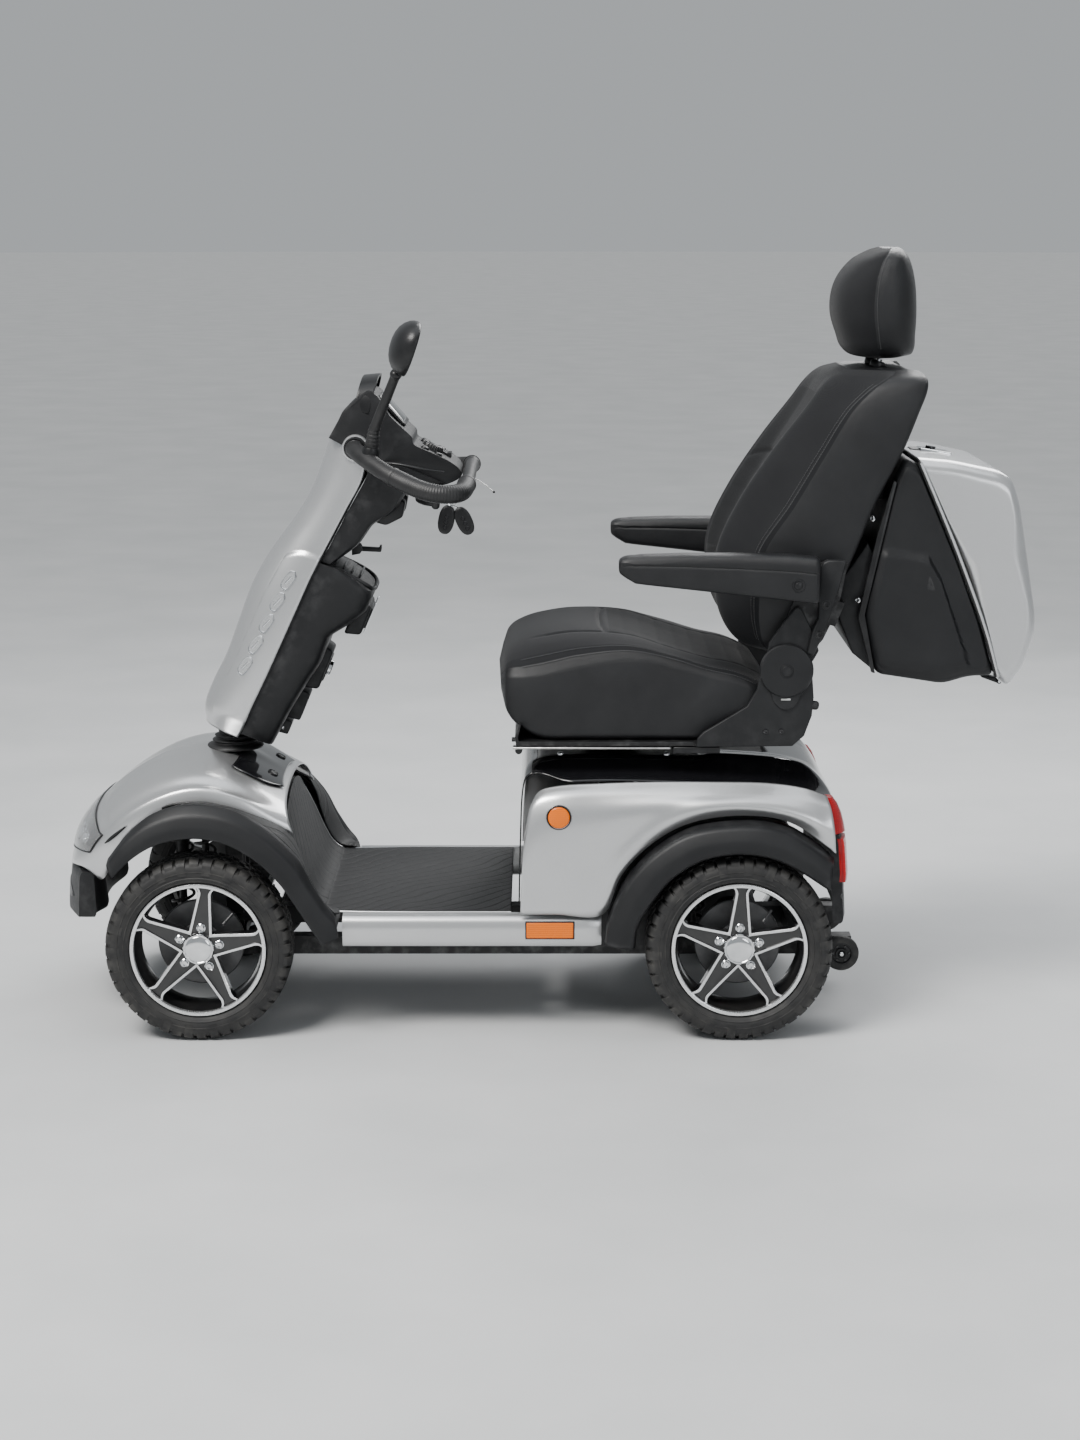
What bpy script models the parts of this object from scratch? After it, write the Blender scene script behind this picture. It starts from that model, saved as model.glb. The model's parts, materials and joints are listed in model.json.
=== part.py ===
# Mobility scooter: four road wheels, swivelling reclining seat, tilting tiller,
# storage box on the backrest. Metres, +Z up, front faces -Y, left side is +X.
import math
import bpy
import bmesh
from mathutils import Matrix, Vector

# ---------------------------------------------------------------- dimensions
GAP = 0.0006               # clearance between touching pieces
TYRE_R = 0.180             # 14 inch class tyre
TYRE_HALF_W = 0.050
BEAD_R = 0.1315
RIM_OUT_R = 0.1305
WHEEL_X = 0.285
FRONT_Y = -0.655
REAR_Y = 0.382
AXLE_Z = 0.180
KING_X = 0.205
STEER_Y = -0.612
TILT_Y, TILT_Z = -0.612, 0.532
LEAN = math.radians(22.5)  # tiller lean from vertical
TIL_Y, TIL_Z = -0.600, 0.545
POST_Y = 0.145
RECL_Y, RECL_Z = 0.466, 0.711
ARM_Y, ARM_Z = 0.482, 0.884
BACK_LEAN = math.atan2(0.184, 0.569)
BOX_HINGE_Y, BOX_HINGE_Z = 0.8895, 0.6745
ANTI_Y, ANTI_Z, ANTI_R = 0.597, 0.124, 0.035

for ob in list(bpy.data.objects):
    bpy.data.objects.remove(ob, do_unlink=True)

# ---------------------------------------------------------------- materials
LOOK = {
    "silver_paint": ((0.55, 0.56, 0.57), 0.30, 0.75),
    "black_plastic": ((0.020, 0.020, 0.022), 0.55, 0.0),
    "gloss_black": ((0.010, 0.010, 0.012), 0.12, 0.0),
    "rubber": ((0.018, 0.018, 0.018), 0.80, 0.0),
    "fabric": ((0.022, 0.023, 0.025), 0.85, 0.0),
    "steel": ((0.030, 0.030, 0.032), 0.45, 0.9),
    "zinc": ((0.60, 0.60, 0.60), 0.35, 1.0),
    "amber": ((0.90, 0.35, 0.02), 0.20, 0.0),
    "red_lens": ((0.55, 0.01, 0.02), 0.15, 0.0),
    "clear_lens": ((0.75, 0.78, 0.80), 0.08, 0.0),
    "alloy": ((0.08, 0.08, 0.085), 0.35, 0.8),
    "battery": ((0.10, 0.11, 0.13), 0.60, 0.0),
}


def material(name, kind):
    m = bpy.data.materials.new(name + "_mat")
    m.use_nodes = True
    b = m.node_tree.nodes["Principled BSDF"]
    col, rough, metal = LOOK[kind]
    b.inputs["Base Color"].default_value = (*col, 1.0)
    b.inputs["Roughness"].default_value = rough
    b.inputs["Metallic"].default_value = metal
    return m


def finish(name, verts, faces, kind, smooth=False, angle=35.0):
    me = bpy.data.meshes.new(name)
    me.from_pydata([tuple(v) for v in verts], [], faces)
    me.update()
    bm = bmesh.new()
    bm.from_mesh(me)
    bmesh.ops.recalc_face_normals(bm, faces=bm.faces)
    bm.to_mesh(me)
    bm.free()
    ob = bpy.data.objects.new(name, me)
    bpy.context.scene.collection.objects.link(ob)
    me.materials.append(material(name, kind))
    if smooth:
        for p in me.polygons:
            p.use_smooth = True
        try:
            me.set_sharp_from_angle(angle=math.radians(angle))
        except AttributeError:
            pass
    return ob


# ---------------------------------------------------------------- shapes
def prism(name, pts, x0, x1, kind, bevel=0.0, segs=2, smooth=False):
    """Side outline (Y, Z) run from x0 to x1."""
    n = len(pts)
    v = [(x0, y, z) for y, z in pts] + [(x1, y, z) for y, z in pts]
    f = [list(range(n))[::-1], list(range(n, 2 * n))]
    f += [[i, (i + 1) % n, n + (i + 1) % n, n + i] for i in range(n)]
    ob = finish(name, v, f, kind, smooth)
    if bevel:
        bake_bevel(ob, bevel, segs)
    return ob


def slab(name, pts, z0, z1, kind, bevel=0.0, segs=2):
    """Plan outline (X, Y) run from z0 to z1."""
    n = len(pts)
    v = [(x, y, z0) for x, y in pts] + [(x, y, z1) for x, y in pts]
    f = [list(range(n))[::-1], list(range(n, 2 * n))]
    f += [[i, (i + 1) % n, n + (i + 1) % n, n + i] for i in range(n)]
    ob = finish(name, v, f, kind)
    if bevel:
        bake_bevel(ob, bevel, segs)
    return ob


def block(name, c, s, kind, bevel=0.0, segs=2):
    x, y, z = c
    a, b, d = s[0] / 2, s[1] / 2, s[2] / 2
    return prism(name, [(y - b, z - d), (y + b, z - d), (y + b, z + d), (y - b, z + d)],
                 x - a, x + a, kind, bevel, segs)


def loft(name, rings, kind, smooth=True, closed_run=False, angle=40.0):
    """Closed rings with equal counts, capped at both ends."""
    n, m = len(rings[0]), len(rings)
    v = [p for r in rings for p in r]
    f = []
    for j in range(m if closed_run else m - 1):
        k = (j + 1) % m
        for i in range(n):
            a, b = j * n + i, j * n + (i + 1) % n
            c, d = k * n + (i + 1) % n, k * n + i
            f.append([a, b, c, d])
    if not closed_run:
        f.append(list(range(n))[::-1])
        f.append([(m - 1) * n + i for i in range(n)])
    return finish(name, v, f, kind, smooth, angle)


def frame_for(axis):
    a = Vector(axis).normalized()
    u = a.cross(Vector((0, 0, 1)))
    if u.length < 1e-6:
        u = Vector((1, 0, 0))
    u.normalize()
    w = a.cross(u)
    return a, u, w


def lathe(name, prof, centre, axis, kind, seg=32, ring=False, smooth=True, angle=35.0):
    """prof holds (radius, distance along axis). ring closes the profile on itself."""
    a, u, w = frame_for(axis)
    c = Vector(centre)
    v, f, rows = [], [], []
    for r, t in prof:
        if r < 1e-9:
            rows.append([len(v)])
            v.append(c + a * t)
        else:
            rows.append(list(range(len(v), len(v) + seg)))
            for i in range(seg):
                th = 2 * math.pi * i / seg
                v.append(c + a * t + u * (r * math.cos(th)) + w * (r * math.sin(th)))
    m = len(rows)
    for j in range(m if ring else m - 1):
        p, q = rows[j], rows[(j + 1) % m]
        for i in range(seg):
            k = (i + 1) % seg
            if len(p) == 1 and len(q) == 1:
                continue
            if len(p) == 1:
                f.append([p[0], q[i], q[k]])
            elif len(q) == 1:
                f.append([p[i], p[k], q[0]])
            else:
                f.append([p[i], p[k], q[k], q[i]])
    return finish(name, v, f, kind, smooth, angle)


def cyl(name, centre, axis, r, h, kind, seg=20):
    return lathe(name, [(0, -h / 2), (r, -h / 2), (r, h / 2), (0, h / 2)], centre, axis, kind, seg)


def smooth_path(pts, steps):
    """Catmull-Rom through the points."""
    P = [Vector(p) for p in pts]
    P = [P[0] * 2 - P[1]] + P + [P[-1] * 2 - P[-2]]
    out = []
    for i in range(1, len(P) - 2):
        for k in range(steps):
            t = k / steps
            a, b, c, d = P[i - 1], P[i], P[i + 1], P[i + 2]
            out.append(0.5 * ((2 * b) + (c - a) * t + (2 * a - 5 * b + 4 * c - d) * t * t
                              + (3 * b - a - 3 * c + d) * t ** 3))
    out.append(P[-2])
    return out


def interp(table, t):
    """Piecewise smooth value from a list of (t, value...)."""
    if t <= table[0][0]:
        return list(table[0][1:])
    for a, b in zip(table, table[1:]):
        if t <= b[0]:
            k = (t - a[0]) / (b[0] - a[0])
            return [p + (q - p) * k for p, q in zip(a[1:], b[1:])]
    return list(table[-1][1:])


def sweep(name, path, radii, kind, seg=12, flat=1.0):
    """Round bar along a path; radii is a number or one per point."""
    n = len(path)
    if not isinstance(radii, (list, tuple)):
        radii = [radii] * n
    rings = []
    t0 = (path[1] - path[0]).normalized()
    u = t0.cross(Vector((0, 0, 1)))
    if u.length < 1e-4:
        u = Vector((1, 0, 0))
    u.normalize()
    for i in range(n):
        t = (path[min(i + 1, n - 1)] - path[max(i - 1, 0)]).normalized()
        u = (u - t * u.dot(t)).normalized()
        w = t.cross(u)
        rings.append([path[i] + u * (radii[i] * math.cos(2 * math.pi * k / seg))
                      + w * (radii[i] * flat * math.sin(2 * math.pi * k / seg)) for k in range(seg)])
    return loft(name, rings, kind)


def bake(ob):
    dg = bpy.context.evaluated_depsgraph_get()
    dg.update()
    me = bpy.data.meshes.new_from_object(ob.evaluated_get(dg))
    old = ob.data
    mats = [m for m in old.materials]
    ob.modifiers.clear()
    ob.data = me
    me.materials.clear()
    for m in mats[:1]:
        me.materials.append(m)
    for p in me.polygons:
        p.material_index = 0
    bpy.data.meshes.remove(old)
    me.name = ob.name
    return ob


def bake_bevel(ob, width, segs=2):
    b = ob.modifiers.new("edge", "BEVEL")
    b.width = width
    b.segments = segs
    b.limit_method = "ANGLE"
    b.angle_limit = math.radians(30)
    return bake(ob)


def thick(ob, t, offset=-1.0):
    """Turn an open skin into a closed shell."""
    s = ob.modifiers.new("wall", "SOLIDIFY")
    s.thickness = t
    s.offset = offset
    s.use_even_offset = True
    s.use_rim = True
    return bake(ob)


def combine(ob, other, how):
    m = ob.modifiers.new("join", "BOOLEAN")
    m.operation = how
    m.solver = "EXACT"
    m.object = other
    bake(ob)
    d = other.data
    bpy.data.objects.remove(other, do_unlink=True)
    bpy.data.meshes.remove(d)
    clean(ob)
    return ob


def clean(ob):
    bm = bmesh.new()
    bm.from_mesh(ob.data)
    bmesh.ops.remove_doubles(bm, verts=bm.verts, dist=2e-5)
    bmesh.ops.dissolve_degenerate(bm, dist=2e-5, edges=bm.edges)
    bm.to_mesh(ob.data)
    bm.free()


def union(ob, *others):
    for o in others:
        combine(ob, o, "UNION")
    return ob


def cut(ob, *others):
    for o in others:
        combine(ob, o, "DIFFERENCE")
    return ob


def skin(name, grid, kind, smooth=True, flip=False, angle=50.0):
    """Open skin from a grid of points, rows by columns. Normals as wound."""
    rows, cols = len(grid), len(grid[0])
    v = [tuple(p) for r in grid for p in r]
    f = []
    for j in range(rows - 1):
        for i in range(cols - 1):
            q = [j * cols + i, j * cols + i + 1, (j + 1) * cols + i + 1, (j + 1) * cols + i]
            f.append(q[::-1] if flip else q)
    me = bpy.data.meshes.new(name)
    me.from_pydata(v, [], f)
    me.update()
    ob = bpy.data.objects.new(name, me)
    bpy.context.scene.collection.objects.link(ob)
    me.materials.append(material(name, kind))
    if smooth:
        for p in me.polygons:
            p.use_smooth = True
    return ob


def mirror_copy(ob, name):
    """Same piece on the other side, mesh mirrored in X."""
    me = ob.data.copy()
    me.name = name
    for v in me.vertices:
        v.co.x = -v.co.x
    bm = bmesh.new()
    bm.from_mesh(me)
    bmesh.ops.reverse_faces(bm, faces=bm.faces)
    bm.to_mesh(me)
    bm.free()
    m = ob.data.materials[0].copy()
    m.name = name + "_mat"
    me.materials.clear()
    me.materials.append(m)
    o = bpy.data.objects.new(name, me)
    bpy.context.scene.collection.objects.link(o)
    return o


def plan_grid(name, xs, ys, rows, z0, z1, kind):
    """Flat frame: rows[j][i] is '#' where the cell between xs[i], ys[j] is solid."""
    nx, ny = len(xs) - 1, len(ys) - 1
    used = {}
    v, f = [], []

    def vert(i, j, k):
        key = (i, j, k)
        if key not in used:
            used[key] = len(v)
            v.append((xs[i], ys[j], (z0, z1)[k]))
        return used[key]

    def solid(i, j):
        return 0 <= i < nx and 0 <= j < ny and rows[j][i] == "#"

    for j in range(ny):
        for i in range(nx):
            if not solid(i, j):
                continue
            f.append([vert(i, j, 0), vert(i, j + 1, 0), vert(i + 1, j + 1, 0), vert(i + 1, j, 0)])
            f.append([vert(i, j, 1), vert(i + 1, j, 1), vert(i + 1, j + 1, 1), vert(i, j + 1, 1)])
            if not solid(i - 1, j):
                f.append([vert(i, j, 0), vert(i, j, 1), vert(i, j + 1, 1), vert(i, j + 1, 0)])
            if not solid(i + 1, j):
                f.append([vert(i + 1, j, 0), vert(i + 1, j + 1, 0), vert(i + 1, j + 1, 1), vert(i + 1, j, 1)])
            if not solid(i, j - 1):
                f.append([vert(i, j, 0), vert(i + 1, j, 0), vert(i + 1, j, 1), vert(i, j, 1)])
            if not solid(i, j + 1):
                f.append([vert(i, j + 1, 0), vert(i, j + 1, 1), vert(i + 1, j + 1, 1), vert(i + 1, j + 1, 0)])
    return finish(name, v, f, kind)


def sq(x, s, q):
    """Tiller frame: s runs up the column, q runs toward the rider."""
    return (x, TIL_Y + s * math.sin(LEAN) + q * math.cos(LEAN),
            TIL_Z + s * math.cos(LEAN) - q * math.sin(LEAN))


def yz(s, q):
    p = sq(0, s, q)
    return (p[1], p[2])


# ================================================================ chassis
F = 0.1185
frame = plan_grid("chassis_frame",
                  [-0.135, -0.100, 0.100, 0.135],
                  [-0.700, -0.610, -0.300, -0.260, 0.112, 0.178, 0.500, 0.540, 0.618],
                  ["###", "#.#", "###", "#.#", "###", "#.#", "###", "#.#"], F, F + 0.036, "steel")
beam = block("beam", (0, FRONT_Y, 0.170), (0.370, 0.040, 0.044), "steel")
up_l = block("up_l", (0.060, STEER_Y, 0.255), (0.014, 0.034, 0.220), "steel")
up_r = block("up_r", (-0.060, STEER_Y, 0.255), (0.014, 0.034, 0.220), "steel")
bridge = block("bridge", (0, STEER_Y, 0.358), (0.134, 0.060, 0.014), "steel")
foot = block("foot", (0, STEER_Y, 0.149), (0.134, 0.044, 0.020), "steel")
union(frame, beam, foot, up_l, up_r, bridge)
cut(frame, cyl("h", (0, STEER_Y, 0.358), (0, 0, 1), 0.0190, 0.060, "steel", 20))
cut(frame, cyl("h", (0, POST_Y, 0.140), (0, 0, 1), 0.0290, 0.080, "steel", 24))

# battery pack: one block each side of the post, bridged in front of it
plan_grid("battery_pack", [-0.205, -0.042, 0.042, 0.205], [-0.012, 0.085, 0.248],
          ["###", "#.#"], F + 0.0366, 0.362, "battery")

# transaxle: motor and gear housing round the rear axle
lathe("transaxle", [(0, -0.2385), (0.0125, -0.2385), (0.0125, -0.104), (0.022, -0.099), (0.034, -0.094),
                    (0.056, -0.088), (0.056, 0.040), (0.034, 0.046), (0.034, 0.086), (0.022, 0.098),
                    (0.0125, 0.104), (0.0125, 0.2385), (0, 0.2385)],
      (0, REAR_Y, AXLE_Z), (1, 0, 0), "alloy", 24)

# seat post with its round collar above the cover
lathe("seat_post", [(0, 0.104), (0.0280, 0.104), (0.0280, 0.5330), (0.062, 0.5335), (0.062, 0.5410),
                    (0.046, 0.5480), (0, 0.5480)], (0, POST_Y, 0), (0, 0, 1), "black_plastic", 28)

# ---------------------------------------------------------------- front body
# centre line and side line of the nose, front lip to rear edge: (v, y, z) and (v, x, y, z)
COWL_C = [(0.00, -0.9330, 0.3060), (0.07, -0.9300, 0.3250), (0.16, -0.9150, 0.3680), (0.27, -0.8810, 0.4100),
          (0.40, -0.8140, 0.4640), (0.54, -0.7380, 0.5030), (0.67, -0.6600, 0.5150), (0.80, -0.5850, 0.4980),
          (0.91, -0.5350, 0.4720), (1.00, -0.4980, 0.4520)]
COWL_S = [(0.00, 0.1500, -0.9080, 0.3060), (0.07, 0.1950, -0.8820, 0.3075), (0.16, 0.2290, -0.8500, 0.2950),
          (0.27, 0.2520, -0.8240, 0.3400), (0.40, 0.2640, -0.7800, 0.3980), (0.54, 0.2680, -0.7150, 0.4370),
          (0.67, 0.2660, -0.6550, 0.4520), (0.80, 0.2620, -0.5850, 0.4360), (0.91, 0.2540, -0.5250, 0.4120),
          (1.00, 0.2440, -0.4760, 0.3900)]


def cowl_point(u, v, out=0.0):
    yc, zc = interp(COWL_C, v)
    xs, ys, zs = interp(COWL_S, v)
    a = abs(u) * math.pi / 2
    k = math.cos(a) ** 0.62 if abs(u) < 1 else 0.0
    x = xs * math.sin(a) ** 0.92 if u else 0.0
    p = Vector((math.copysign(x, u) if u else 0.0, ys + (yc - ys) * k, zs + (zc - zs) * k))
    if out:
        e = 0.004
        du = cowl_point(min(u + e, 1), v) - cowl_point(max(u - e, -1), v)
        dv = cowl_point(u, min(v + e, 1)) - cowl_point(u, max(v - e, 0))
        n = du.cross(dv)
        if n.length > 1e-12:
            n.normalize()
            if n.z - 0.3 * n.y < 0:
                n.negate()
            p = p + n * out
    return p


def patch(name, us, vs, kind, out, t):
    g = [[cowl_point(u, v, out + t) for u in us] for v in vs]
    return thick(skin(name, g, kind), t)


def spread(a, b, n):
    return [a + (b - a) * i / n for i in range(n + 1)]


cowl = skin("front_cowl", [[cowl_point(u, v) for u in spread(-1, 1, 16)]
                           for v in [0.0, 0.07, 0.16, 0.27, 0.40, 0.54, 0.67, 0.80, 0.86, 0.91, 0.96, 1.0]],
            "silver_paint")
thick(cowl, 0.003)
cut(cowl, cyl("h", (0, STEER_Y, 0.500), (0, 0, 1), 0.0240, 0.080, "steel", 20))

# wide clear lamp lens across the nose, and the smoked socket panel behind the boot
patch("headlight_lens", spread(-0.75, 0.75, 12), [0.07, 0.16, 0.27], "clear_lens", 0.0010, 0.0025)
patch("charge_panel", spread(-0.375, 0.375, 6), [0.80, 0.86, 0.91, 0.96], "gloss_black", 0.0010, 0.0015)

# front bumper bar, curved in plan
BUMP = [(-0.004, 0.213), (0.000, 0.222), (0.004, 0.296), (0.010, 0.3035), (0.060, 0.3035), (0.066, 0.296),
        (0.072, 0.222), (0.066, 0.213)]


def bumper_y(x):
    return -0.9450 + 1.05 * x * x


union_rings = []
for x in spread(-0.198, 0.198, 12):
    w = 1.0 - 0.5 * max(0.0, (abs(x) - 0.12) / 0.078)
    union_rings.append([(x, bumper_y(x) + dy * w, z) for dy, z in BUMP])
loft("front_bumper", union_rings, "black_plastic", angle=50)


# ---------------------------------------------------------------- fenders
def arch(name, rows, side_x, kind, t):
    """rows: outlines (Y, Z) from the body edge to the opening edge, xs the width of each."""
    g = []
    for k in range(len(rows[0])):
        g.append([(side_x[j], rows[j][k][0], rows[j][k][1]) for j in range(len(rows))])
    return thick(skin(name, g, kind), t, -1.0)


FF_A = [(-0.812, 0.345), (-0.770, 0.404), (-0.715, 0.4365), (-0.655, 0.4500), (-0.585, 0.4340), (-0.522, 0.4080),
        (-0.470, 0.3600), (-0.450, 0.3050), (-0.432, 0.2650), (-0.405, 0.2440), (-0.385, 0.2380)]
FF_B = [(-0.822, 0.362), (-0.785, 0.408), (-0.735, 0.4480), (-0.668, 0.4660), (-0.590, 0.4560), (-0.520, 0.4180),
        (-0.462, 0.3600), (-0.432, 0.3050), (-0.410, 0.2700), (-0.392, 0.2450), (-0.3905, 0.2150)]
FF_C = [(-0.824, 0.350), (-0.786, 0.396), (-0.735, 0.4300), (-0.668, 0.4470), (-0.592, 0.4380), (-0.526, 0.4010),
        (-0.470, 0.3480), (-0.438, 0.2980), (-0.413, 0.2600), (-0.390, 0.2340), (-0.3830, 0.2080)]
FF_D = [(-0.812, 0.326), (-0.775, 0.362), (-0.727, 0.3900), (-0.665, 0.4020), (-0.600, 0.3930), (-0.540, 0.3590),
        (-0.496, 0.3160), (-0.466, 0.2720), (-0.443, 0.2350), (-0.424, 0.2060), (-0.4180, 0.1960)]
ff = arch("front_fender_left", [FF_A, FF_B, FF_C, FF_D], [0.2690, 0.318, 0.345, 0.3455], "black_plastic", 0.003)
mirror_copy(ff, "front_fender_right")

RF_A = [(0.124, 0.190), (0.131, 0.240), (0.165, 0.315), (0.215, 0.372), (0.288, 0.416), (0.387, 0.4300),
        (0.462, 0.4200), (0.520, 0.3900), (0.562, 0.3560)]
RF_C = [(0.126, 0.1900), (0.133, 0.2380), (0.168, 0.3110), (0.218, 0.3670), (0.290, 0.4090), (0.387, 0.4220),
        (0.460, 0.4120), (0.516, 0.3830), (0.558, 0.3480)]
RF_D = [(0.176, 0.1860), (0.184, 0.2320), (0.216, 0.2860), (0.256, 0.3310), (0.315, 0.3640), (0.387, 0.3740),
        (0.452, 0.3620), (0.505, 0.3350), (0.552, 0.3040)]
RF_E = [(0.182, 0.1860), (0.190, 0.2300), (0.222, 0.2820), (0.260, 0.3250), (0.317, 0.3570), (0.387, 0.3660),
        (0.450, 0.3550), (0.500, 0.3280), (0.547, 0.2980)]
rf = arch("rear_fender_left", [RF_A, RF_C, RF_D, RF_E], [0.3010, 0.340, 0.3430, 0.318], "black_plastic", 0.003)
mirror_copy(rf, "rear_fender_right")

# ---------------------------------------------------------------- deck
MAT = [(-0.4960, 0.4420, 0.205, 0.050), (-0.4850, 0.4000, 0.216, 0.032), (-0.4720, 0.3500, 0.228, 0.014),
       (-0.4560, 0.3000, 0.236, 0.004), (-0.4400, 0.2650, 0.240, 0.0), (-0.4200, 0.2460, 0.244, 0.0),
       (-0.3950, 0.2400, 0.2560, 0.0), (-0.2600, 0.2400, 0.2640, 0.0), (-0.1200, 0.2400, 0.2640, 0.0),
       (-0.0560, 0.2400, 0.2640, 0.0)]


def strip(name, table, lift, kind, t, n, trim=0.0):
    g = []
    for k, (y, z, w, drop) in enumerate(table):
        a = table[max(k - 1, 0)]
        b = table[min(k + 1, len(table) - 1)]
        d = Vector((0, b[0] - a[0], b[1] - a[1])).normalized()
        nrm = Vector((0, -d.z, d.y))
        g.append([Vector((x, y, z - drop * (x / w) ** 2)) - nrm * lift for x in spread(-(w - trim), w - trim, n)])
    return thick(skin(name, g, kind), t)


strip("floor_mat", MAT, 0.0, "rubber", 0.005, 4)
strip("floor_pan", MAT, 0.0056, "black_plastic", 0.010, 4, 0.004)

sill = prism("sill_left", [(-0.380, 0.176), (0.116, 0.176), (0.116, 0.236), (-0.030, 0.2385), (-0.380, 0.2385)],
             0.2660, 0.2960, "silver_paint", 0.006)
mirror_copy(sill, "sill_right")

# ---------------------------------------------------------------- rear body
# side panel: rows from the waist down to the arch and sill
RP_TOP = [(-0.020, 0.4200), (-0.006, 0.4700), (0.030, 0.4860), (0.120, 0.4920), (0.220, 0.4950), (0.330, 0.4950),
          (0.430, 0.4930), (0.500, 0.4840), (0.548, 0.4680)]
RP_SH = [(-0.026, 0.4000), (-0.014, 0.4450), (0.030, 0.4640), (0.120, 0.4700), (0.220, 0.4730), (0.330, 0.4740),
         (0.430, 0.4720), (0.505, 0.4620), (0.556, 0.4460)]
RP_MID = [(-0.034, 0.3400), (-0.010, 0.3700), (0.040, 0.4000), (0.110, 0.4250), (0.200, 0.4450), (0.320, 0.4560),
          (0.430, 0.4520), (0.506, 0.4360), (0.562, 0.4100)]
RP_LOW = [(-0.036, 0.2450), (0.020, 0.2450), (0.070, 0.2480), (0.112, 0.2600), (0.158, 0.3280), (0.212, 0.3840),
          (0.290, 0.4250), (0.387, 0.4385), (0.470, 0.4270)]
RP_LOW = [(-0.038, 0.2440), (0.030, 0.2440), (0.1195, 0.2440), (0.155, 0.3215), (0.209, 0.3810), (0.286, 0.4240),
          (0.387, 0.4380), (0.480, 0.4240), (0.566, 0.3640)]
rp = arch("rear_panel_left", [RP_TOP, RP_SH, RP_MID, RP_LOW], [0.2640, 0.2860, 0.3000, 0.2985], "silver_paint", 0.003)
mirror_copy(rp, "rear_panel_right")

# gloss cover: front panel under the seat, top deck and tail
COV = [(-0.0420, 0.2480, 0.2200, 0.0), (-0.0400, 0.3500, 0.2250, 0.0), (-0.0350, 0.4700, 0.2300, 0.0),
       (-0.0200, 0.5150, 0.2320, 0.010), (0.0200, 0.5290, 0.2340, 0.022), (0.1450, 0.5310, 0.2360, 0.020),
       (0.3000, 0.5280, 0.2360, 0.022), (0.4200, 0.5220, 0.2360, 0.024), (0.4950, 0.5120, 0.2340, 0.022),
       (0.5350, 0.4940, 0.2320, 0.016), (0.5640, 0.4600, 0.2280, 0.010), (0.5760, 0.4250, 0.2260, 0.006),
       (0.5800, 0.4000, 0.2240, 0.0)]
g = []
for k, (y, z, w, drop) in enumerate(COV):
    row = []
    for x in (-1.0, -0.93, -0.72, -0.36, 0.0, 0.36, 0.72, 0.93, 1.0):
        fall = {1.0: 1.0, 0.93: 0.42, 0.72: 0.10, 0.36: 0.02, 0.0: 0.0}[abs(x)]
        inward = drop * fall
        row.append((x * w, y, z - inward))
    g.append(row)
cover = thick(skin("rear_top_cover", g, "gloss_black"), 0.003)
cut(cover, cyl("h", (0, POST_Y, 0.520), (0, 0, 1), 0.0310, 0.080, "steel", 28))

# rear bumper across the tail, lamps at its corners
rings = []
for x in spread(-0.289, 0.289, 12):
    e = (abs(x) / 0.289) ** 4
    y1 = 0.5980 - 0.013 * e
    rings.append([(x, y1 - 0.020, 0.2250), (x, y1 - 0.004, 0.2230), (x, y1, 0.2300), (x, y1 - 0.004, 0.2900),
                  (x, y1 - 0.010, 0.3950), (x, y1 - 0.016, 0.3985), (x, y1 - 0.030, 0.3985)])
rb = loft("rear_bumper", rings, "black_plastic", angle=50)

tl = prism("tail_light_left", [(0.5685, 0.3995), (0.5870, 0.3995), (0.5800, 0.4300), (0.5690, 0.4620), (0.5585, 0.4760),
                               (0.5560, 0.4600)], 0.2295, 0.2620, "red_lens", 0.002)
mirror_copy(tl, "tail_light_right")

sr = lathe("side_reflector_left", [(0, 0), (0.0230, 0), (0.0230, 0.0040), (0.0190, 0.0075), (0, 0.0090)],
           (0.3010, 0.036, 0.4350), (1, 0, 0), "amber", 28)
mirror_copy(sr, "side_reflector_right")

# ================================================================ steering
col = lathe("steering_column", [(0, 0.2120), (0.0160, 0.2120), (0.0160, 0.5180), (0.0120, 0.5300), (0, 0.5310)],
            (0, STEER_Y, 0), (0, 0, 1), "steel", 20)
union(col, block("arm", (0, STEER_Y + 0.036, 0.2180), (0.024, 0.074, 0.010), "steel"))

kn = block("knuckle_left", (KING_X + 0.002, FRONT_Y, 0.180), (0.030, 0.040, 0.076), "steel", 0.003, 1)
union(kn, cyl("s", (0.2300, FRONT_Y, AXLE_Z), (1, 0, 0), 0.0125, 0.0170, "steel", 20),
      block("a", (KING_X - 0.006, FRONT_Y + 0.058, 0.2120), (0.018, 0.114, 0.010), "steel"))
mirror_copy(kn, "knuckle_right")
TIE_Y = STEER_Y + 0.065
cyl("tie_rod", (0, TIE_Y, 0.2310), (1, 0, 0), 0.0070, 0.400, "zinc", 14)

# tilt boot: ribbed rubber round the column
boot = []
for k in range(5):
    z = 0.5200 + k * 0.0085
    r = 0.0460 - k * 0.0050
    boot += [(r, z), (r - 0.0055, z + 0.0042)]
prof = boot + [(0.0205, 0.5600), (0.0175, 0.5600), (0.0175, 0.5200)]
lathe("tiller_bellows", prof, (0, STEER_Y, 0), (0, 0, 1), "rubber", 24, ring=True, angle=20)

# ================================================================ wheels
TYRE = [(BEAD_R, -0.034), (0.146, -0.0470), (0.164, -0.0490), (0.1755, -0.0400), (0.1800, -0.0200), (0.1800, 0.0200),
        (0.1755, 0.0400), (0.164, 0.0490), (0.146, 0.0470), (BEAD_R, 0.034), (0.1360, 0.0), ]
RIM = [(RIM_OUT_R, -0.0420), (RIM_OUT_R, 0.0420), (0.1240, 0.0440), (0.1150, 0.0330), (0.1130, -0.0380),
       (0.1220, -0.0440)]
SPOKE_TURN = {"front": math.radians(82.5 - 90), "rear": math.radians(88.0 - 90)}


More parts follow.
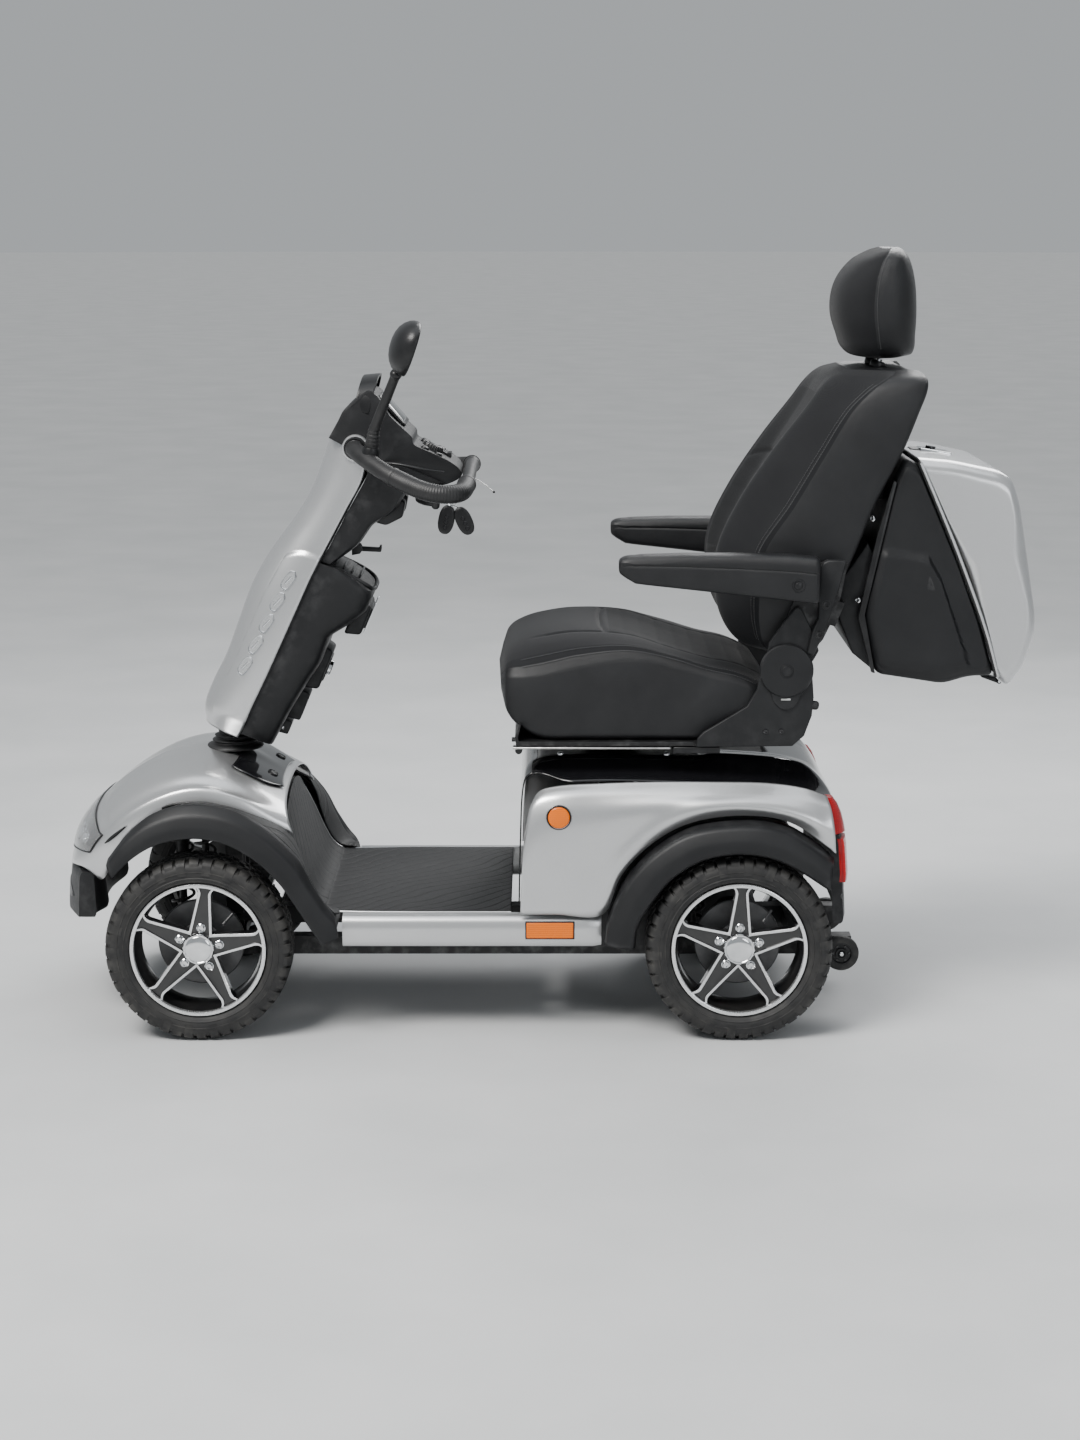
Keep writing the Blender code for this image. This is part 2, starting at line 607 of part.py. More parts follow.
def wheel(tag, y, turn, side):
    ax = (1, 0, 0)
    c = (WHEEL_X, y, AXLE_Z)
    tyre = lathe("tyre_" + tag, TYRE, c, ax, "rubber", 32, ring=True)
    rim = lathe("rim_" + tag, RIM, c, ax, "alloy", 32, ring=True)
    hub = lathe("hub", [(0, -0.0440), (0.030, -0.0440), (0.034, 0.0), (0.048, 0.016), (0.048, 0.030), (0.030, 0.0330),
                        (0.028, 0.0370), (0, 0.0385)], c, ax, "alloy", 20)
    parts = [hub]
    for k in range(5):
        t = math.pi / 2 + turn + 2 * math.pi * k / 5
        u, w = Vector((0, math.cos(t), math.sin(t))), Vector((0, -math.sin(t), math.cos(t)))
        o = Vector(c)
        x0, x1, r0, r1, w0, w1 = 0.012, 0.030, 0.030, 0.1185, 0.0190, 0.0115
        v = []
        for xx in (x0, x1):
            for r, hw in ((r0, w0), (r1, w1)):
                for sgn in (-1, 1):
                    v.append(o + Vector((xx, 0, 0)) + u * r + w * (hw * sgn))
        f = [[0, 1, 3, 2], [4, 6, 7, 5], [0, 4, 5, 1], [2, 3, 7, 6], [0, 2, 6, 4], [1, 5, 7, 3]]
        parts.append(finish("sp%d" % k, v, f, "alloy"))
    union(rim, *parts)
    if side < 0:
        a, b = mirror_copy(tyre, "tmp_t"), mirror_copy(rim, "tmp_r")
        for old, new, nm in ((tyre, a, "tyre_" + tag), (rim, b, "rim_" + tag)):
            bpy.data.objects.remove(old, do_unlink=True)
            new.name = nm


wheel("front_left", FRONT_Y, SPOKE_TURN["front"], 1)
wheel("front_right", FRONT_Y, SPOKE_TURN["front"], -1)
wheel("rear_left", REAR_Y, SPOKE_TURN["rear"], 1)
wheel("rear_right", REAR_Y, SPOKE_TURN["rear"], -1)

aw = lathe("anti_tip_wheel_left", [(0, -0.0110), (0.0120, -0.0110), (0.0120, -0.0080), (0.0300, -0.0090),
                                   (ANTI_R, -0.0060), (ANTI_R, 0.0060), (0.0300, 0.0090), (0.0120, 0.0080),
                                   (0.0120, 0.0110), (0, 0.0110)],
           (0.1480, ANTI_Y, ANTI_Z), (1, 0, 0), "rubber", 24)
mirror_copy(aw, "anti_tip_wheel_right")

# ================================================================ tiller
# rows (s, half width, front q, split q)
TIL = [(0.004, 0.078, -0.070, 0.002), (0.030, 0.092, -0.083, 0.005), (0.075, 0.100, -0.085, 0.006),
       (0.140, 0.106, -0.080, 0.010), (0.210, 0.109, -0.082, 0.013), (0.290, 0.109, -0.084, 0.016),
       (0.350, 0.107, -0.077, 0.018), (0.395, 0.105, -0.067, 0.0215), (0.450, 0.103, -0.053, 0.027),
       (0.510, 0.102, -0.044, 0.033), (0.570, 0.102, -0.045, 0.039), (0.622, 0.103, -0.049, 0.030)]
g = []
for s, w, qf, qs in TIL:
    row = []
    for i in range(13):
        a = -math.pi / 2 + math.pi * i / 12
        cs, sn = math.cos(a), math.sin(a)
        x = math.copysign(abs(sn) ** 0.62, sn) * w if abs(sn) > 1e-9 else 0.0
        q = qs + (qf - qs) * max(cs, 0.0) ** 0.80
        row.append(sq(x, s, q))
    g.append(row)
thick(skin("tiller_front_shell", g, "silver_paint", flip=True), 0.003)

# rear shroud, solid storage housing below and arm up to the head
REAR_LOW = [(0.012, 0.0085), (0.012, 0.070), (0.083, 0.0775), (0.152, 0.088), (0.205, 0.099), (0.262, 0.097),
            (0.300, 0.126), (0.332, 0.143), (0.365, 0.1440), (0.379, 0.137), (0.391, 0.080), (0.3915, 0.0245),
            (0.350, 0.0215), (0.290, 0.0195), (0.210, 0.0165), (0.140, 0.0135), (0.075, 0.0095)]
prism("tiller_rear_shell", [yz(s, q) for s, q in REAR_LOW], -0.094, 0.094, "black_plastic", 0.008, 2)

HEAD = [(0.6235, -0.0490), (0.6590, -0.0450), (0.6830, -0.0430), (0.7330, -0.0170), (0.7640, 0.0100),
        (0.7080, 0.0400), (0.6840, 0.0980), (0.6700, 0.1080), (0.6680, 0.1830), (0.6600, 0.2060),
        (0.6380, 0.2120), (0.6120, 0.1800), (0.5840, 0.1320), (0.5380, 0.1210), (0.4980, 0.0920),
        (0.4720, 0.0860), (0.4470, 0.0790), (0.3940, 0.0460), (0.3940, 0.0270), (0.4500, 0.0320),
        (0.5100, 0.0380), (0.5700, 0.0440), (0.6250, 0.0340)]
prism("head_console", [yz(s, q) for s, q in HEAD], -0.098, 0.098, "black_plastic", 0.006, 2)

# wrap round handlebar, one closed loop fixed at both sides of the head
HALF = [(0.1075, -0.3560, 1.1200), (0.1400, -0.3550, 1.1195), (0.1900, -0.3300, 1.1060), (0.2450, -0.2780, 1.0790),
        (0.2800, -0.2200, 1.0570), (0.2860, -0.1760, 1.0500), (0.2620, -0.1480, 1.0520), (0.2000, -0.1390, 1.0600),
        (0.1000, -0.1370, 1.0660)]
FULL = HALF + [(0, -0.1370, 1.0680)] + [(-x, y, z) for x, y, z in HALF[::-1]]
path = smooth_path(FULL, 2)
rad = [0.0165 if abs(p.x) > 0.20 or p.y < -0.2 else 0.0125 for p in path]
sweep("handlebar", path, rad, "rubber", 12)

# mirror on the left bar end only: stem clamped on the bar, head on top, one loft
MIR = [(0.1900, -0.3190, 1.1255, 0.0120, 0.0120), (0.1950, -0.3160, 1.1500, 0.0110, 0.0110),
       (0.2010, -0.3110, 1.1700, 0.0075, 0.0075), (0.2230, -0.2900, 1.2200, 0.0070, 0.0070),
       (0.2430, -0.2720, 1.2620, 0.0075, 0.0075), (0.2490, -0.2680, 1.2700, 0.0200, 0.0120),
       (0.2640, -0.2600, 1.2850, 0.0520, 0.0200), (0.2760, -0.2520, 1.3100, 0.0680, 0.0250),
       (0.2800, -0.2430, 1.3400, 0.0620, 0.0230), (0.2800, -0.2370, 1.3620, 0.0440, 0.0160),
       (0.2800, -0.2350, 1.3720, 0.0200, 0.0080)]
rings = []
for x, y, z, rx, ry in MIR:
    rings.append([(x + rx * math.cos(2 * math.pi * k / 16), y + ry * math.sin(2 * math.pi * k / 16),
                   z - 0.25 * ry * math.sin(2 * math.pi * k / 16)) for k in range(16)])
ml = loft("mirror_left", rings, "black_plastic", angle=60)

# finger lever under the console, knob on top, key and fobs, bag hook
lever = slab("throttle_lever", [(-0.1250, -0.2050), (-0.1050, -0.2250), (-0.0300, -0.2450), (0.0300, -0.2450),
                                (0.1050, -0.2250), (0.1250, -0.2050), (0.1150, -0.1950), (0.0300, -0.2200),
                                (-0.0300, -0.2200), (-0.1150, -0.1950)], 1.0080, 1.0220, "black_plastic", 0.003)
knob_c = sq(0.045, 0.6755, 0.1480)
lathe("speed_knob", [(0, -0.0045), (0.0150, -0.0045), (0.0135, 0.0070), (0.0110, 0.0085), (0, 0.0085)],
      knob_c, (0, math.sin(LEAN), math.cos(LEAN)), "black_plastic", 24)
lathe("key", [(0, -0.0100), (0.0040, -0.0100), (0.0040, 0.0000), (0.0110, 0.0020), (0.0110, 0.0065), (0, 0.0065)],
      (0.0600, -0.1700, 1.0300), (0, 0, 1), "zinc", 16)
FOB = [(-0.1780, 0.9990), (-0.1700, 1.0060), (-0.1620, 1.0060), (-0.1500, 0.9960), (-0.1300, 0.9560), (-0.1270, 0.9420),
       (-0.1370, 0.9340), (-0.1500, 0.9400), (-0.1680, 0.9750), (-0.1740, 0.9450), (-0.1850, 0.9360),
       (-0.1970, 0.9420), (-0.1990, 0.9570)]
prism("key_fobs", [(y - 0.005, z + 0.012) for y, z in FOB], 0.0530, 0.0660, "black_plastic", 0.002, 1)
block("bag_hook", (0.0, -0.3365, 0.9120), (0.016, 0.044, 0.010), "black_plastic", 0.002)

# ================================================================ seat
tt = slab("seat_turntable", [(-0.135, -0.020), (0.135, -0.020), (0.135, 0.292), (-0.135, 0.292)],
          0.5490, 0.5610, "zinc")
cut(tt, block("h", (0, 0.060, 0.560), (0.200, 0.100, 0.010), "steel"),
    block("h", (0, 0.235, 0.560), (0.200, 0.060, 0.010), "steel"))

pan = slab("seat_pan", [(-0.2580, -0.030), (0.2580, -0.030), (0.2580, 0.4700), (-0.2580, 0.4700)],
           0.5620, 0.5720, "steel")
PLATE = [(0.300, 0.5640), (0.308, 0.5900), (0.395, 0.6450), (0.414, 0.6780), (0.412, 0.7100), (0.428, 0.7480),
         (0.466, 0.7640), (0.504, 0.7480), (0.520, 0.7110), (0.510, 0.6740), (0.492, 0.6300), (0.470, 0.5640)]
union(pan, prism("pl", PLATE, 0.2540, 0.2640, "steel"), prism("pr", PLATE, -0.2640, -0.2540, "steel"))
cut(pan, block("h", (0, 0.2200, 0.5640), (0.496, 0.480, 0.0100), "steel"))


# ---------------------------------------------------------------- soft pieces
def cushion(name, stations, kind="fabric", seg=20, power=4.0):
    """Rings across the seat: (y or z level rings) given as (centre, half sizes) superellipses."""
    rings = []
    for c, ex, ey, hx, hy in stations:
        ring = []
        for k in range(seg):
            a = 2 * math.pi * k / seg
            ca, sa = math.cos(a), math.sin(a)
            px = math.copysign(abs(ca) ** (2 / power), ca) * hx
            py = math.copysign(abs(sa) ** (2 / power), sa) * hy
            ring.append(Vector(c) + Vector(ex) * px + Vector(ey) * py)
        rings.append(ring)
    return loft(name, rings, kind)


def seat_ring(y, w, bot, top, side):
    """One slice across the seat base: crowned top, sides dropping to the side seam."""
    half = [(0.0, bot), (0.55 * w, bot), (0.93 * w, bot + 0.004), (w, bot + 0.3 * (side - bot)), (1.0 * w, side),
            (0.86 * w, side + 0.75 * (top - side)), (0.5 * w, top), (0.0, top - 0.004)]
    pts = [(x, z) for x, z in half] + [(-x, z) for x, z in half[-2:0:-1]]
    return [(x, y, z) for x, z in pts]


SEAT = [(-0.0740, 0.200, 0.6600, 0.7050, 0.6900), (-0.0640, 0.222, 0.6250, 0.7350, 0.7020),
        (-0.0380, 0.234, 0.5960, 0.7560, 0.7060), (0.0050, 0.240, 0.5740, 0.7700, 0.7140),
        (0.0750, 0.242, 0.5728, 0.7780, 0.7330), (0.1700, 0.242, 0.5728, 0.7700, 0.7460),
        (0.2500, 0.242, 0.5728, 0.7440, 0.7330), (0.3200, 0.242, 0.5728, 0.7240, 0.7080),
        (0.3800, 0.240, 0.5728, 0.7120, 0.6960), (0.4250, 0.232, 0.5728, 0.6900, 0.6700),
        (0.4400, 0.210, 0.5900, 0.6700, 0.6500)]
loft("seat_cushion", [seat_ring(*r) for r in SEAT], "fabric")


def back_ring(z, side_y, front_y, rear_y, w, dip):
    """One level slice of the backrest: bolsters forward at the sides, shallow centre, recessed rear."""
    half = [(0.0, front_y + dip), (0.30 * w, front_y + 0.8 * dip), (0.60 * w, front_y), (0.86 * w, front_y + 0.35 * (side_y - front_y)),
            (1.0 * w, side_y), (1.0 * w, rear_y - 0.010), (0.93 * w, rear_y), (0.84 * w, rear_y), (0.80 * w, rear_y - 0.014),
            (0.0, rear_y - 0.014)]
    pts = half + [(-x, y) for x, y in half[-2:0:-1]]
    return [(x, y, z) for x, y in pts]


BACK = [(0.7300, 0.470, 0.430, 0.5000, 0.185, 0.000), (0.7480, 0.430, 0.388, 0.5140, 0.215, 0.004),
        (0.7900, 0.412, 0.354, 0.5340, 0.230, 0.010), (0.8500, 0.408, 0.337, 0.5620, 0.238, 0.018),
        (0.9340, 0.415, 0.340, 0.5990, 0.240, 0.026), (1.0240, 0.473, 0.380, 0.6340, 0.240, 0.030),
        (1.1220, 0.531, 0.444, 0.6830, 0.240, 0.026), (1.2000, 0.579, 0.504, 0.7140, 0.238, 0.016),
        (1.2400, 0.620, 0.534, 0.7290, 0.230, 0.008), (1.2620, 0.655, 0.560, 0.7290, 0.212, 0.002),
        (1.2720, 0.672, 0.590, 0.7180, 0.180, 0.000)]
BD = Vector((0, math.sin(BACK_LEAN), math.cos(BACK_LEAN)))
back = loft("backrest_cushion", [back_ring(*r) for r in BACK], "fabric")
for sx in (-0.045, 0.045):
    base = Vector((sx, 0.6560, 1.2800))
    cut(back, lathe("h", [(0, -0.105), (0.0095, -0.105), (0.0095, 0.03), (0, 0.03)], base, BD, "steel", 12))

HEADR = [(1.2900, 0.640, 0.700, 0.070), (1.2970, 0.600, 0.722, 0.102), (1.3370, 0.578, 0.727, 0.122),
         (1.3830, 0.567, 0.728, 0.130), (1.4340, 0.576, 0.724, 0.128), (1.4740, 0.606, 0.714, 0.114),
         (1.4930, 0.640, 0.702, 0.092), (1.5000, 0.662, 0.692, 0.060)]
stn = []
for z, y0, y1, w in HEADR:
    stn.append(((0, (y0 + y1) / 2, z), (1, 0, 0), (0, 1, 0), w, (y1 - y0) / 2))
head = cushion("headrest", stn, seg=20, power=3.2)
for sx in (-0.045, 0.045):
    p = Vector((sx, 0.6560, 1.2800))
    union(head, lathe("post", [(0, -0.095), (0.0060, -0.095), (0.0060, 0.04), (0, 0.04)], p, BD, "steel", 12))

# backrest frame: side arms on the recliner, cross tube, back plate, box rails, armrest brackets
ARM_P = [(0.430, 0.7130), (0.4480, 0.7400), (0.4750, 0.8300), (0.4900, 0.8650), (0.5200, 0.9120), (0.5440, 0.9230),
         (0.5810, 0.9150), (0.5690, 0.8500), (0.5540, 0.8060), (0.5370, 0.7700), (0.5020, 0.7300),
         (0.4900, 0.6900), (0.4660, 0.6750), (0.4420, 0.6900)]
bf = prism("backrest_frame", ARM_P, 0.2460, 0.2530, "steel")
bfr = prism("r", ARM_P, -0.2530, -0.2460, "steel")
tube = prism("t", [(0.5440, 0.8000), (0.5600, 0.7950), (0.5780, 0.8400), (0.5610, 0.8440)], -0.2500, 0.2500, "steel")
plate = prism("p", [(0.5500, 0.8150), (0.5560, 0.8050), (0.5680, 0.8000), (0.6600, 1.0430), (0.6900, 1.1100),
                    (0.6780, 1.1160), (0.6500, 1.0580)], -0.1800, 0.1800, "steel")
union(bf, bfr, tube)
bpy.data.objects.remove(plate, do_unlink=True)


def on_back(z):
    """Rear line of the backrest cushion."""
    for a, b in zip(BACK, BACK[1:]):
        if z <= b[0]:
            return a[3] + (b[3] - a[3]) * (z - a[0]) / (b[0] - a[0])
    return BACK[-1][3]


zz = [0.8100, 0.8500, 0.9340, 1.0240, 1.1000]
plate = prism("p", [(on_back(z) - 0.0134, z) for z in zz] + [(on_back(z) - 0.0040, z) for z in zz[::-1]],
              -0.1780, 0.1780, "steel")
union(bf, plate)


def box_front(z):
    return 0.613 + (0.055 / 0.252) * (z - 0.814)


for za, zb in ((0.8300, 0.8600), (1.0250, 1.0500)):
    rail = prism("rail", [(on_back(za) - 0.0070, za), (box_front(za) - 0.0008, za), (box_front(zb) - 0.0008, zb),
                          (on_back(zb) - 0.0070, zb)], -0.1300, 0.1300, "steel")
    union(bf, rail)

# armrests: tapered pads hinged on the brackets
ARMR = [(0.1500, 0.9010), (0.1660, 0.8870), (0.3230, 0.8690), (0.5190, 0.8470), (0.5220, 0.8640), (0.5230, 0.9130),
        (0.5200, 0.9340), (0.3810, 0.9410), (0.1850, 0.9380), (0.1530, 0.9330), (0.1480, 0.9200)]
ar = prism("armrest_left", ARMR, 0.2720, 0.3270, "black_plastic", 0.007, 2)
mirror_copy(ar, "armrest_right")

# ---------------------------------------------------------------- storage box
BOX = [(0.6130, 0.8140), (0.6440, 0.6960), (0.7750, 0.6760), (0.8250, 0.6910), (0.8730, 0.6920), (0.8460, 0.7870),
       (0.7950, 0.9200), (0.7480, 1.0290), (0.7160, 1.1010), (0.6900, 1.1130), (0.6680, 1.0660)]
BOXI = [(0.6180, 0.8150), (0.6480, 0.7000), (0.7745, 0.6805), (0.8240, 0.6955), (0.9600, 0.6970), (0.9000, 0.9300),
        (0.7860, 1.1500), (0.7120, 1.0960), (0.6935, 1.1080), (0.6725, 1.0640)]
LID = [(0.8750, 0.6870), (0.8990, 0.6700), (0.9280, 0.7080), (0.9480, 0.7700), (0.9490, 0.8080), (0.9250, 0.9510),
       (0.9120, 1.0250), (0.8950, 1.0720), (0.8700, 1.0870), (0.7780, 1.1060), (0.7120, 1.1110), (0.7185, 1.1025),
       (0.7505, 1.0300), (0.7975, 0.9210), (0.8485, 0.7880)]
LIDI = [(0.8600, 0.6930), (0.8980, 0.6760), (0.9235, 0.7110), (0.9430, 0.7720), (0.9440, 0.8080), (0.9203, 0.9500),
        (0.9073, 1.0230), (0.8915, 1.0680), (0.8690, 1.0820), (0.7775, 1.1010), (0.7080, 1.1040), (0.7000, 1.0900),
        (0.7300, 1.0200)]
bb = prism("box_base", BOX, -0.2200, 0.2200, "black_plastic", 0.016, 2)
cut(bb, prism("bi", BOXI, -0.2150, 0.2150, "black_plastic"))
lid = prism("box_lid", LID, -0.2230, 0.2230, "silver_paint", 0.010, 2)
cut(lid, prism("li", LIDI, -0.2185, 0.2185, "silver_paint"))

for ob in bpy.data.objects:
    ob.hide_render = False
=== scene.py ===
import json
import math
import bpy
import bmesh
from mathutils import Matrix, Vector, noise

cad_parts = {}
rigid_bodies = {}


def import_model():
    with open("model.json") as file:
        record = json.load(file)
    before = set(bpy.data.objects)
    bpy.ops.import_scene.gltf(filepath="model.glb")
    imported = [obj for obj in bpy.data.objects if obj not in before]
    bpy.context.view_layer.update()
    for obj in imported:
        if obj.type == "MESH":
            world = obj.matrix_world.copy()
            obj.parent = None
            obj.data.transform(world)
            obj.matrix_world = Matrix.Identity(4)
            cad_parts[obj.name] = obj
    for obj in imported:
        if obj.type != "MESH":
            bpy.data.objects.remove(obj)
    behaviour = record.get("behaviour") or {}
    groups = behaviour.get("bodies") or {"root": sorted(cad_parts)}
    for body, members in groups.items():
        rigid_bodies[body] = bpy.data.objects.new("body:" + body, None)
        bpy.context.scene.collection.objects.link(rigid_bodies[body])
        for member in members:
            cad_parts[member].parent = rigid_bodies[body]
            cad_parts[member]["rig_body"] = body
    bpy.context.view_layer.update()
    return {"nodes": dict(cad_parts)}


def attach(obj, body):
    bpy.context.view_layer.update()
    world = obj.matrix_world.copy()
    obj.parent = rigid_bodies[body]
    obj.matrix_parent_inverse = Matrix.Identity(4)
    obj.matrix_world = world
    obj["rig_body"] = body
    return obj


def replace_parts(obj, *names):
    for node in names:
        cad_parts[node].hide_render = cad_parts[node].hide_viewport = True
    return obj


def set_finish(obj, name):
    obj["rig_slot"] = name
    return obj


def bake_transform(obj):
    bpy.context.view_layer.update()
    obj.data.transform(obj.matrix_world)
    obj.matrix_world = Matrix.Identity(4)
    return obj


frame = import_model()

# ------------------------------------------------------------------ constants
FRONT_Y, REAR_Y, AXLE_Z, WHEEL_X = -0.655, 0.382, 0.180, 0.285
STEER_Y, POST_Y = -0.612, 0.145
LEAN = math.radians(22.5)
TIL_Y, TIL_Z = -0.600, 0.545
BACK_LEAN = math.atan2(0.184, 0.569)
BD = Vector((0, math.sin(BACK_LEAN), math.cos(BACK_LEAN)))
RECL_Y, RECL_Z = 0.466, 0.711
ARM_Y, ARM_Z = 0.482, 0.884


# ------------------------------------------------------------------ materials
class Mat:
    """Small wrapper that builds a node material."""

    def __init__(self, name):
        self.m = bpy.data.materials.new(name)
        self.m.use_nodes = True
        self.nt = self.m.node_tree
        self.b = self.nt.nodes["Principled BSDF"]
        tc = self.nt.nodes.new("ShaderNodeTexCoord")
        self.obj = tc.outputs["Object"]
        self.height = None

    def n(self, kind, **kw):
        nd = self.nt.nodes.new(kind)
        for k, v in kw.items():
            if k in nd.inputs:
                if hasattr(v, "is_output") or isinstance(v, bpy.types.NodeSocket):
                    self.nt.links.new(v, nd.inputs[k])
                else:
                    nd.inputs[k].default_value = v
            else:
                setattr(nd, k, v)
        return nd

    def link(self, a, b):
        self.nt.links.new(a, b)

    def scaled(self, s):
        return self.n("ShaderNodeMapping", Vector=self.obj, Scale=(s if isinstance(s, tuple) else (s, s, s))).outputs[0]

    def noise(self, scale, detail=4.0, rough=0.55, vec=None):
        nd = self.nt.nodes.new("ShaderNodeTexNoise")
        nd.inputs["Scale"].default_value = scale
        nd.inputs["Detail"].default_value = detail
        nd.inputs["Roughness"].default_value = rough
        self.link(vec or self.obj, nd.inputs["Vector"])
        return nd.outputs["Fac"]

    def ramp(self, fac, stops):
        nd = self.nt.nodes.new("ShaderNodeValToRGB")
        self.link(fac, nd.inputs["Fac"])
        el = nd.color_ramp.elements
        while len(el) < len(stops):
            el.new(0.5)
        for e, (p, c) in zip(el, stops):
            e.position = p
            e.color = (c, c, c, 1) if not isinstance(c, tuple) else (*c, 1)
        return nd.outputs["Color"]

    def mix(self, fac, a, b):
        nd = self.nt.nodes.new("ShaderNodeMix")
        nd.data_type = "RGBA"
        for sock, v in ((nd.inputs[0], fac), (nd.inputs[6], a), (nd.inputs[7], b)):
            if isinstance(v, (int, float)):
                sock.default_value = v
            elif isinstance(v, tuple):
                sock.default_value = (*v, 1)
            else:
                self.link(v, sock)
        return nd.outputs[2]

    def math(self, op, a, b=0.0):
        nd = self.nt.nodes.new("ShaderNodeMath")
        nd.operation = op
        for sock, v in ((nd.inputs[0], a), (nd.inputs[1], b)):
            if isinstance(v, (int, float)):
                sock.default_value = v
            else:
                self.link(v, sock)
        return nd.outputs[0]

    def bump(self, h, dist, strength=1.0):
        nd = self.nt.nodes.new("ShaderNodeBump")
        nd.inputs["Strength"].default_value = strength
        nd.inputs["Distance"].default_value = dist
        self.link(h, nd.inputs["Height"])
        if self.height is not None:
            self.link(self.height, nd.inputs["Normal"])
        self.height = nd.outputs["Normal"]
        self.link(self.height, self.b.inputs["Normal"])
        return self

    def set(self, **kw):
        for k, v in kw.items():
            s = self.b.inputs[k.replace("_", " ")]
            if isinstance(v, (int, float)):
                s.default_value = v
            elif isinstance(v, tuple):
                s.default_value = (*v, 1) if len(v) == 3 and s.type == "RGBA" else v
            else:
                self.link(v, s)
        return self


def edge_wear(m, base, worn, amount=0.35):
    """Lighter scuffs where the surface turns sharply."""
    g = m.nt.nodes.new("ShaderNodeNewGeometry").outputs["Pointiness"]
    e = m.ramp(g, [(0.515, 0.0), (0.56, 1.0)])
    nz = m.ramp(m.noise(38.0, 6.0), [(0.45, 0.0), (0.70, 1.0)])
    f = m.math("MULTIPLY", m.math("MULTIPLY", e, nz), amount)
    return m.mix(f, base, worn)


MATS = {}


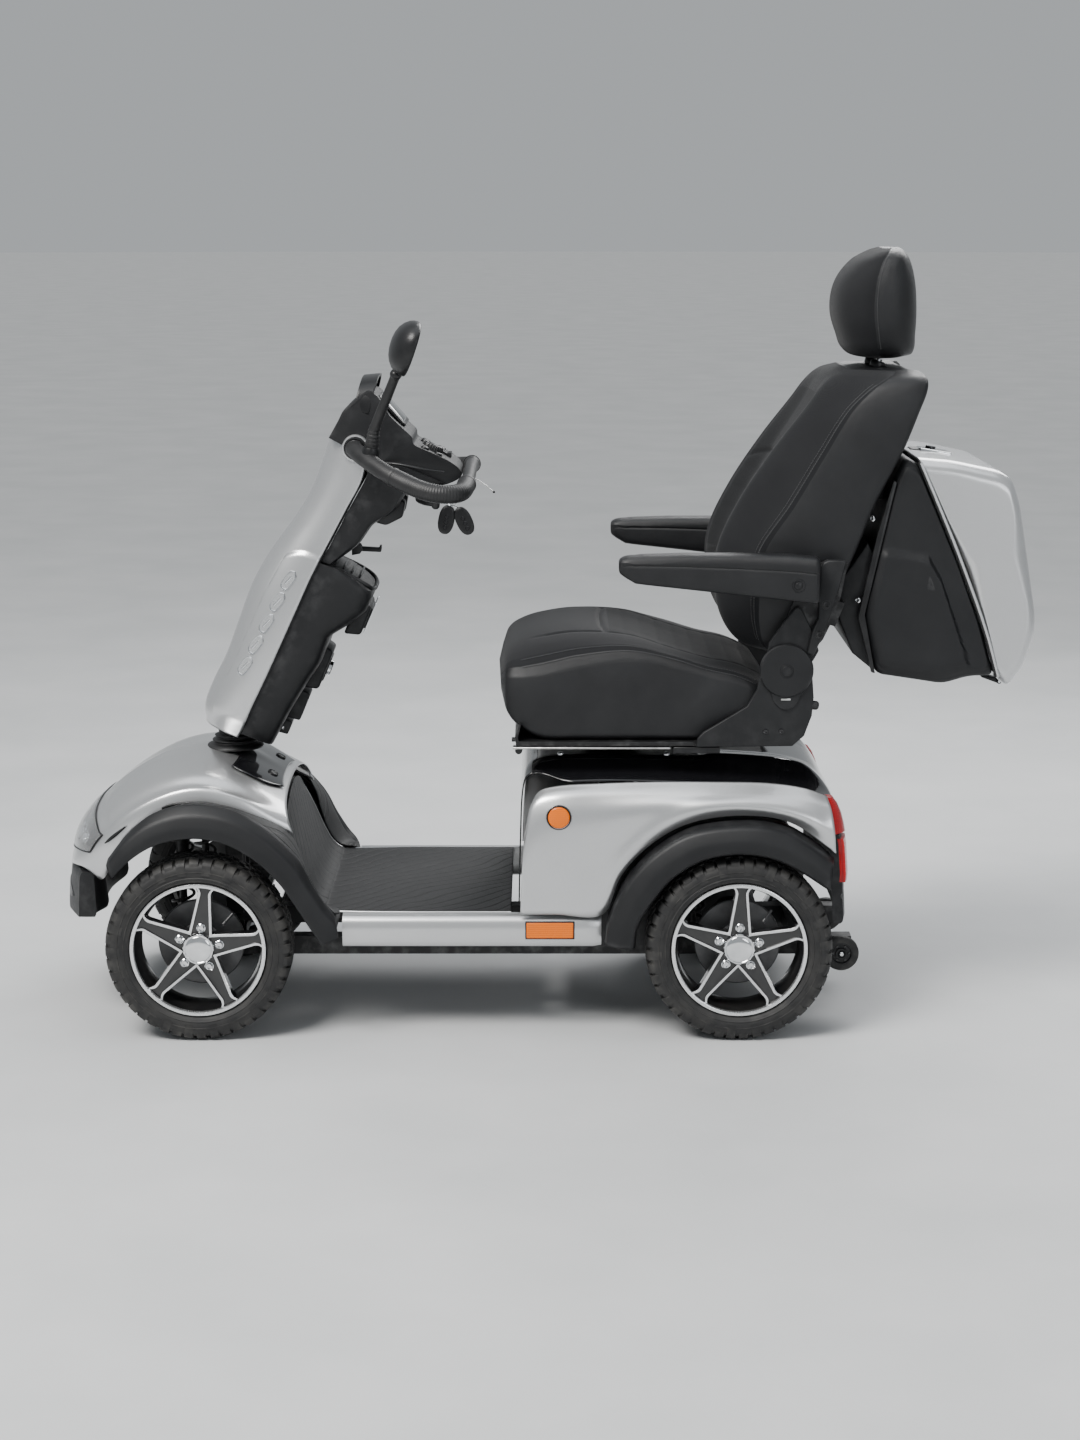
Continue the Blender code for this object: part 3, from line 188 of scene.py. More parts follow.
def make_materials():
    m = Mat("paint_silver")
    fl = m.noise(2600.0, 1.0)
    col = m.mix(m.ramp(fl, [(0.35, 0.0), (0.65, 1.0)]), (0.50, 0.505, 0.51), (0.68, 0.685, 0.69))
    col = m.mix(m.ramp(m.noise(7.0, 3.0), [(0.4, 0.0), (0.7, 0.18)]), col, (0.46, 0.465, 0.475))
    m.set(Base_Color=col, Metallic=0.82, Coat_Weight=0.85, Coat_Roughness=0.06)
    m.set(Roughness=m.math("ADD", m.math("MULTIPLY", m.noise(900.0, 2.0), 0.08), 0.27))
    m.bump(m.noise(1500.0, 2.0), 0.00004)
    MATS["silver"] = m.m

    m = Mat("plastic_grained")
    g = m.noise(1350.0, 3.0, 0.6)
    base = m.mix(m.ramp(m.noise(9.0, 4.0), [(0.35, 0.0), (0.75, 1.0)]), (0.0065, 0.0068, 0.0078), (0.0110, 0.0115, 0.0125))
    m.set(Base_Color=edge_wear(m, base, (0.06, 0.06, 0.062), 0.4), Roughness=m.math("ADD", m.math("MULTIPLY", m.noise(60.0, 4.0), 0.16), 0.40))
    m.set(Specular_IOR_Level=0.32)
    m.bump(g, 0.00022, 0.8)
    MATS["grain"] = m.m

    m = Mat("plastic_smooth")
    base = m.mix(m.ramp(m.noise(12.0, 4.0), [(0.35, 0.0), (0.75, 1.0)]), (0.0060, 0.0062, 0.0070), (0.0100, 0.0105, 0.0112))
    m.set(Base_Color=edge_wear(m, base, (0.05, 0.05, 0.052), 0.3), Roughness=m.math("ADD", m.math("MULTIPLY", m.noise(45.0, 4.0), 0.12), 0.30), Specular_IOR_Level=0.35)
    m.bump(m.noise(700.0, 3.0), 0.00005)
    MATS["smooth"] = m.m

    m = Mat("gloss_black")
    sm = m.ramp(m.noise(11.0, 6.0), [(0.42, 0.06), (0.75, 0.15)])
    m.set(Base_Color=m.mix(m.ramp(m.noise(420.0, 2.0), [(0.74, 0.0), (0.80, 0.5)]), (0.006, 0.006, 0.0072), (0.07, 0.07, 0.075)),
          Roughness=sm, Coat_Weight=0.45, Coat_Roughness=0.05, Specular_IOR_Level=0.34)
    m.bump(m.noise(16.0, 2.0), 0.0002, 0.25)
    MATS["gloss"] = m.m

    m = Mat("tyre_rubber")
    base = m.mix(m.ramp(m.noise(24.0, 6.0), [(0.40, 0.0), (0.72, 1.0)]), (0.0060, 0.0060, 0.0066), (0.018, 0.0175, 0.0165))
    m.set(Base_Color=edge_wear(m, base, (0.075, 0.072, 0.066), 0.5), Roughness=m.math("ADD", m.math("MULTIPLY", m.noise(80.0, 4.0), 0.22), 0.52))
    m.bump(m.noise(1100.0, 3.0), 0.00012)
    MATS["tyre"] = m.m

    m = Mat("rubber_bar")
    base = m.mix(m.ramp(m.noise(30.0, 4.0), [(0.35, 0.0), (0.75, 1.0)]), (0.0060, 0.0060, 0.0066), (0.012, 0.012, 0.0126))
    m.set(Base_Color=base, Roughness=m.math("ADD", m.math("MULTIPLY", m.noise(50.0, 4.0), 0.15), 0.42))
    m.bump(m.noise(1600.0, 2.0), 0.00010)
    MATS["bar"] = m.m

    m = Mat("mat_grooved")
    wv = m.n("ShaderNodeTexWave", wave_type="BANDS", bands_direction="DIAGONAL")
    m.link(m.obj, wv.inputs["Vector"])
    wv.inputs["Scale"].default_value = 16.0
    wv.inputs["Distortion"].default_value = 9.0
    wv.inputs["Detail"].default_value = 1.0
    wv.inputs["Detail Scale"].default_value = 0.32
    # groove lines darker in colour: painted shade in the grooves; the same mask also drives the groove bump
    line = m.ramp(wv.outputs["Fac"], [(0.0, 0.0), (0.10, 0.15), (0.20, 1.0)])
    base = m.mix(line, (0.0030, 0.0030, 0.0034), (0.0095, 0.0098, 0.0105))
    m.set(Base_Color=base, Roughness=m.math("ADD", m.math("MULTIPLY", m.noise(60.0, 4.0), 0.14), 0.52))
    m.bump(line, 0.0016, 0.9)
    m.bump(m.noise(1500.0, 2.0), 0.00018)
    MATS["matgroove"] = m.m

    m = Mat("seat_fabric")
    sc = 1500.0
    sep = m.n("ShaderNodeSeparateXYZ", Vector=m.obj)
    s1 = m.math("SINE", m.math("MULTIPLY", m.math("ADD", sep.outputs[0], m.math("MULTIPLY", sep.outputs[2], 0.7)), sc * 2))
    s2 = m.math("SINE", m.math("MULTIPLY", m.math("ADD", sep.outputs[1], m.math("MULTIPLY", sep.outputs[2], -0.8)), sc * 2))
    wv = m.math("ADD", m.math("MULTIPLY", m.math("MULTIPLY", s1, s2), 0.5), 0.5)
    base = m.mix(wv, (0.0036, 0.0038, 0.0046), (0.0115, 0.012, 0.0138))
    base = m.mix(m.ramp(m.noise(14.0, 5.0), [(0.38, 0.0), (0.75, 0.55)]), base, (0.0115, 0.012, 0.0132))
    m.set(Base_Color=base, Roughness=0.84, Sheen_Weight=0.07, Sheen_Roughness=0.45, Specular_IOR_Level=0.24)
    m.bump(wv, 0.00025, 0.8)
    m.bump(m.noise(55.0, 5.0), 0.0006, 0.5)
    MATS["fabric"] = m.m

    m = Mat("seat_mesh")
    vo = m.n("ShaderNodeTexVoronoi", feature="F1")
    m.link(m.obj, vo.inputs["Vector"])
    vo.inputs["Scale"].default_value = 330.0
    d = m.ramp(vo.outputs["Distance"], [(0.10, 0.0), (0.42, 1.0)])
    base = m.mix(d, (0.0018, 0.0018, 0.0022), (0.0080, 0.0084, 0.0094))
    m.set(Base_Color=base, Roughness=0.88, Sheen_Weight=0.05, Sheen_Roughness=0.5, Specular_IOR_Level=0.2)
    m.bump(d, 0.0005, 0.9)
    m.bump(m.noise(40.0, 5.0), 0.0006, 0.5)
    MATS["mesh"] = m.m

    m = Mat("seat_vinyl")
    vo = m.n("ShaderNodeTexVoronoi", feature="DISTANCE_TO_EDGE")
    m.link(m.obj, vo.inputs["Vector"])
    vo.inputs["Scale"].default_value = 620.0
    d = m.ramp(vo.outputs["Distance"], [(0.0, 0.0), (0.12, 1.0)])
    base = m.mix(m.ramp(m.noise(18.0, 5.0), [(0.35, 0.0), (0.75, 1.0)]), (0.0050, 0.0052, 0.0062), (0.0095, 0.0100, 0.0112))
    m.set(Base_Color=base, Roughness=m.math("ADD", m.math("MULTIPLY", m.noise(35.0, 5.0), 0.14), 0.34), Specular_IOR_Level=0.40)
    m.bump(d, 0.00016, 0.7)
    m.bump(m.noise(26.0, 5.0), 0.0012, 0.45)
    MATS["vinyl"] = m.m

    m = Mat("thread")
    m.set(Base_Color=m.mix(m.noise(900.0, 2.0), (0.016, 0.0165, 0.018), (0.048, 0.049, 0.052)), Roughness=0.7, Sheen_Weight=0.4)
    m.bump(m.noise(3000.0, 2.0), 0.0001)
    MATS["thread"] = m.m

    m = Mat("powder_steel")
    base = m.mix(m.ramp(m.noise(20.0, 5.0), [(0.4, 0.0), (0.75, 1.0)]), (0.0055, 0.0055, 0.0062), (0.011, 0.011, 0.0116))
    m.set(Base_Color=edge_wear(m, base, (0.20, 0.20, 0.20), 0.35), Metallic=0.25, Roughness=m.math("ADD", m.math("MULTIPLY", m.noise(70.0, 4.0), 0.15), 0.38))
    m.bump(m.noise(800.0, 3.0), 0.00012)
    MATS["steel"] = m.m

    m = Mat("zinc")
    base = m.mix(m.ramp(m.noise(60.0, 5.0), [(0.35, 0.0), (0.7, 1.0)]), (0.42, 0.42, 0.41), (0.66, 0.66, 0.65))
    m.set(Base_Color=base, Metallic=1.0, Roughness=m.math("ADD", m.math("MULTIPLY", m.noise(140.0, 4.0), 0.2), 0.22))
    m.bump(m.noise(400.0, 3.0), 0.00008)
    MATS["zinc"] = m.m

    m = Mat("chrome")
    m.set(Base_Color=m.mix(m.ramp(m.noise(30.0, 4.0), [(0.4, 0.0), (0.7, 1.0)]), (0.70, 0.71, 0.72), (0.82, 0.83, 0.84)),
          Metallic=1.0, Roughness=m.ramp(m.noise(22.0, 5.0), [(0.4, 0.05), (0.75, 0.16)]))
    m.bump(m.noise(24.0, 2.0), 0.00012, 0.3)
    MATS["chrome"] = m.m

    m = Mat("machined_alloy")
    rg = m.noise(1.0, 2.0, 0.5, m.scaled((60.0, 900.0, 900.0)))
    m.set(Base_Color=m.mix(rg, (0.72, 0.725, 0.73), (0.86, 0.865, 0.87)), Metallic=0.92,
          Roughness=m.math("ADD", m.math("MULTIPLY", rg, 0.16), 0.20))
    m.bump(rg, 0.00005)
    MATS["machined"] = m.m

    m = Mat("alloy_black")
    base = m.mix(m.ramp(m.noise(26.0, 5.0), [(0.4, 0.0), (0.72, 1.0)]), (0.0045, 0.0045, 0.0052), (0.012, 0.0115, 0.011))
    m.set(Base_Color=base, Metallic=0.1, Coat_Weight=0.7, Coat_Roughness=0.09, Roughness=m.math("ADD", m.math("MULTIPLY", m.noise(60.0, 4.0), 0.15), 0.25))
    m.bump(m.noise(500.0, 2.0), 0.00005)
    MATS["alloyblack"] = m.m

    m = Mat("cast_grey")
    m.set(Base_Color=m.mix(m.noise(40.0, 5.0), (0.06, 0.06, 0.062), (0.17, 0.17, 0.172)), Metallic=0.7,
          Roughness=m.math("ADD", m.math("MULTIPLY", m.noise(70.0, 4.0), 0.2), 0.4))
    m.bump(m.noise(600.0, 4.0), 0.0003)
    MATS["cast"] = m.m

    def prism_mat(name, dark, bright, rough, glow):
        p = Mat(name)
        v = p.n("ShaderNodeTexVoronoi", feature="DISTANCE_TO_EDGE")
        v.inputs["Scale"].default_value = 260.0
        v.inputs["Randomness"].default_value = 0.0
        p.link(p.obj, v.inputs["Vector"])
        # colour darkens towards each prism cell's edge: painted shade in the grooves between the prisms
        cell = p.ramp(v.outputs["Distance"], [(0.0, 0.0), (0.45, 1.0)])
        p.set(Base_Color=p.mix(cell, dark, bright), Roughness=rough, Coat_Weight=0.25, Coat_Roughness=0.10, Specular_IOR_Level=0.25)
        # emission adds a faint glow of its own: on the amber reflectors, which hold no lamp, this is a painted glow
        p.b.inputs["Emission Color"].default_value = (*bright, 1)
        p.b.inputs["Emission Strength"].default_value = glow
        p.bump(cell, 0.0005, 0.6)
        return p.m

    # amber reflectors: faint painted glow and painted shade in the prism grooves
    MATS["amber"] = prism_mat("amber_reflector", (0.62, 0.110, 0.0), (0.90, 0.205, 0.0), 0.30, 0.04)
    MATS["red"] = prism_mat("red_lens", (0.16, 0.001, 0.003), (0.62, 0.006, 0.010), 0.18, 0.10)

    m = Mat("clear_lens")
    m.set(Base_Color=m.mix(m.noise(30.0, 3.0), (0.93, 0.95, 0.96), (0.98, 0.98, 0.985)), Roughness=0.035, Transmission_Weight=0.94, IOR=1.42)
    m.bump(m.noise(14.0, 2.0), 0.0004, 0.3)
    MATS["clear"] = m.m

    m = Mat("screen")
    m.set(Base_Color=m.mix(m.noise(60.0, 3.0), (0.010, 0.012, 0.013), (0.030, 0.036, 0.034)), Roughness=m.ramp(m.noise(9.0, 5.0), [(0.4, 0.05), (0.75, 0.14)]), Coat_Weight=1.0)
    m.bump(m.noise(15.0, 2.0), 0.0001, 0.2)
    MATS["screen"] = m.m

    m = Mat("mirror_glass")
    m.set(Base_Color=m.mix(m.noise(8.0, 3.0), (0.80, 0.82, 0.84), (0.86, 0.88, 0.90)), Metallic=1.0, Roughness=0.02)
    MATS["mirror"] = m.m


make_materials()


# ------------------------------------------------------------------ mesh tools
def put(name, verts, faces, mat, body, slot, smooth=True, angle=35.0, mats=None, idx=None):
    me = bpy.data.meshes.new(name)
    me.from_pydata([tuple(v) for v in verts], [], faces)
    me.update()
    bm = bmesh.new()
    bm.from_mesh(me)
    bmesh.ops.recalc_face_normals(bm, faces=bm.faces)
    bm.to_mesh(me)
    bm.free()
    ob = bpy.data.objects.new(name, me)
    bpy.context.scene.collection.objects.link(ob)
    for k in (mats or [mat]):
        me.materials.append(MATS[k])
    if idx:
        for p, i in zip(me.polygons, idx):
            p.material_index = i
    if smooth:
        for p in me.polygons:
            p.use_smooth = True
        me.set_sharp_from_angle(angle=math.radians(angle))
    if body:
        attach(ob, body)
    if slot:
        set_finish(ob, slot)
    return ob


def bake(ob):
    dg = bpy.context.evaluated_depsgraph_get()
    dg.update()
    me = bpy.data.meshes.new_from_object(ob.evaluated_get(dg), preserve_all_data_layers=True, depsgraph=dg)
    old = ob.data
    ob.modifiers.clear()
    ob.data = me
    bpy.data.meshes.remove(old)
    return ob


def add_bevel(ob, w, seg=3, angle=30, keep=True):
    b = ob.modifiers.new("edge", "BEVEL")
    b.width = w
    b.segments = seg
    b.limit_method = "ANGLE"
    b.angle_limit = math.radians(angle)
    b.harden_normals = False
    return ob


def prism(name, pts, x0, x1, mat, body, slot, bevel=0.0, seg=3, smooth=True, angle=35.0):
    n = len(pts)
    v = [(x0, y, z) for y, z in pts] + [(x1, y, z) for y, z in pts]
    f = [list(range(n))[::-1], list(range(n, 2 * n))]
    f += [[i, (i + 1) % n, n + (i + 1) % n, n + i] for i in range(n)]
    ob = put(name, v, f, mat, body, slot, smooth, angle)
    if bevel:
        add_bevel(ob, bevel, seg)
    return ob


def loft(name, rings, mat, body, slot, caps=True, closed_run=False, angle=40.0, mats=None, pick=None):
    n, m = len(rings[0]), len(rings)
    v = [p for r in rings for p in r]
    f, idx = [], []
    for j in range(m if closed_run else m - 1):
        k = (j + 1) % m
        for i in range(n):
            f.append([j * n + i, j * n + (i + 1) % n, k * n + (i + 1) % n, k * n + i])
            idx.append(pick(j, i) if pick else 0)
    if caps and not closed_run:
        f.append(list(range(n))[::-1])
        f.append([(m - 1) * n + i for i in range(n)])
        idx += [idx[0], idx[-1]]
    return put(name, v, f, mat, body, slot, True, angle, mats, idx if mats else None)


def frame_for(axis):
    a = Vector(axis).normalized()
    u = a.cross(Vector((0, 0, 1)))
    if u.length < 1e-6:
        u = Vector((1, 0, 0))
    u.normalize()
    return a, u, a.cross(u)


def lathe(name, prof, centre, axis, mat, body, slot, seg=64, ring=False, angle=30.0, bump=None):
    a, u, w = frame_for(axis)
    c = Vector(centre)
    v, f, rows = [], [], []
    for q, (r, t) in enumerate(prof):
        if r < 1e-9:
            rows.append([len(v)])
            v.append(c + a * t)
        else:
            rows.append(list(range(len(v), len(v) + seg)))
            for i in range(seg):
                th = 2 * math.pi * i / seg
                rr = r + (bump(q, th, r, t) if bump else 0.0)
                v.append(c + a * t + u * (rr * math.cos(th)) + w * (rr * math.sin(th)))
    m = len(rows)
    for j in range(m if ring else m - 1):
        p, q = rows[j], rows[(j + 1) % m]
        for i in range(seg):
            k = (i + 1) % seg
            if len(p) == 1 and len(q) == 1:
                continue
            if len(p) == 1:
                f.append([p[0], q[i], q[k]])
            elif len(q) == 1:
                f.append([p[i], p[k], q[0]])
            else:
                f.append([p[i], p[k], q[k], q[i]])
    return put(name, v, f, mat, body, slot, True, angle)


def cr(a, b, c, d, t):
    return 0.5 * ((2 * b) + (c - a) * t + (2 * a - 5 * b + 4 * c - d) * t * t + (3 * b - a - 3 * c + d) * t ** 3)


def path(pts, steps):
    P = [Vector(p) for p in pts]
    P = [P[0] * 2 - P[1]] + P + [P[-1] * 2 - P[-2]]
    out = []
    for i in range(1, len(P) - 2):
        for k in range(steps):
            out.append(cr(P[i - 1], P[i], P[i + 1], P[i + 2], k / steps))
    out.append(P[-2].copy())
    return out


def lin(table, t):
    if t <= table[0][0]:
        return list(table[0][1:])
    for a, b in zip(table, table[1:]):
        if t <= b[0]:
            k = (t - a[0]) / (b[0] - a[0])
            return [p + (q - p) * k for p, q in zip(a[1:], b[1:])]
    return list(table[-1][1:])


def cub(table, t):
    """Monotone-ish cubic through the table (t, values...)."""
    n = len(table)
    if t <= table[0][0]:
        return list(table[0][1:])
    if t >= table[-1][0]:
        return list(table[-1][1:])
    for i in range(n - 1):
        if t <= table[i + 1][0]:
            break
    h = table[i + 1][0] - table[i][0]
    k = (t - table[i][0]) / h
    out = []
    for c in range(1, len(table[0])):
        p0, p1 = table[i][c], table[i + 1][c]
        m0 = (p1 - table[i - 1][c]) / (table[i + 1][0] - table[i - 1][0]) if i > 0 else (p1 - p0) / h
        m1 = (table[i + 2][c] - p0) / (table[i + 2][0] - table[i][0]) if i + 2 < n else (p1 - p0) / h
        h00, h10 = 2 * k ** 3 - 3 * k * k + 1, k ** 3 - 2 * k * k + k
        h01, h11 = -2 * k ** 3 + 3 * k * k, k ** 3 - k * k
        out.append(h00 * p0 + h10 * h * m0 + h01 * p1 + h11 * h * m1)
    return out


def spread(a, b, n):
    return [a + (b - a) * i / n for i in range(n + 1)]


def sstep(a, b, x):
    t = max(0.0, min(1.0, (x - a) / (b - a)))
    return t * t * (3 - 2 * t)


def sweep(name, pts, radii, mat, body, slot, seg=20, flat=1.0, angle=40.0, caps=True):
    n = len(pts)
    if not isinstance(radii, (list, tuple)):
        radii = [radii] * n
    rings = []
    t0 = (pts[1] - pts[0]).normalized()
    u = t0.cross(Vector((0, 0, 1)))
    if u.length < 1e-4:
        u = Vector((1, 0, 0))
    u.normalize()
    for i in range(n):
        t = (pts[min(i + 1, n - 1)] - pts[max(i - 1, 0)]).normalized()
        u = (u - t * u.dot(t)).normalized()
        w = t.cross(u)
        rings.append([pts[i] + u * (radii[i] * math.cos(2 * math.pi * k / seg))
                      + w * (radii[i] * flat * math.sin(2 * math.pi * k / seg)) for k in range(seg)])
    return loft(name, rings, mat, body, slot, caps=caps, angle=angle)


def skin(name, grid, t, mat, body, slot, flip=False, angle=40.0, mats=None, pick=None, offset=-1.0, rim=0.0):
    rows, cols = len(grid), len(grid[0])
    v = [tuple(p) for r in grid for p in r]
    f, idx = [], []
    for j in range(rows - 1):
        for i in range(cols - 1):
            q = [j * cols + i, j * cols + i + 1, (j + 1) * cols + i + 1, (j + 1) * cols + i]
            f.append(q[::-1] if flip else q)
            idx.append(pick(j, i) if pick else 0)
    me = bpy.data.meshes.new(name)
    me.from_pydata(v, [], f)
    me.update()
    ob = bpy.data.objects.new(name, me)
    bpy.context.scene.collection.objects.link(ob)
    for k in (mats or [mat]):
        me.materials.append(MATS[k])
    if pick:
        for p, i in zip(me.polygons, idx):
            p.material_index = i
    for p in me.polygons:
        p.use_smooth = True
    me.set_sharp_from_angle(angle=math.radians(angle))
    s = ob.modifiers.new("wall", "SOLIDIFY")
    s.thickness = t
    s.offset = offset
    s.use_even_offset = False
    s.use_rim = True
    if rim:
        add_bevel(ob, rim, 2, 50)
    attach(ob, body)
    if slot:
        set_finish(ob, slot)
    return ob


def twin(ob, name, body=None):
    """Mirror image on the other side."""
    me = ob.data.copy()
    me.name = name
    for v in me.vertices:
        v.co.x = -v.co.x
    bm = bmesh.new()
    bm.from_mesh(me)
    bmesh.ops.reverse_faces(bm, faces=bm.faces)
    bm.to_mesh(me)
    bm.free()
    o = bpy.data.objects.new(name, me)
    bpy.context.scene.collection.objects.link(o)
    for m in ob.modifiers:
        k = o.modifiers.new(m.name, m.type)
        for a in ("thickness", "offset", "use_even_offset", "use_rim", "width", "segments", "limit_method", "angle_limit",
                  "levels", "render_levels"):
            if hasattr(m, a):
                try:
                    setattr(k, a, getattr(m, a))
                except (AttributeError, TypeError):
                    pass
    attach(o, body or ob["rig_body"])
    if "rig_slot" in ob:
        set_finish(o, ob["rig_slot"])
    return o


def merge(name, obs, body, slot, angle=35.0):
    """Join several meshes (modifiers applied) into one piece."""
    dg = bpy.context.evaluated_depsgraph_get()
    dg.update()
    verts, faces, idx, mats, smooth = [], [], [], [], []
    for o in obs:
        me = o.evaluated_get(dg).to_mesh()
        base = len(verts)
        mw = o.matrix_world
        verts += [tuple(mw @ v.co) for v in me.vertices]
        remap = []
        for s in o.data.materials:
            if s.name not in mats:
                mats.append(s.name)
            remap.append(mats.index(s.name))
        for p in me.polygons:
            faces.append([base + i for i in p.vertices])
            idx.append(remap[min(p.material_index, len(remap) - 1)])
        o.evaluated_get(dg).to_mesh_clear()
    for o in obs:
        d = o.data
        bpy.data.objects.remove(o, do_unlink=True)
        bpy.data.meshes.remove(d)
    me = bpy.data.meshes.new(name)
    me.from_pydata(verts, [], faces)
    me.update()
    ob = bpy.data.objects.new(name, me)
    bpy.context.scene.collection.objects.link(ob)
    for m in mats:
        me.materials.append(bpy.data.materials[m])
    for p, i in zip(me.polygons, idx):
        p.material_index = i
        p.use_smooth = True
    me.set_sharp_from_angle(angle=math.radians(angle))
    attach(ob, body)
    if slot:
        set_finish(ob, slot)
    return ob


def sq(x, s, q):
    return Vector((x, TIL_Y + s * math.sin(LEAN) + q * math.cos(LEAN),
                   TIL_Z + s * math.cos(LEAN) - q * math.sin(LEAN)))


def yz(s, q):
    p = sq(0, s, q)
    return (p.y, p.z)


def rnd(k):
    """Repeatable value from 0 to 1."""
    return (math.sin(k * 12.9898 + 4.1) * 43758.5453) % 1.0


def screw(name, c, axis, r, h, body, mat="chrome", slot="zinc_steel", hexed=False):
    """Domed head with a drive recess."""
    prof = [(0, h * 0.55), (r * 0.38, h * 0.55), (r * 0.42, h * 0.98), (r * 0.62, h), (r * 0.88, h * 0.72), (r, h * 0.35), (r, -h * 0.2), (0, -h * 0.2)]
    return lathe(name, prof, c, axis, mat, body, slot, seg=6 if hexed else 20)


def fillet(pts, r, n=4):
    """Round the inner corners of an open polyline with short curves."""
    P = [Vector(p) for p in pts]
    out = [P[0]]
    for a, b, c in zip(P, P[1:], P[2:]):
        rr = min(r, (b - a).length * 0.48, (c - b).length * 0.48)
        p = b + (a - b).normalized() * rr
        q = b + (c - b).normalized() * rr
        for k in range(n + 1):
            t = k / n
            out.append(p * (1 - t) ** 2 + b * (2 * t * (1 - t)) + q * t * t)
    out.append(P[-1])
    return out


def resample(pts, steps):
    """Smooth curve through points, steps pieces between each pair."""
    return path(pts, steps)


# ================================================================== wheels
R_TOP = 0.1797
CARC = [(0.1310, -0.0335), (0.1330, -0.0405), (0.1390, -0.0452), (0.1480, -0.0478), (0.1580, -0.0484), (0.1650, -0.0470),
        (0.1705, -0.0425), (0.1735, -0.0350), (0.1745, -0.0200), (0.1748, 0.0)]


def tyre_top(t):
    """Outer height of the tread blocks against distance from the middle."""
    tab = [(0.0, 0.1797), (0.020, 0.1796), (0.032, 0.1788), (0.040, 0.1765), (0.0455, 0.1715), (0.0488, 0.1640), (0.0495, 0.1560)]
    return cub(tab, abs(t))[0]


def tyre_base(t):
    tab = [(0.0, 0.1746), (0.020, 0.1744), (0.034, 0.1733), (0.0415, 0.1700), (0.0462, 0.1648), (0.0480, 0.1570), (0.0484, 0.150)]
    return cub(tab, abs(t))[0]


def tyre_mesh(name, body, node, y, phase):
    prof = CARC + [(r, -t) for r, t in CARC[-2::-1]] + [(0.1318, 0.025), (0.1335, 0.0), (0.1318, -0.025)]
    fine = []
    for i, (r, t) in enumerate(prof):
        fine.append((r, t))
    c = Vector((WHEEL_X, y, AXLE_Z))
    # two thin rings stand on each sidewall
    def sidewall(q, th, r, t):
        return 0.0
    base = lathe(name + "_c", fine, c, (1, 0, 0), "tyre", None, None, seg=128, ring=True, angle=45)
    verts, faces = [], []

    def P(r, t, s):
        th = s / 0.18
        return (c.x + t, c.y + r * math.cos(th), c.z + r * math.sin(th))

    def block(rows, inset=0.0011):
        """rows: list of (t, s0, s1) from inner to outer edge; raised slab with chamfered sides."""
        n = len(rows)
        lo, hi = [], []
        for k, (t, s0, s1) in enumerate(rows):
            dt = inset if k == 0 else (-inset if k == n - 1 else 0.0)
            sg = 1 if rows[-1][0] > rows[0][0] else -1
            tb = t
            tt = t + dt * sg
            lo.append((len(verts), len(verts) + 1, len(verts) + 2))
            sm = (s0 + s1) / 2
            for s in (s0, sm, s1):
                verts.append(P(tyre_base(tb) - 0.0012, tb, s))
            hi.append((len(verts), len(verts) + 1, len(verts) + 2))
            for s in (s0 + inset, sm, s1 - inset):
                verts.append(P(tyre_top(tt), tt, s))
        for k in range(n - 1):
            for j in (0, 1):
                faces.append([hi[k][j], hi[k][j + 1], hi[k + 1][j + 1], hi[k + 1][j]])
            faces.append([lo[k][0], hi[k][0], hi[k + 1][0], lo[k + 1][0]])
            faces.append([lo[k][2], lo[k + 1][2], hi[k + 1][2], hi[k][2]])
        for k, flip in ((0, False), (n - 1, True)):
            for j in (0, 1):
                q = [lo[k][j], lo[k][j + 1], hi[k][j + 1], hi[k][j]]
                faces.append(q[::-1] if flip else q)

    N = 44
    per = 2 * math.pi * 0.18
    pitch = per / N
    g = 0.0016
    for i in range(N):
        s = i * pitch + phase
        for row, t0 in enumerate((-0.0148, 0.0, 0.0148)):
            off = 0.5 * pitch if row != 1 else 0.0
            o = s + off + 0.0012 * math.sin(i * 2.4 + row)
            h = pitch / 2 - g
            block([(t0 - 0.0068, o - h * 0.55, o + h * 0.55), (t0, o - h, o + h), (t0 + 0.0068, o - h * 0.55, o + h * 0.55)])
        for sg in (-1, 1):
            h = pitch / 2 - g
            long_ = i % 2 == 0
            o = s + 0.0014 * math.sin(i * 1.7)
            out_t = 0.0490 if long_ else 0.0470
            rows = [(sg * 0.0232, o - h * 0.5, o + h * 0.5), (sg * 0.0292, o - h * 0.98, o + h * 0.98)]
            for t in (0.0350, 0.0400, 0.0440, 0.0470, out_t):
                k = 0.98 - (t - 0.029) * 6.0
                if t > rows[-1][0] * sg + 1e-5:
                    rows.append((sg * t, o - h * k, o + h * k))
            block(rows)
    # fine ribs near the rim and a shoulder groove line on the sidewall
    tread = put(name + "_b", verts, faces, "tyre", None, None, True, 30)
    rings = []
    for sg in (-1, 1):
        rings.append(lathe(name + "_r%d" % (sg + 1), [(0.1405, sg * 0.0458), (0.1415, sg * 0.0469), (0.1430, sg * 0.0473), (0.1440, sg * 0.0466)],
                           c, (1, 0, 0), "tyre", None, None, seg=128, ring=False, angle=60))
        rings.append(lathe(name + "_q%d" % (sg + 1), [(0.1535, sg * 0.0480), (0.1542, sg * 0.0491), (0.1556, sg * 0.0491), (0.1562, sg * 0.0481)],
                           c, (1, 0, 0), "tyre", None, None, seg=128, ring=False, angle=60))
    ob = merge(name, [base, tread] + rings, body, "tyre_rubber", 32)
    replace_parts(ob, node)
    return ob


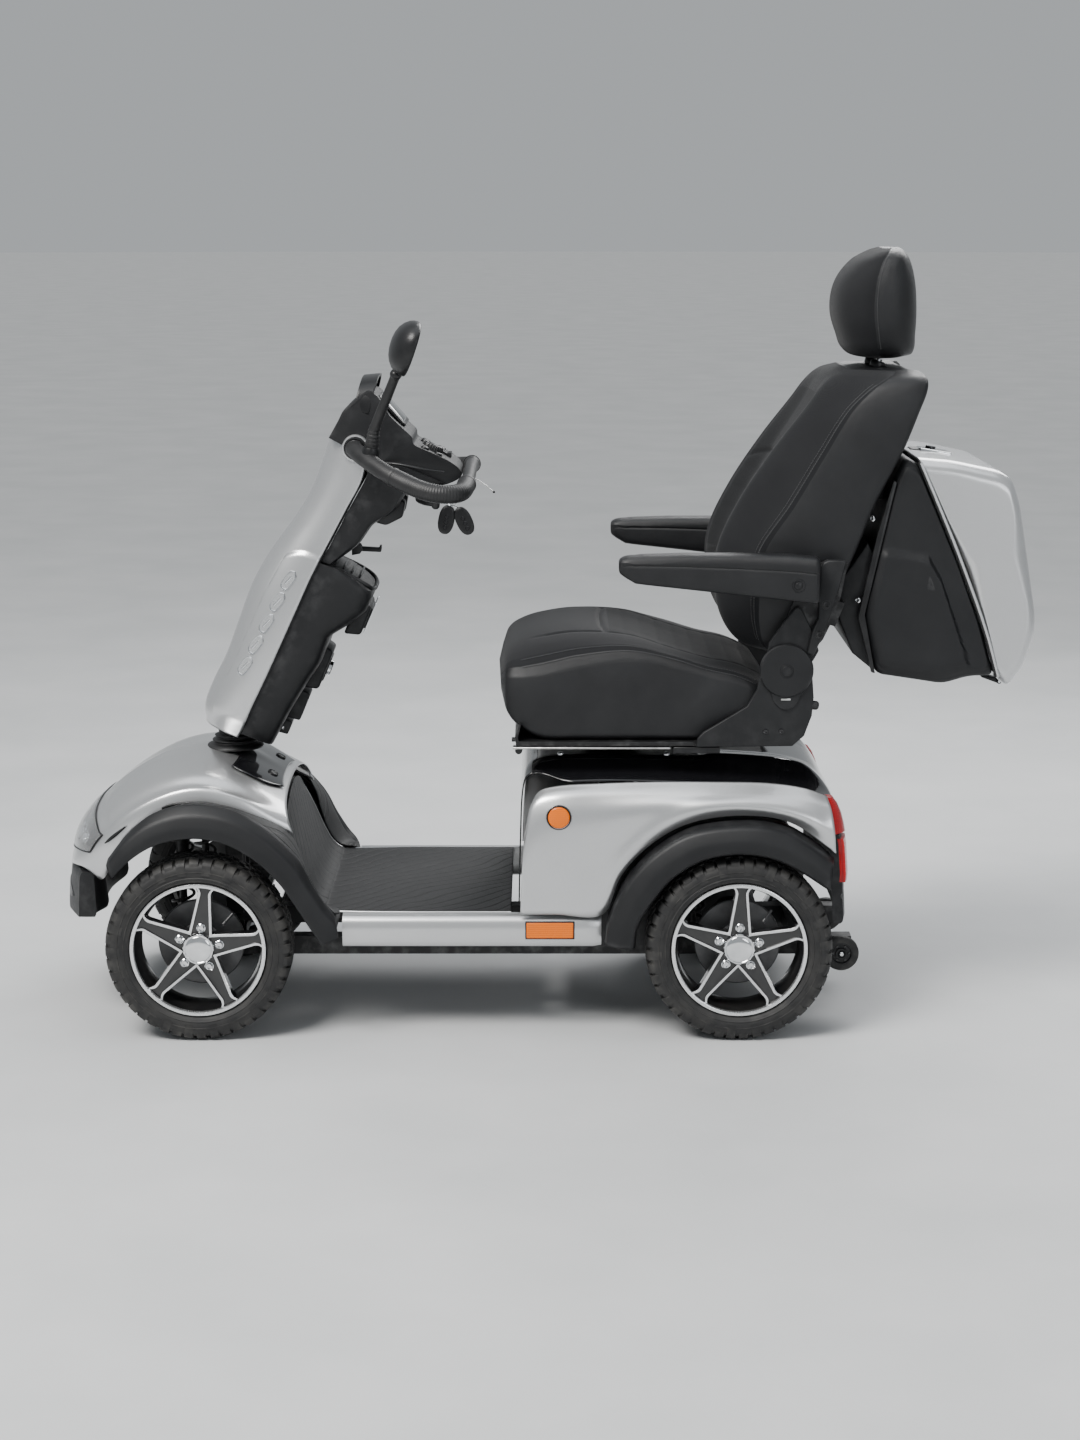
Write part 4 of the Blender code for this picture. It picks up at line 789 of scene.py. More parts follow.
def rim_mesh(name, body, node, y, turn):
    c = Vector((WHEEL_X, y, AXLE_Z))
    ax = (1, 0, 0)
    parts = []
    # barrel, black inside
    parts.append(lathe(name + "_barrel", [(0.1306, -0.0405), (0.1306, 0.0360), (0.1230, 0.0360), (0.1205, 0.0290), (0.1170, 0.0180),
                                          (0.1150, -0.0120), (0.1170, -0.0340), (0.1230, -0.0405)], c, ax, "alloyblack", None, None, seg=128, ring=True))
    # bright outer lip
    parts.append(lathe(name + "_lip", [(0.1306, 0.0350), (0.1306, 0.0425), (0.1300, 0.0440), (0.1286, 0.0447), (0.1250, 0.0447), (0.1236, 0.0440),
                                       (0.1232, 0.0425), (0.1228, 0.0350)], c, ax, "machined", None, None, seg=160, ring=True))
    # five spoke sectors
    T36 = math.tan(math.radians(36))

    def half(r):
        if r <= 0.031:
            return 0.0222 + 0.111 * (0.031 - r)
        if r <= 0.108:
            return 0.0222 - (r - 0.031) * (0.0097 / 0.077)
        k = (r - 0.108) / 0.0155
        return 0.0125 + 0.0085 * k ** 2.4

    def top(r):
        return 0.0290 + 0.0075 * sstep(0.030, 0.118, r)

    rows = [0.004, 0.012, 0.018, 0.0215, 0.0232, 0.0245, 0.0265, 0.0285, 0.0300, 0.0310, 0.0330, 0.0370, 0.0430, 0.052,
            0.062, 0.074, 0.086, 0.096, 0.104, 0.108, 0.111, 0.114, 0.1165, 0.1190, 0.1215, 0.1240]
    offs = [0.0, 0.0007, 0.0050, 0.0061, 0.0085]
    for k in range(5):
        t = math.pi / 2 + turn + 2 * math.pi * k / 5
        u, w = Vector((0, math.cos(t), math.sin(t))), Vector((0, -math.sin(t), math.cos(t)))
        verts, faces, idx = [], [], []
        cols = []
        for r in rows:
            line = []
            hw = half(r)
            cap = r * T36 if r < 0.0309 else 9.0
            tp = top(r)
            deep = 0.0036 * sstep(0.0225, 0.030, r)
            for sg in (-1, 1):
                seq = []
                for d, dz in zip(offs, (-0.0008, 0.0, 0.0, -deep, -deep * 1.05)):
                    wd = min(hw - d, cap)
                    seq.append((sg * max(wd, 0.0), tp + dz))
                back = (sg * min(hw, cap), 0.0100)
                line.append([back] + seq)
            full = line[0] + [(0.0, tp - deep * 1.1)] + line[1][::-1]
            cols.append(full)
            for wd, xx in full:
                verts.append(c + Vector((xx, 0, 0)) + u * r + w * wd)
        n = len(cols[0])
        for j in range(len(rows) - 1):
            for i in range(n - 1):
                faces.append([j * n + i, j * n + i + 1, (j + 1) * n + i + 1, (j + 1) * n + i])
                edge = i in (1, 2, n - 3, n - 4)
                idx.append(1 if edge and rows[j] > 0.0225 else 0)
        # closed back
        for j in range(len(rows) - 1):
            faces.append([j * n, (j + 1) * n, (j + 1) * n + n - 1, j * n + n - 1])
            idx.append(0)
        sp = put(name + "_s%d" % k, verts, faces, None, None, None, True, 28, mats=["alloyblack", "machined"], idx=idx)
        bm = bmesh.new()
        bm.from_mesh(sp.data)
        bmesh.ops.dissolve_degenerate(bm, dist=1e-5, edges=bm.edges)
        bmesh.ops.recalc_face_normals(bm, faces=bm.faces)
        bm.to_mesh(sp.data)
        bm.free()
        parts.append(sp)
        b = c + u * 0.0405 + Vector((0.0262, 0, 0))
        parts.append(lathe(name + "_b%d" % k, [(0, 0.0040), (0.0032, 0.0040), (0.0036, 0.0075), (0.0058, 0.0078), (0.0066, 0.0066), (0.0068, 0.0030),
                                               (0.0088, 0.0016), (0.0088, -0.003), (0, -0.003)], b, ax, "chrome", None, None, seg=6 * 4))
    # cap
    parts.append(lathe(name + "_cap", [(0, 0.0400), (0.012, 0.0398), (0.0205, 0.0388), (0.0240, 0.0376), (0.0252, 0.0366), (0.0262, 0.0374), (0.0285, 0.0372),
                                       (0.0300, 0.0350), (0.0303, 0.0260), (0, 0.0260)], c, ax, "chrome", None, None, seg=64))
    # hub and brake side
    parts.append(lathe(name + "_hub", [(0, -0.0440), (0.030, -0.0440), (0.036, -0.030), (0.044, -0.004), (0.046, 0.012), (0, 0.014)], c, ax, "alloyblack", None, None, seg=48))
    parts.append(lathe(name + "_disc", [(0.030, -0.0300), (0.082, -0.0300), (0.084, -0.0285), (0.084, -0.0235), (0.082, -0.0220), (0.030, -0.0220)], c, ax, "cast", None, None, seg=64, ring=True))
    parts.append(lathe(name + "_valve", [(0, 0.0), (0.0030, 0.0), (0.0030, 0.020), (0.0040, 0.021), (0.0040, 0.028), (0.0028, 0.030), (0, 0.030)],
                       c + Vector((0.034, 0.098 * math.cos(turn + 0.94), 0.098 * math.sin(turn + 0.94))),
                       (0.35, math.cos(turn + 0.94) * -0.9, math.sin(turn + 0.94) * -0.9), "smooth", None, None, seg=12))
    ob = merge(name, parts, body, "alloy", 30)
    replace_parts(ob, node)
    return ob


def wheels():
    for tag, y, turn in (("front", FRONT_Y, math.radians(-7.5)), ("rear", REAR_Y, math.radians(-2.0))):
        L, Rr = tag[0] + "l", tag[0] + "r"
        t = tyre_mesh("vis_tyre_%s_left" % tag, "wheel_f" + "l" if tag == "front" else "wheel_rl", "tyre_%s_left" % tag, y, 0.004 if tag == "front" else 0.011)
        r = rim_mesh("vis_rim_%s_left" % tag, "wheel_fl" if tag == "front" else "wheel_rl", "rim_%s_left" % tag, y, turn)
        b = "wheel_fr" if tag == "front" else "wheel_rr"
        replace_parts(twin(t, "vis_tyre_%s_right" % tag, b), "tyre_%s_right" % tag)
        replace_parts(twin(r, "vis_rim_%s_right" % tag, b), "rim_%s_right" % tag)


wheels()


def anti_tip():
    c = Vector((0.148, 0.597, 0.124))
    a = lathe("at_tyre", [(0.0225, -0.0085), (0.0300, -0.0088), (0.0340, -0.0070), (0.0350, -0.0035), (0.0350, 0.0035), (0.0340, 0.0070), (0.0300, 0.0088), (0.0225, 0.0085)],
              c, (1, 0, 0), "tyre", None, None, seg=64, ring=True)
    b = lathe("at_hub", [(0, 0.0075), (0.0060, 0.0075), (0.0080, 0.0100), (0.0110, 0.0100), (0.0120, 0.0055), (0.0190, 0.0045), (0.0200, 0.0080), (0.0226, 0.0080),
                         (0.0226, -0.0080), (0.0200, -0.0080), (0.0190, -0.0045), (0.0120, -0.0055), (0.0110, -0.0100), (0, -0.0100)],
              c, (1, 0, 0), "smooth", None, None, seg=48)
    holes = []
    for k in range(6):
        t = 2 * math.pi * k / 6
        holes.append(lathe("at_h%d" % k, [(0, 0.0001), (0.0030, 0.0), (0.0034, 0.0012), (0.0026, 0.0016), (0, 0.0008)],
                           c + Vector((0.0046, 0.0156 * math.cos(t), 0.0156 * math.sin(t))), (1, 0, 0), "gloss", None, None, seg=12))
    bolt = screw("at_bolt", c + Vector((0.0095, 0, 0)), (1, 0, 0), 0.0055, 0.0028, None, hexed=True)
    ob = merge("vis_anti_tip_left", [a, b, bolt] + holes, "anti_tip_l", "mat_rubber", 30)
    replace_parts(ob, "anti_tip_wheel_left")
    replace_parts(twin(ob, "vis_anti_tip_right", "anti_tip_r"), "anti_tip_wheel_right")
    # the stays that carry the small wheels
    pts = path([(0.122, 0.555, 0.140), (0.122, 0.575, 0.132), (0.122, 0.597, 0.124)], 6)
    arm = sweep("at_stay", pts, 0.0085, "steel", None, None, 16)
    fork = lathe("at_axle", [(0, -0.026), (0.0045, -0.026), (0.0045, 0.0), (0, 0.0)], c, (1, 0, 0), "zinc", None, None, seg=16)
    plate = prism("at_plate", [(0.574, 0.119), (0.600, 0.112), (0.608, 0.124), (0.600, 0.136), (0.574, 0.146)], 0.1285, 0.1325, "steel", None, None, 0.0012, 2)
    s = merge("vis_anti_tip_stay_left", [arm, fork, plate], "chassis", "black_steel", 35)
    twin(s, "vis_anti_tip_stay_right", "chassis")


anti_tip()

# ================================================================== nose
COWL_C = [(0.00, -0.9330, 0.3060), (0.07, -0.9300, 0.3250), (0.16, -0.9150, 0.3680), (0.27, -0.8810, 0.4100),
          (0.40, -0.8140, 0.4640), (0.54, -0.7380, 0.5030), (0.67, -0.6600, 0.5150), (0.80, -0.5850, 0.4980),
          (0.91, -0.5350, 0.4720), (1.00, -0.4980, 0.4520)]
COWL_S = [(0.00, 0.1500, -0.9080, 0.3060), (0.07, 0.1950, -0.8820, 0.3075), (0.16, 0.2290, -0.8500, 0.2950),
          (0.27, 0.2520, -0.8240, 0.3400), (0.40, 0.2640, -0.7800, 0.3980), (0.54, 0.2680, -0.7150, 0.4370),
          (0.67, 0.2660, -0.6550, 0.4520), (0.80, 0.2620, -0.5850, 0.4360), (0.91, 0.2540, -0.5250, 0.4120),
          (1.00, 0.2440, -0.4760, 0.3900)]


def cowl_at(u, v, out=0.0):
    yc, zc = cub(COWL_C, v)
    xs, ys, zs = cub(COWL_S, v)
    a = abs(u) * math.pi / 2
    k = math.cos(a) ** 0.62 if abs(u) < 1 else 0.0
    x = xs * math.sin(a) ** 0.92 if u else 0.0
    p = Vector((math.copysign(x, u) if u else 0.0, ys + (yc - ys) * k, zs + (zc - zs) * k))
    # valley inboard of the wheel arch, and a lip standing out above it
    w = sstep(0.22, 0.36, v) * (1 - sstep(0.80, 0.98, v))
    au = abs(u)
    p.z -= 0.0105 * w * math.exp(-((au - 0.665) / 0.085) ** 2)
    p.z += 0.0060 * w * math.exp(-((au - 0.875) / 0.075) ** 2)
    p.z += 0.0025 * w * math.exp(-(au / 0.05) ** 2)
    if out:
        e = 0.004
        du = cowl_at(min(u + e, 1), v) - cowl_at(max(u - e, -1), v)
        dv = cowl_at(u, min(v + e, 1)) - cowl_at(u, max(v - e, 0))
        n = du.cross(dv)
        if n.length > 1e-12:
            n.normalize()
            if n.z - 0.3 * n.y < 0:
                n.negate()
            p = p + n * out
    return p


def nose():
    nu, nv = 96, 84
    us = [math.copysign(abs(k) ** 1.0, k) for k in spread(-1, 1, nu)]
    vs = spread(0, 1, nv)

    def seam(u, v):
        """Recessed panel joints."""
        d = 0.0
        au = abs(u)
        # joint between nose cap and cowl
        for c in (0.305 + 0.05 * au ** 2,):
            d = max(d, 1 - abs(v - c) / 0.006) if 0.0 < au < 0.80 else d
        return -0.0022 * max(d, 0.0)

    g = [[cowl_at(u, v, seam(u, v)) for u in us] for v in vs]
    ob = skin("vis_front_cowl", g, 0.0028, "silver", "chassis", "silver_paint", angle=60)
    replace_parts(ob, "front_cowl")
    # lamp: dark housing behind, reflectors and clear cover
    ul, vl = spread(-0.78, 0.78, 72), spread(0.075, 0.275, 18)

    def lens_v(u, v):
        k = abs(u) / 0.78
        mid = 0.175 + 0.075 * k ** 2
        hw = 0.098 * (1 - 0.55 * k ** 2.2)
        t = (v - 0.175) / 0.1
        return mid + t * hw

    bed = [[cowl_at(u, lens_v(u, v), -0.0004 + 0.0014 * 0) + Vector((0, 0, 0)) for u in ul] for v in vl]
    bed = [[cowl_at(u, lens_v(u, v), 0.0005) for u in ul] for v in vl]
    skin("vis_lamp_bed", bed, 0.0006, "gloss", "chassis", "gloss_black", angle=60)
    cov = [[cowl_at(u, lens_v(u, v), 0.0012 + 0.0048 * math.sin(math.pi * j / (len(vl) - 1)) ** 0.6 * (1 - (abs(u) / 0.80) ** 6)) for u in ul] for j, v in enumerate(vl)]
    lens = skin("vis_headlight_lens", cov, 0.0012, "clear", "chassis", "clear_lens", angle=60)
    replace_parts(lens, "headlight_lens")
    # dark rim round the lens
    loop = [cov[0][i] for i in range(len(ul))] + [cov[j][-1] for j in range(1, len(vl))] + [cov[-1][i] for i in range(len(ul) - 2, -1, -1)] + [cov[j][0] for j in range(len(vl) - 2, 0, -1)]
    seg, rings = 8, []
    n = len(loop)
    for i in range(n):
        t = (loop[(i + 1) % n] - loop[i - 1]).normalized()
        ref = Vector((0, -0.6, 0.8))
        a = t.cross(ref).normalized()
        b = t.cross(a)
        rings.append([loop[i] + a * (0.0016 * math.cos(2 * math.pi * k / seg)) + b * (0.0016 * math.sin(2 * math.pi * k / seg)) for k in range(seg)])
    loft("vis_lamp_rim", rings, "smooth", "chassis", "textured_black", closed_run=True, angle=80)
    # lamp bowls and cells behind the cover
    bits = []
    for sx in (-1, 1):
        for k, (u, r) in enumerate(((0.33, 0.017), (0.47, 0.0150), (0.60, 0.012))):
            p = cowl_at(sx * u, lens_v(u, 0.175), 0.0012)
            q = cowl_at(sx * u, lens_v(u, 0.175), 0.0112)
            ax = (q - p).normalized()
            bits.append(lathe("lb%d%d" % (sx, k), [(0, 0.0006), (r * 0.28, 0.0006), (r * 0.34, 0.0014), (r * 0.5, 0.0008), (r * 0.86, 0.0030), (r, 0.0034), (r * 1.04, 0.0)],
                              p, ax, "chrome", None, None, seg=40))
        for i in range(9):
            u = 0.10 + 0.022 * i
            p = cowl_at(sx * u, lens_v(u, 0.215), 0.0008)
            q = cowl_at(sx * u, lens_v(u, 0.215), 0.0108)
            bits.append(lathe("lc%d%d" % (sx, i), [(0, 0.0012), (0.0022, 0.0010), (0.0034, 0.0)], p, (q - p).normalized(), "chrome", None, None, seg=10))
    lb = merge("vis_lamp_bowls", bits, "chassis", "clear_lens", 30)
    # smoked socket panel behind the boot
    us2, vs2 = spread(-0.40, 0.40, 36), spread(0.775, 0.965, 22)

    def cp(u, v, o):
        k = (v - 0.775) / 0.19
        wid = 0.62 + 0.38 * math.sin(math.pi * min(1, k * 0.62 + 0.24))
        return cowl_at(u * wid, v - 0.012 * (abs(u) / 0.4) ** 3 * (1 if k < 0.5 else -1), o)
    g = []
    for j, v in enumerate(vs2):
        k = j / (len(vs2) - 1)
        g.append([cp(u, v, 0.0048 + 0.0014 * (1 - abs(u / 0.4) ** 8) * (1 - abs(2 * k - 1) ** 8)) for u in us2])
    pan = skin("vis_charge_panel", g, 0.0012, "gloss", "chassis", "gloss_black", angle=60)
    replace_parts(pan, "charge_panel")
    bits = []
    for u, v, r in ((0.20, 0.915, 0.0105), (-0.20, 0.915, 0.0105)):
        p, q = cp(u, v, 0.0060), cp(u, v, 0.0160)
        ax = (q - p).normalized()
        bits.append(lathe("cpb", [(0, 0.0030), (r * 0.55, 0.0030), (r * 0.62, 0.0016), (r * 0.8, 0.0016), (r * 0.86, 0.0034), (r, 0.0030), (r * 1.05, -0.001)], p, ax, "smooth", None, None, seg=32))
    p, q = cp(0, 0.845, 0.0058), cp(0, 0.845, 0.0158)
    ax = (q - p).normalized()
    merge("vis_charge_buttons", bits, "chassis", "textured_black", 30)
    # short dark side marks near the fender tips
    for sx in (-1, 1):
        pts = path([(sx * 0.2555, -0.838, 0.3735), (sx * 0.2620, -0.820, 0.3890), (sx * 0.2665, -0.7960, 0.4085)], 6)
        sweep("vis_side_mark_%s" % ("l" if sx > 0 else "r"), pts, [0.0014 + 0.0020 * math.sin(math.pi * i / (len(pts) - 1)) for i in range(len(pts))], "smooth", "chassis", "textured_black", 10)
    # front bumper
    B = [(-0.006, 0.213), (-0.006, 0.222), (0.002, 0.292), (0.012, 0.3030), (0.052, 0.3035), (0.064, 0.296), (0.072, 0.222), (0.066, 0.213)]
    rings = []
    for x in spread(-0.205, 0.205, 48):
        w = 1.0 - 0.55 * sstep(0.12, 0.205, abs(x))
        y = -0.9420 + 1.02 * x * x
        dip = 0.0
        prof = fillet([(0, a, b) for a, b in B] + [(0, B[0][0], B[0][1])], 0.006, 3)
        low = 0.004 * (1 - sstep(0.10, 0.16, abs(x)))
        rings.append([(x, y + p.y * w, p.z - (low if p.z < 0.22 else 0)) for p in prof[:-1]])
    ob = loft("vis_front_bumper", rings, "grain", "chassis", "textured_black", angle=45)
    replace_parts(ob, "front_bumper")
    # raised fluted centre band on the bumper
    rings = []
    for x in spread(-0.165, 0.165, 40):
        y = -0.9455 + 1.02 * x * x
        z0 = 0.247
        h = 0.013 * (1 - sstep(0.13, 0.165, abs(x)) * 0.8)
        rings.append([(x, y + 0.004, z0 - h), (x, y - 0.0015, z0 - h + 0.002), (x, y, z0 + h - 0.002), (x, y + 0.006, z0 + h)])
    loft("vis_bumper_band", rings, "smooth", "chassis", "textured_black", angle=45)


nose()

# ================================================================== fenders
FF_A = [(-0.812, 0.345), (-0.770, 0.404), (-0.715, 0.4365), (-0.655, 0.4500), (-0.585, 0.4340), (-0.522, 0.4080),
        (-0.470, 0.3600), (-0.450, 0.3050), (-0.432, 0.2650), (-0.405, 0.2440), (-0.385, 0.2380)]
FF_B = [(-0.822, 0.362), (-0.785, 0.408), (-0.735, 0.4480), (-0.668, 0.4660), (-0.590, 0.4560), (-0.520, 0.4180),
        (-0.462, 0.3600), (-0.432, 0.3050), (-0.410, 0.2700), (-0.392, 0.2450), (-0.3905, 0.2150)]
FF_C = [(-0.824, 0.350), (-0.786, 0.396), (-0.735, 0.4300), (-0.668, 0.4470), (-0.592, 0.4380), (-0.526, 0.4010),
        (-0.470, 0.3480), (-0.438, 0.2980), (-0.413, 0.2600), (-0.390, 0.2340), (-0.3830, 0.2080)]
FF_D = [(-0.812, 0.326), (-0.775, 0.362), (-0.727, 0.3900), (-0.665, 0.4020), (-0.600, 0.3930), (-0.540, 0.3590),
        (-0.496, 0.3160), (-0.466, 0.2720), (-0.443, 0.2350), (-0.424, 0.2060), (-0.4180, 0.1960)]
RF_A = [(0.124, 0.190), (0.131, 0.240), (0.165, 0.315), (0.215, 0.372), (0.288, 0.416), (0.387, 0.4300),
        (0.462, 0.4200), (0.520, 0.3900), (0.562, 0.3560)]
RF_C = [(0.126, 0.1900), (0.133, 0.2380), (0.168, 0.3110), (0.218, 0.3670), (0.290, 0.4090), (0.387, 0.4220),
        (0.460, 0.4120), (0.516, 0.3830), (0.558, 0.3480)]
RF_D = [(0.176, 0.1860), (0.184, 0.2320), (0.216, 0.2860), (0.256, 0.3310), (0.315, 0.3640), (0.387, 0.3740),
        (0.452, 0.3620), (0.505, 0.3350), (0.552, 0.3040)]


def bands(rows, xs, steps, round_=0.006, n=3):
    """Stations along the arch; across, a rounded polyline through the rows."""
    fine = [path([(xs[j], y, z) for y, z in row], steps) for j, row in enumerate(rows)]
    g = []
    for k in range(len(fine[0])):
        g.append(fillet([fine[j][k] for j in range(len(rows))], round_, n))
    return g


def fenders():
    # shoulder step, flat face and a turned-in lip
    lip = [(y + (0.006 if y < -0.655 else -0.006) * 0.6, z + 0.004) for y, z in FF_D]
    mid = [((a[0] * 0.42 + b[0] * 0.58), (a[1] * 0.42 + b[1] * 0.58)) for a, b in zip(FF_C, FF_D)]
    rows = [FF_A, FF_B, FF_C, mid, FF_D, lip]
    g = bands(rows, [0.2690, 0.3180, 0.3400, 0.3475, 0.3480, 0.3380], 7, 0.0065, 3)
    f = skin("vis_front_fender_left", g, 0.0030, "grain", "chassis", "textured_black", flip=False, angle=50)
    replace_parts(f, "front_fender_left")
    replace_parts(twin(f, "vis_front_fender_right"), "front_fender_right")
    # inner splash wall over the wheel
    inner = [(y, z - 0.006) for y, z in FF_A]
    low = [(-0.655 + (y + 0.655) * 0.93, 0.18 + (z - 0.18) * 0.90) for y, z in FF_A]
    g = [[Vector((0.262, a[0], a[1] - 0.004)), Vector((0.232, b[0], b[1]))] for a, b in
         zip([(p.y, p.z) for p in path([(0, *q) for q in inner[1:8]], 5)], [(p.y, p.z) for p in path([(0, *q) for q in low[1:8]], 5)])]
    s = skin("vis_front_splash_left", g, 0.002, "grain", "chassis", "textured_black", angle=60)
    twin(s, "vis_front_splash_right")
    cx, cz = 0.387, 0.18
    mid = [((a[0] * 0.45 + b[0] * 0.55), (a[1] * 0.45 + b[1] * 0.55)) for a, b in zip(RF_C, RF_D)]
    lip = [(cx + (y - cx) * 0.972, cz + (z - cz) * 0.972) for y, z in RF_D]
    g = bands([RF_A, RF_C, mid, RF_D, lip], [0.3005, 0.3330, 0.3440, 0.3455, 0.3300], 7, 0.0065, 3)
    f = skin("vis_rear_fender_left", g, 0.0030, "grain", "chassis", "textured_black", angle=50)
    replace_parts(f, "rear_fender_left")
    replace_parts(twin(f, "vis_rear_fender_right"), "rear_fender_right")
    # wheel house liner behind the rear wheel opening
    top = path([(0, *q) for q in RF_A[1:9]], 5)
    g = [[Vector((0.300, p.y, p.z - 0.004)), Vector((0.225, cx + (p.y - cx) * 0.98, cz + (p.z - cz) * 0.97 - 0.004))] for p in top]
    s = skin("vis_rear_liner_left", g, 0.002, "grain", "chassis", "textured_black", angle=60)
    twin(s, "vis_rear_liner_right")


fenders()


# ================================================================== deck
MAT = [(-0.4960, 0.4420, 0.205, 0.050), (-0.4850, 0.4000, 0.216, 0.032), (-0.4720, 0.3500, 0.228, 0.014),
       (-0.4560, 0.3000, 0.236, 0.004), (-0.4400, 0.2650, 0.240, 0.0), (-0.4200, 0.2460, 0.244, 0.0),
       (-0.3950, 0.2400, 0.2560, 0.0), (-0.2600, 0.2400, 0.2640, 0.0), (-0.1200, 0.2400, 0.2640, 0.0),
       (-0.0560, 0.2400, 0.2640, 0.0)]


def deck():
    fine = [Vector(p) for p in path([(w, y, z) for y, z, w, d in MAT], 7)]
    drops = path([(0, 0, d) for y, z, w, d in MAT], 7)
    nrm = []
    for i in range(len(fine)):
        a, b = fine[max(i - 1, 0)], fine[min(i + 1, len(fine) - 1)]
        d = Vector((0, b.y - a.y, b.z - a.z)).normalized()
        nrm.append(Vector((0, -d.z, d.y)))

    def strip(name, lift, t, mat, slot, trim, node, crown=0.0):
        g = []
        for i, p in enumerate(fine):
            w = p.x - trim
            g.append([Vector((x, p.y, p.z - drops[i].z * (x / p.x) ** 2)) - nrm[i] * (lift - crown * (1 - (x / w) ** 6)) for x in spread(-w, w, 24)])
        ob = skin(name, g, t, mat, "chassis", slot, angle=60, rim=0.0012)
        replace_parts(ob, node)
        return ob

    strip("vis_floor_mat", 0.0, 0.0045, "matgroove", "mat_rubber", 0.0, "floor_mat", 0.0012)
    strip("vis_floor_pan", 0.0056, 0.010, "grain", "textured_black", 0.004, "floor_pan")
    # bright trim strip along each edge of the mat, on the riser and deck
    for sx in (-1, 1):
        pts = []
        for i in range(0, len(fine)):
            p = fine[i]
            pts.append(Vector((sx * (p.x + 0.0008), p.y, p.z - drops[i].z)) + nrm[i] * -0.0012)
        sweep("vis_mat_trim_%s" % ("left" if sx > 0 else "right"), pts, 0.0019, "silver", "chassis", "silver_paint", 10)
    # wing of the mat that runs forward over the arch
    U = [(-0.7250, 0.4425), (-0.7035, 0.4510), (-0.6575, 0.4552), (-0.6002, 0.4475), (-0.5508, 0.4310), (-0.4995, 0.4060), (-0.4720, 0.3700),
         (-0.4620, 0.3300), (-0.4480, 0.2860), (-0.4250, 0.2520), (-0.3900, 0.2425)]
    Lo = [(-0.7230, 0.4480), (-0.7000, 0.4590), (-0.6529, 0.4625), (-0.5962, 0.4530), (-0.5473, 0.4310), (-0.4966, 0.3960), (-0.4600, 0.3530),
          (-0.4360, 0.3060), (-0.4170, 0.2700), (-0.3980, 0.2470), (-0.3860, 0.2425)]
    xu = [0.270, 0.268, 0.268, 0.267, 0.264, 0.254, 0.236, 0.238, 0.242, 0.246, 0.254]
    xl = [0.284, 0.300, 0.306, 0.308, 0.308, 0.308, 0.306, 0.302, 0.298, 0.294, 0.290]
    a = path([(x, y, z) for x, (y, z) in zip(xu, U)], 6)
    b = path([(x, y, z) for x, (y, z) in zip(xl, Lo)], 6)
    g = []
    for i, (p, q) in enumerate(zip(a, b)):
        row = []
        for k in range(9):
            t = k / 8
            m = p.lerp(q, t)
            m.z += 0.0030 * math.sin(math.pi * t) + 0.0012
            row.append(m)
        g.append(row)
    s = skin("vis_mat_wing_left", g, 0.0030, "matgroove", "chassis", "mat_rubber", angle=60, rim=0.0008)
    twin(s, "vis_mat_wing_right")
    # sills with end reflectors
    for sx, nm in ((1, "left"), (-1, "right")):
        prof = [(0.2655, 0.1800), (0.2700, 0.1768), (0.2860, 0.1765), (0.2925, 0.1800), (0.2962, 0.1900), (0.2975, 0.2100), (0.2960, 0.2260),
                (0.2900, 0.2355), (0.2800, 0.2392), (0.2700, 0.2400), (0.2655, 0.2390)]
        rings = []
        for y in spread(-0.3800, 0.1180, 30):
            e = sstep(0.112, 0.118, y)
            rings.append([(sx * (x - 0.004 * e * (1 if x > 0.28 else -0.2)), y, z + (0.208 - z) * 0.05 * e) for x, z in prof])
        if sx < 0:
            rings = [r[::-1] for r in rings]
        ob = loft("vis_sill_" + nm, rings, "silver", "chassis", "silver_paint", angle=50)
        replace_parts(ob, "sill_" + nm)
        rf = prism("vis_sill_reflector_" + nm, [(-0.026, 0.1960), (0.064, 0.1960), (0.064, 0.2265), (-0.026, 0.2265)],
                   min(sx * 0.2950, sx * 0.3000), max(sx * 0.2950, sx * 0.3000), "amber", "chassis", "amber_lens", 0.0016, 3)
        fr = prism("vis_sill_reflector_frame_" + nm, [(-0.0285, 0.1935), (0.0665, 0.1935), (0.0665, 0.2290), (-0.0285, 0.2290)],
                   min(sx * 0.2940, sx * 0.2984), max(sx * 0.2940, sx * 0.2984), "smooth", "chassis", "textured_black", 0.0012, 2)


deck()


# ================================================================== rear body
RP_TOP = [(-0.020, 0.4200), (-0.006, 0.4700), (0.030, 0.4860), (0.120, 0.4920), (0.220, 0.4950), (0.330, 0.4950),
          (0.430, 0.4930), (0.500, 0.4840), (0.548, 0.4680)]
RP_SH = [(-0.026, 0.4000), (-0.014, 0.4450), (0.030, 0.4640), (0.120, 0.4700), (0.220, 0.4730), (0.330, 0.4740),
         (0.430, 0.4720), (0.505, 0.4620), (0.556, 0.4460)]
RP_MID = [(-0.034, 0.3400), (-0.010, 0.3700), (0.040, 0.4000), (0.110, 0.4250), (0.200, 0.4450), (0.320, 0.4560),
          (0.430, 0.4520), (0.506, 0.4360), (0.562, 0.4100)]
RP_LOW = [(-0.038, 0.2440), (0.030, 0.2440), (0.1195, 0.2440), (0.155, 0.3215), (0.209, 0.3810), (0.286, 0.4240),
          (0.387, 0.4380), (0.480, 0.4240), (0.566, 0.3640)]


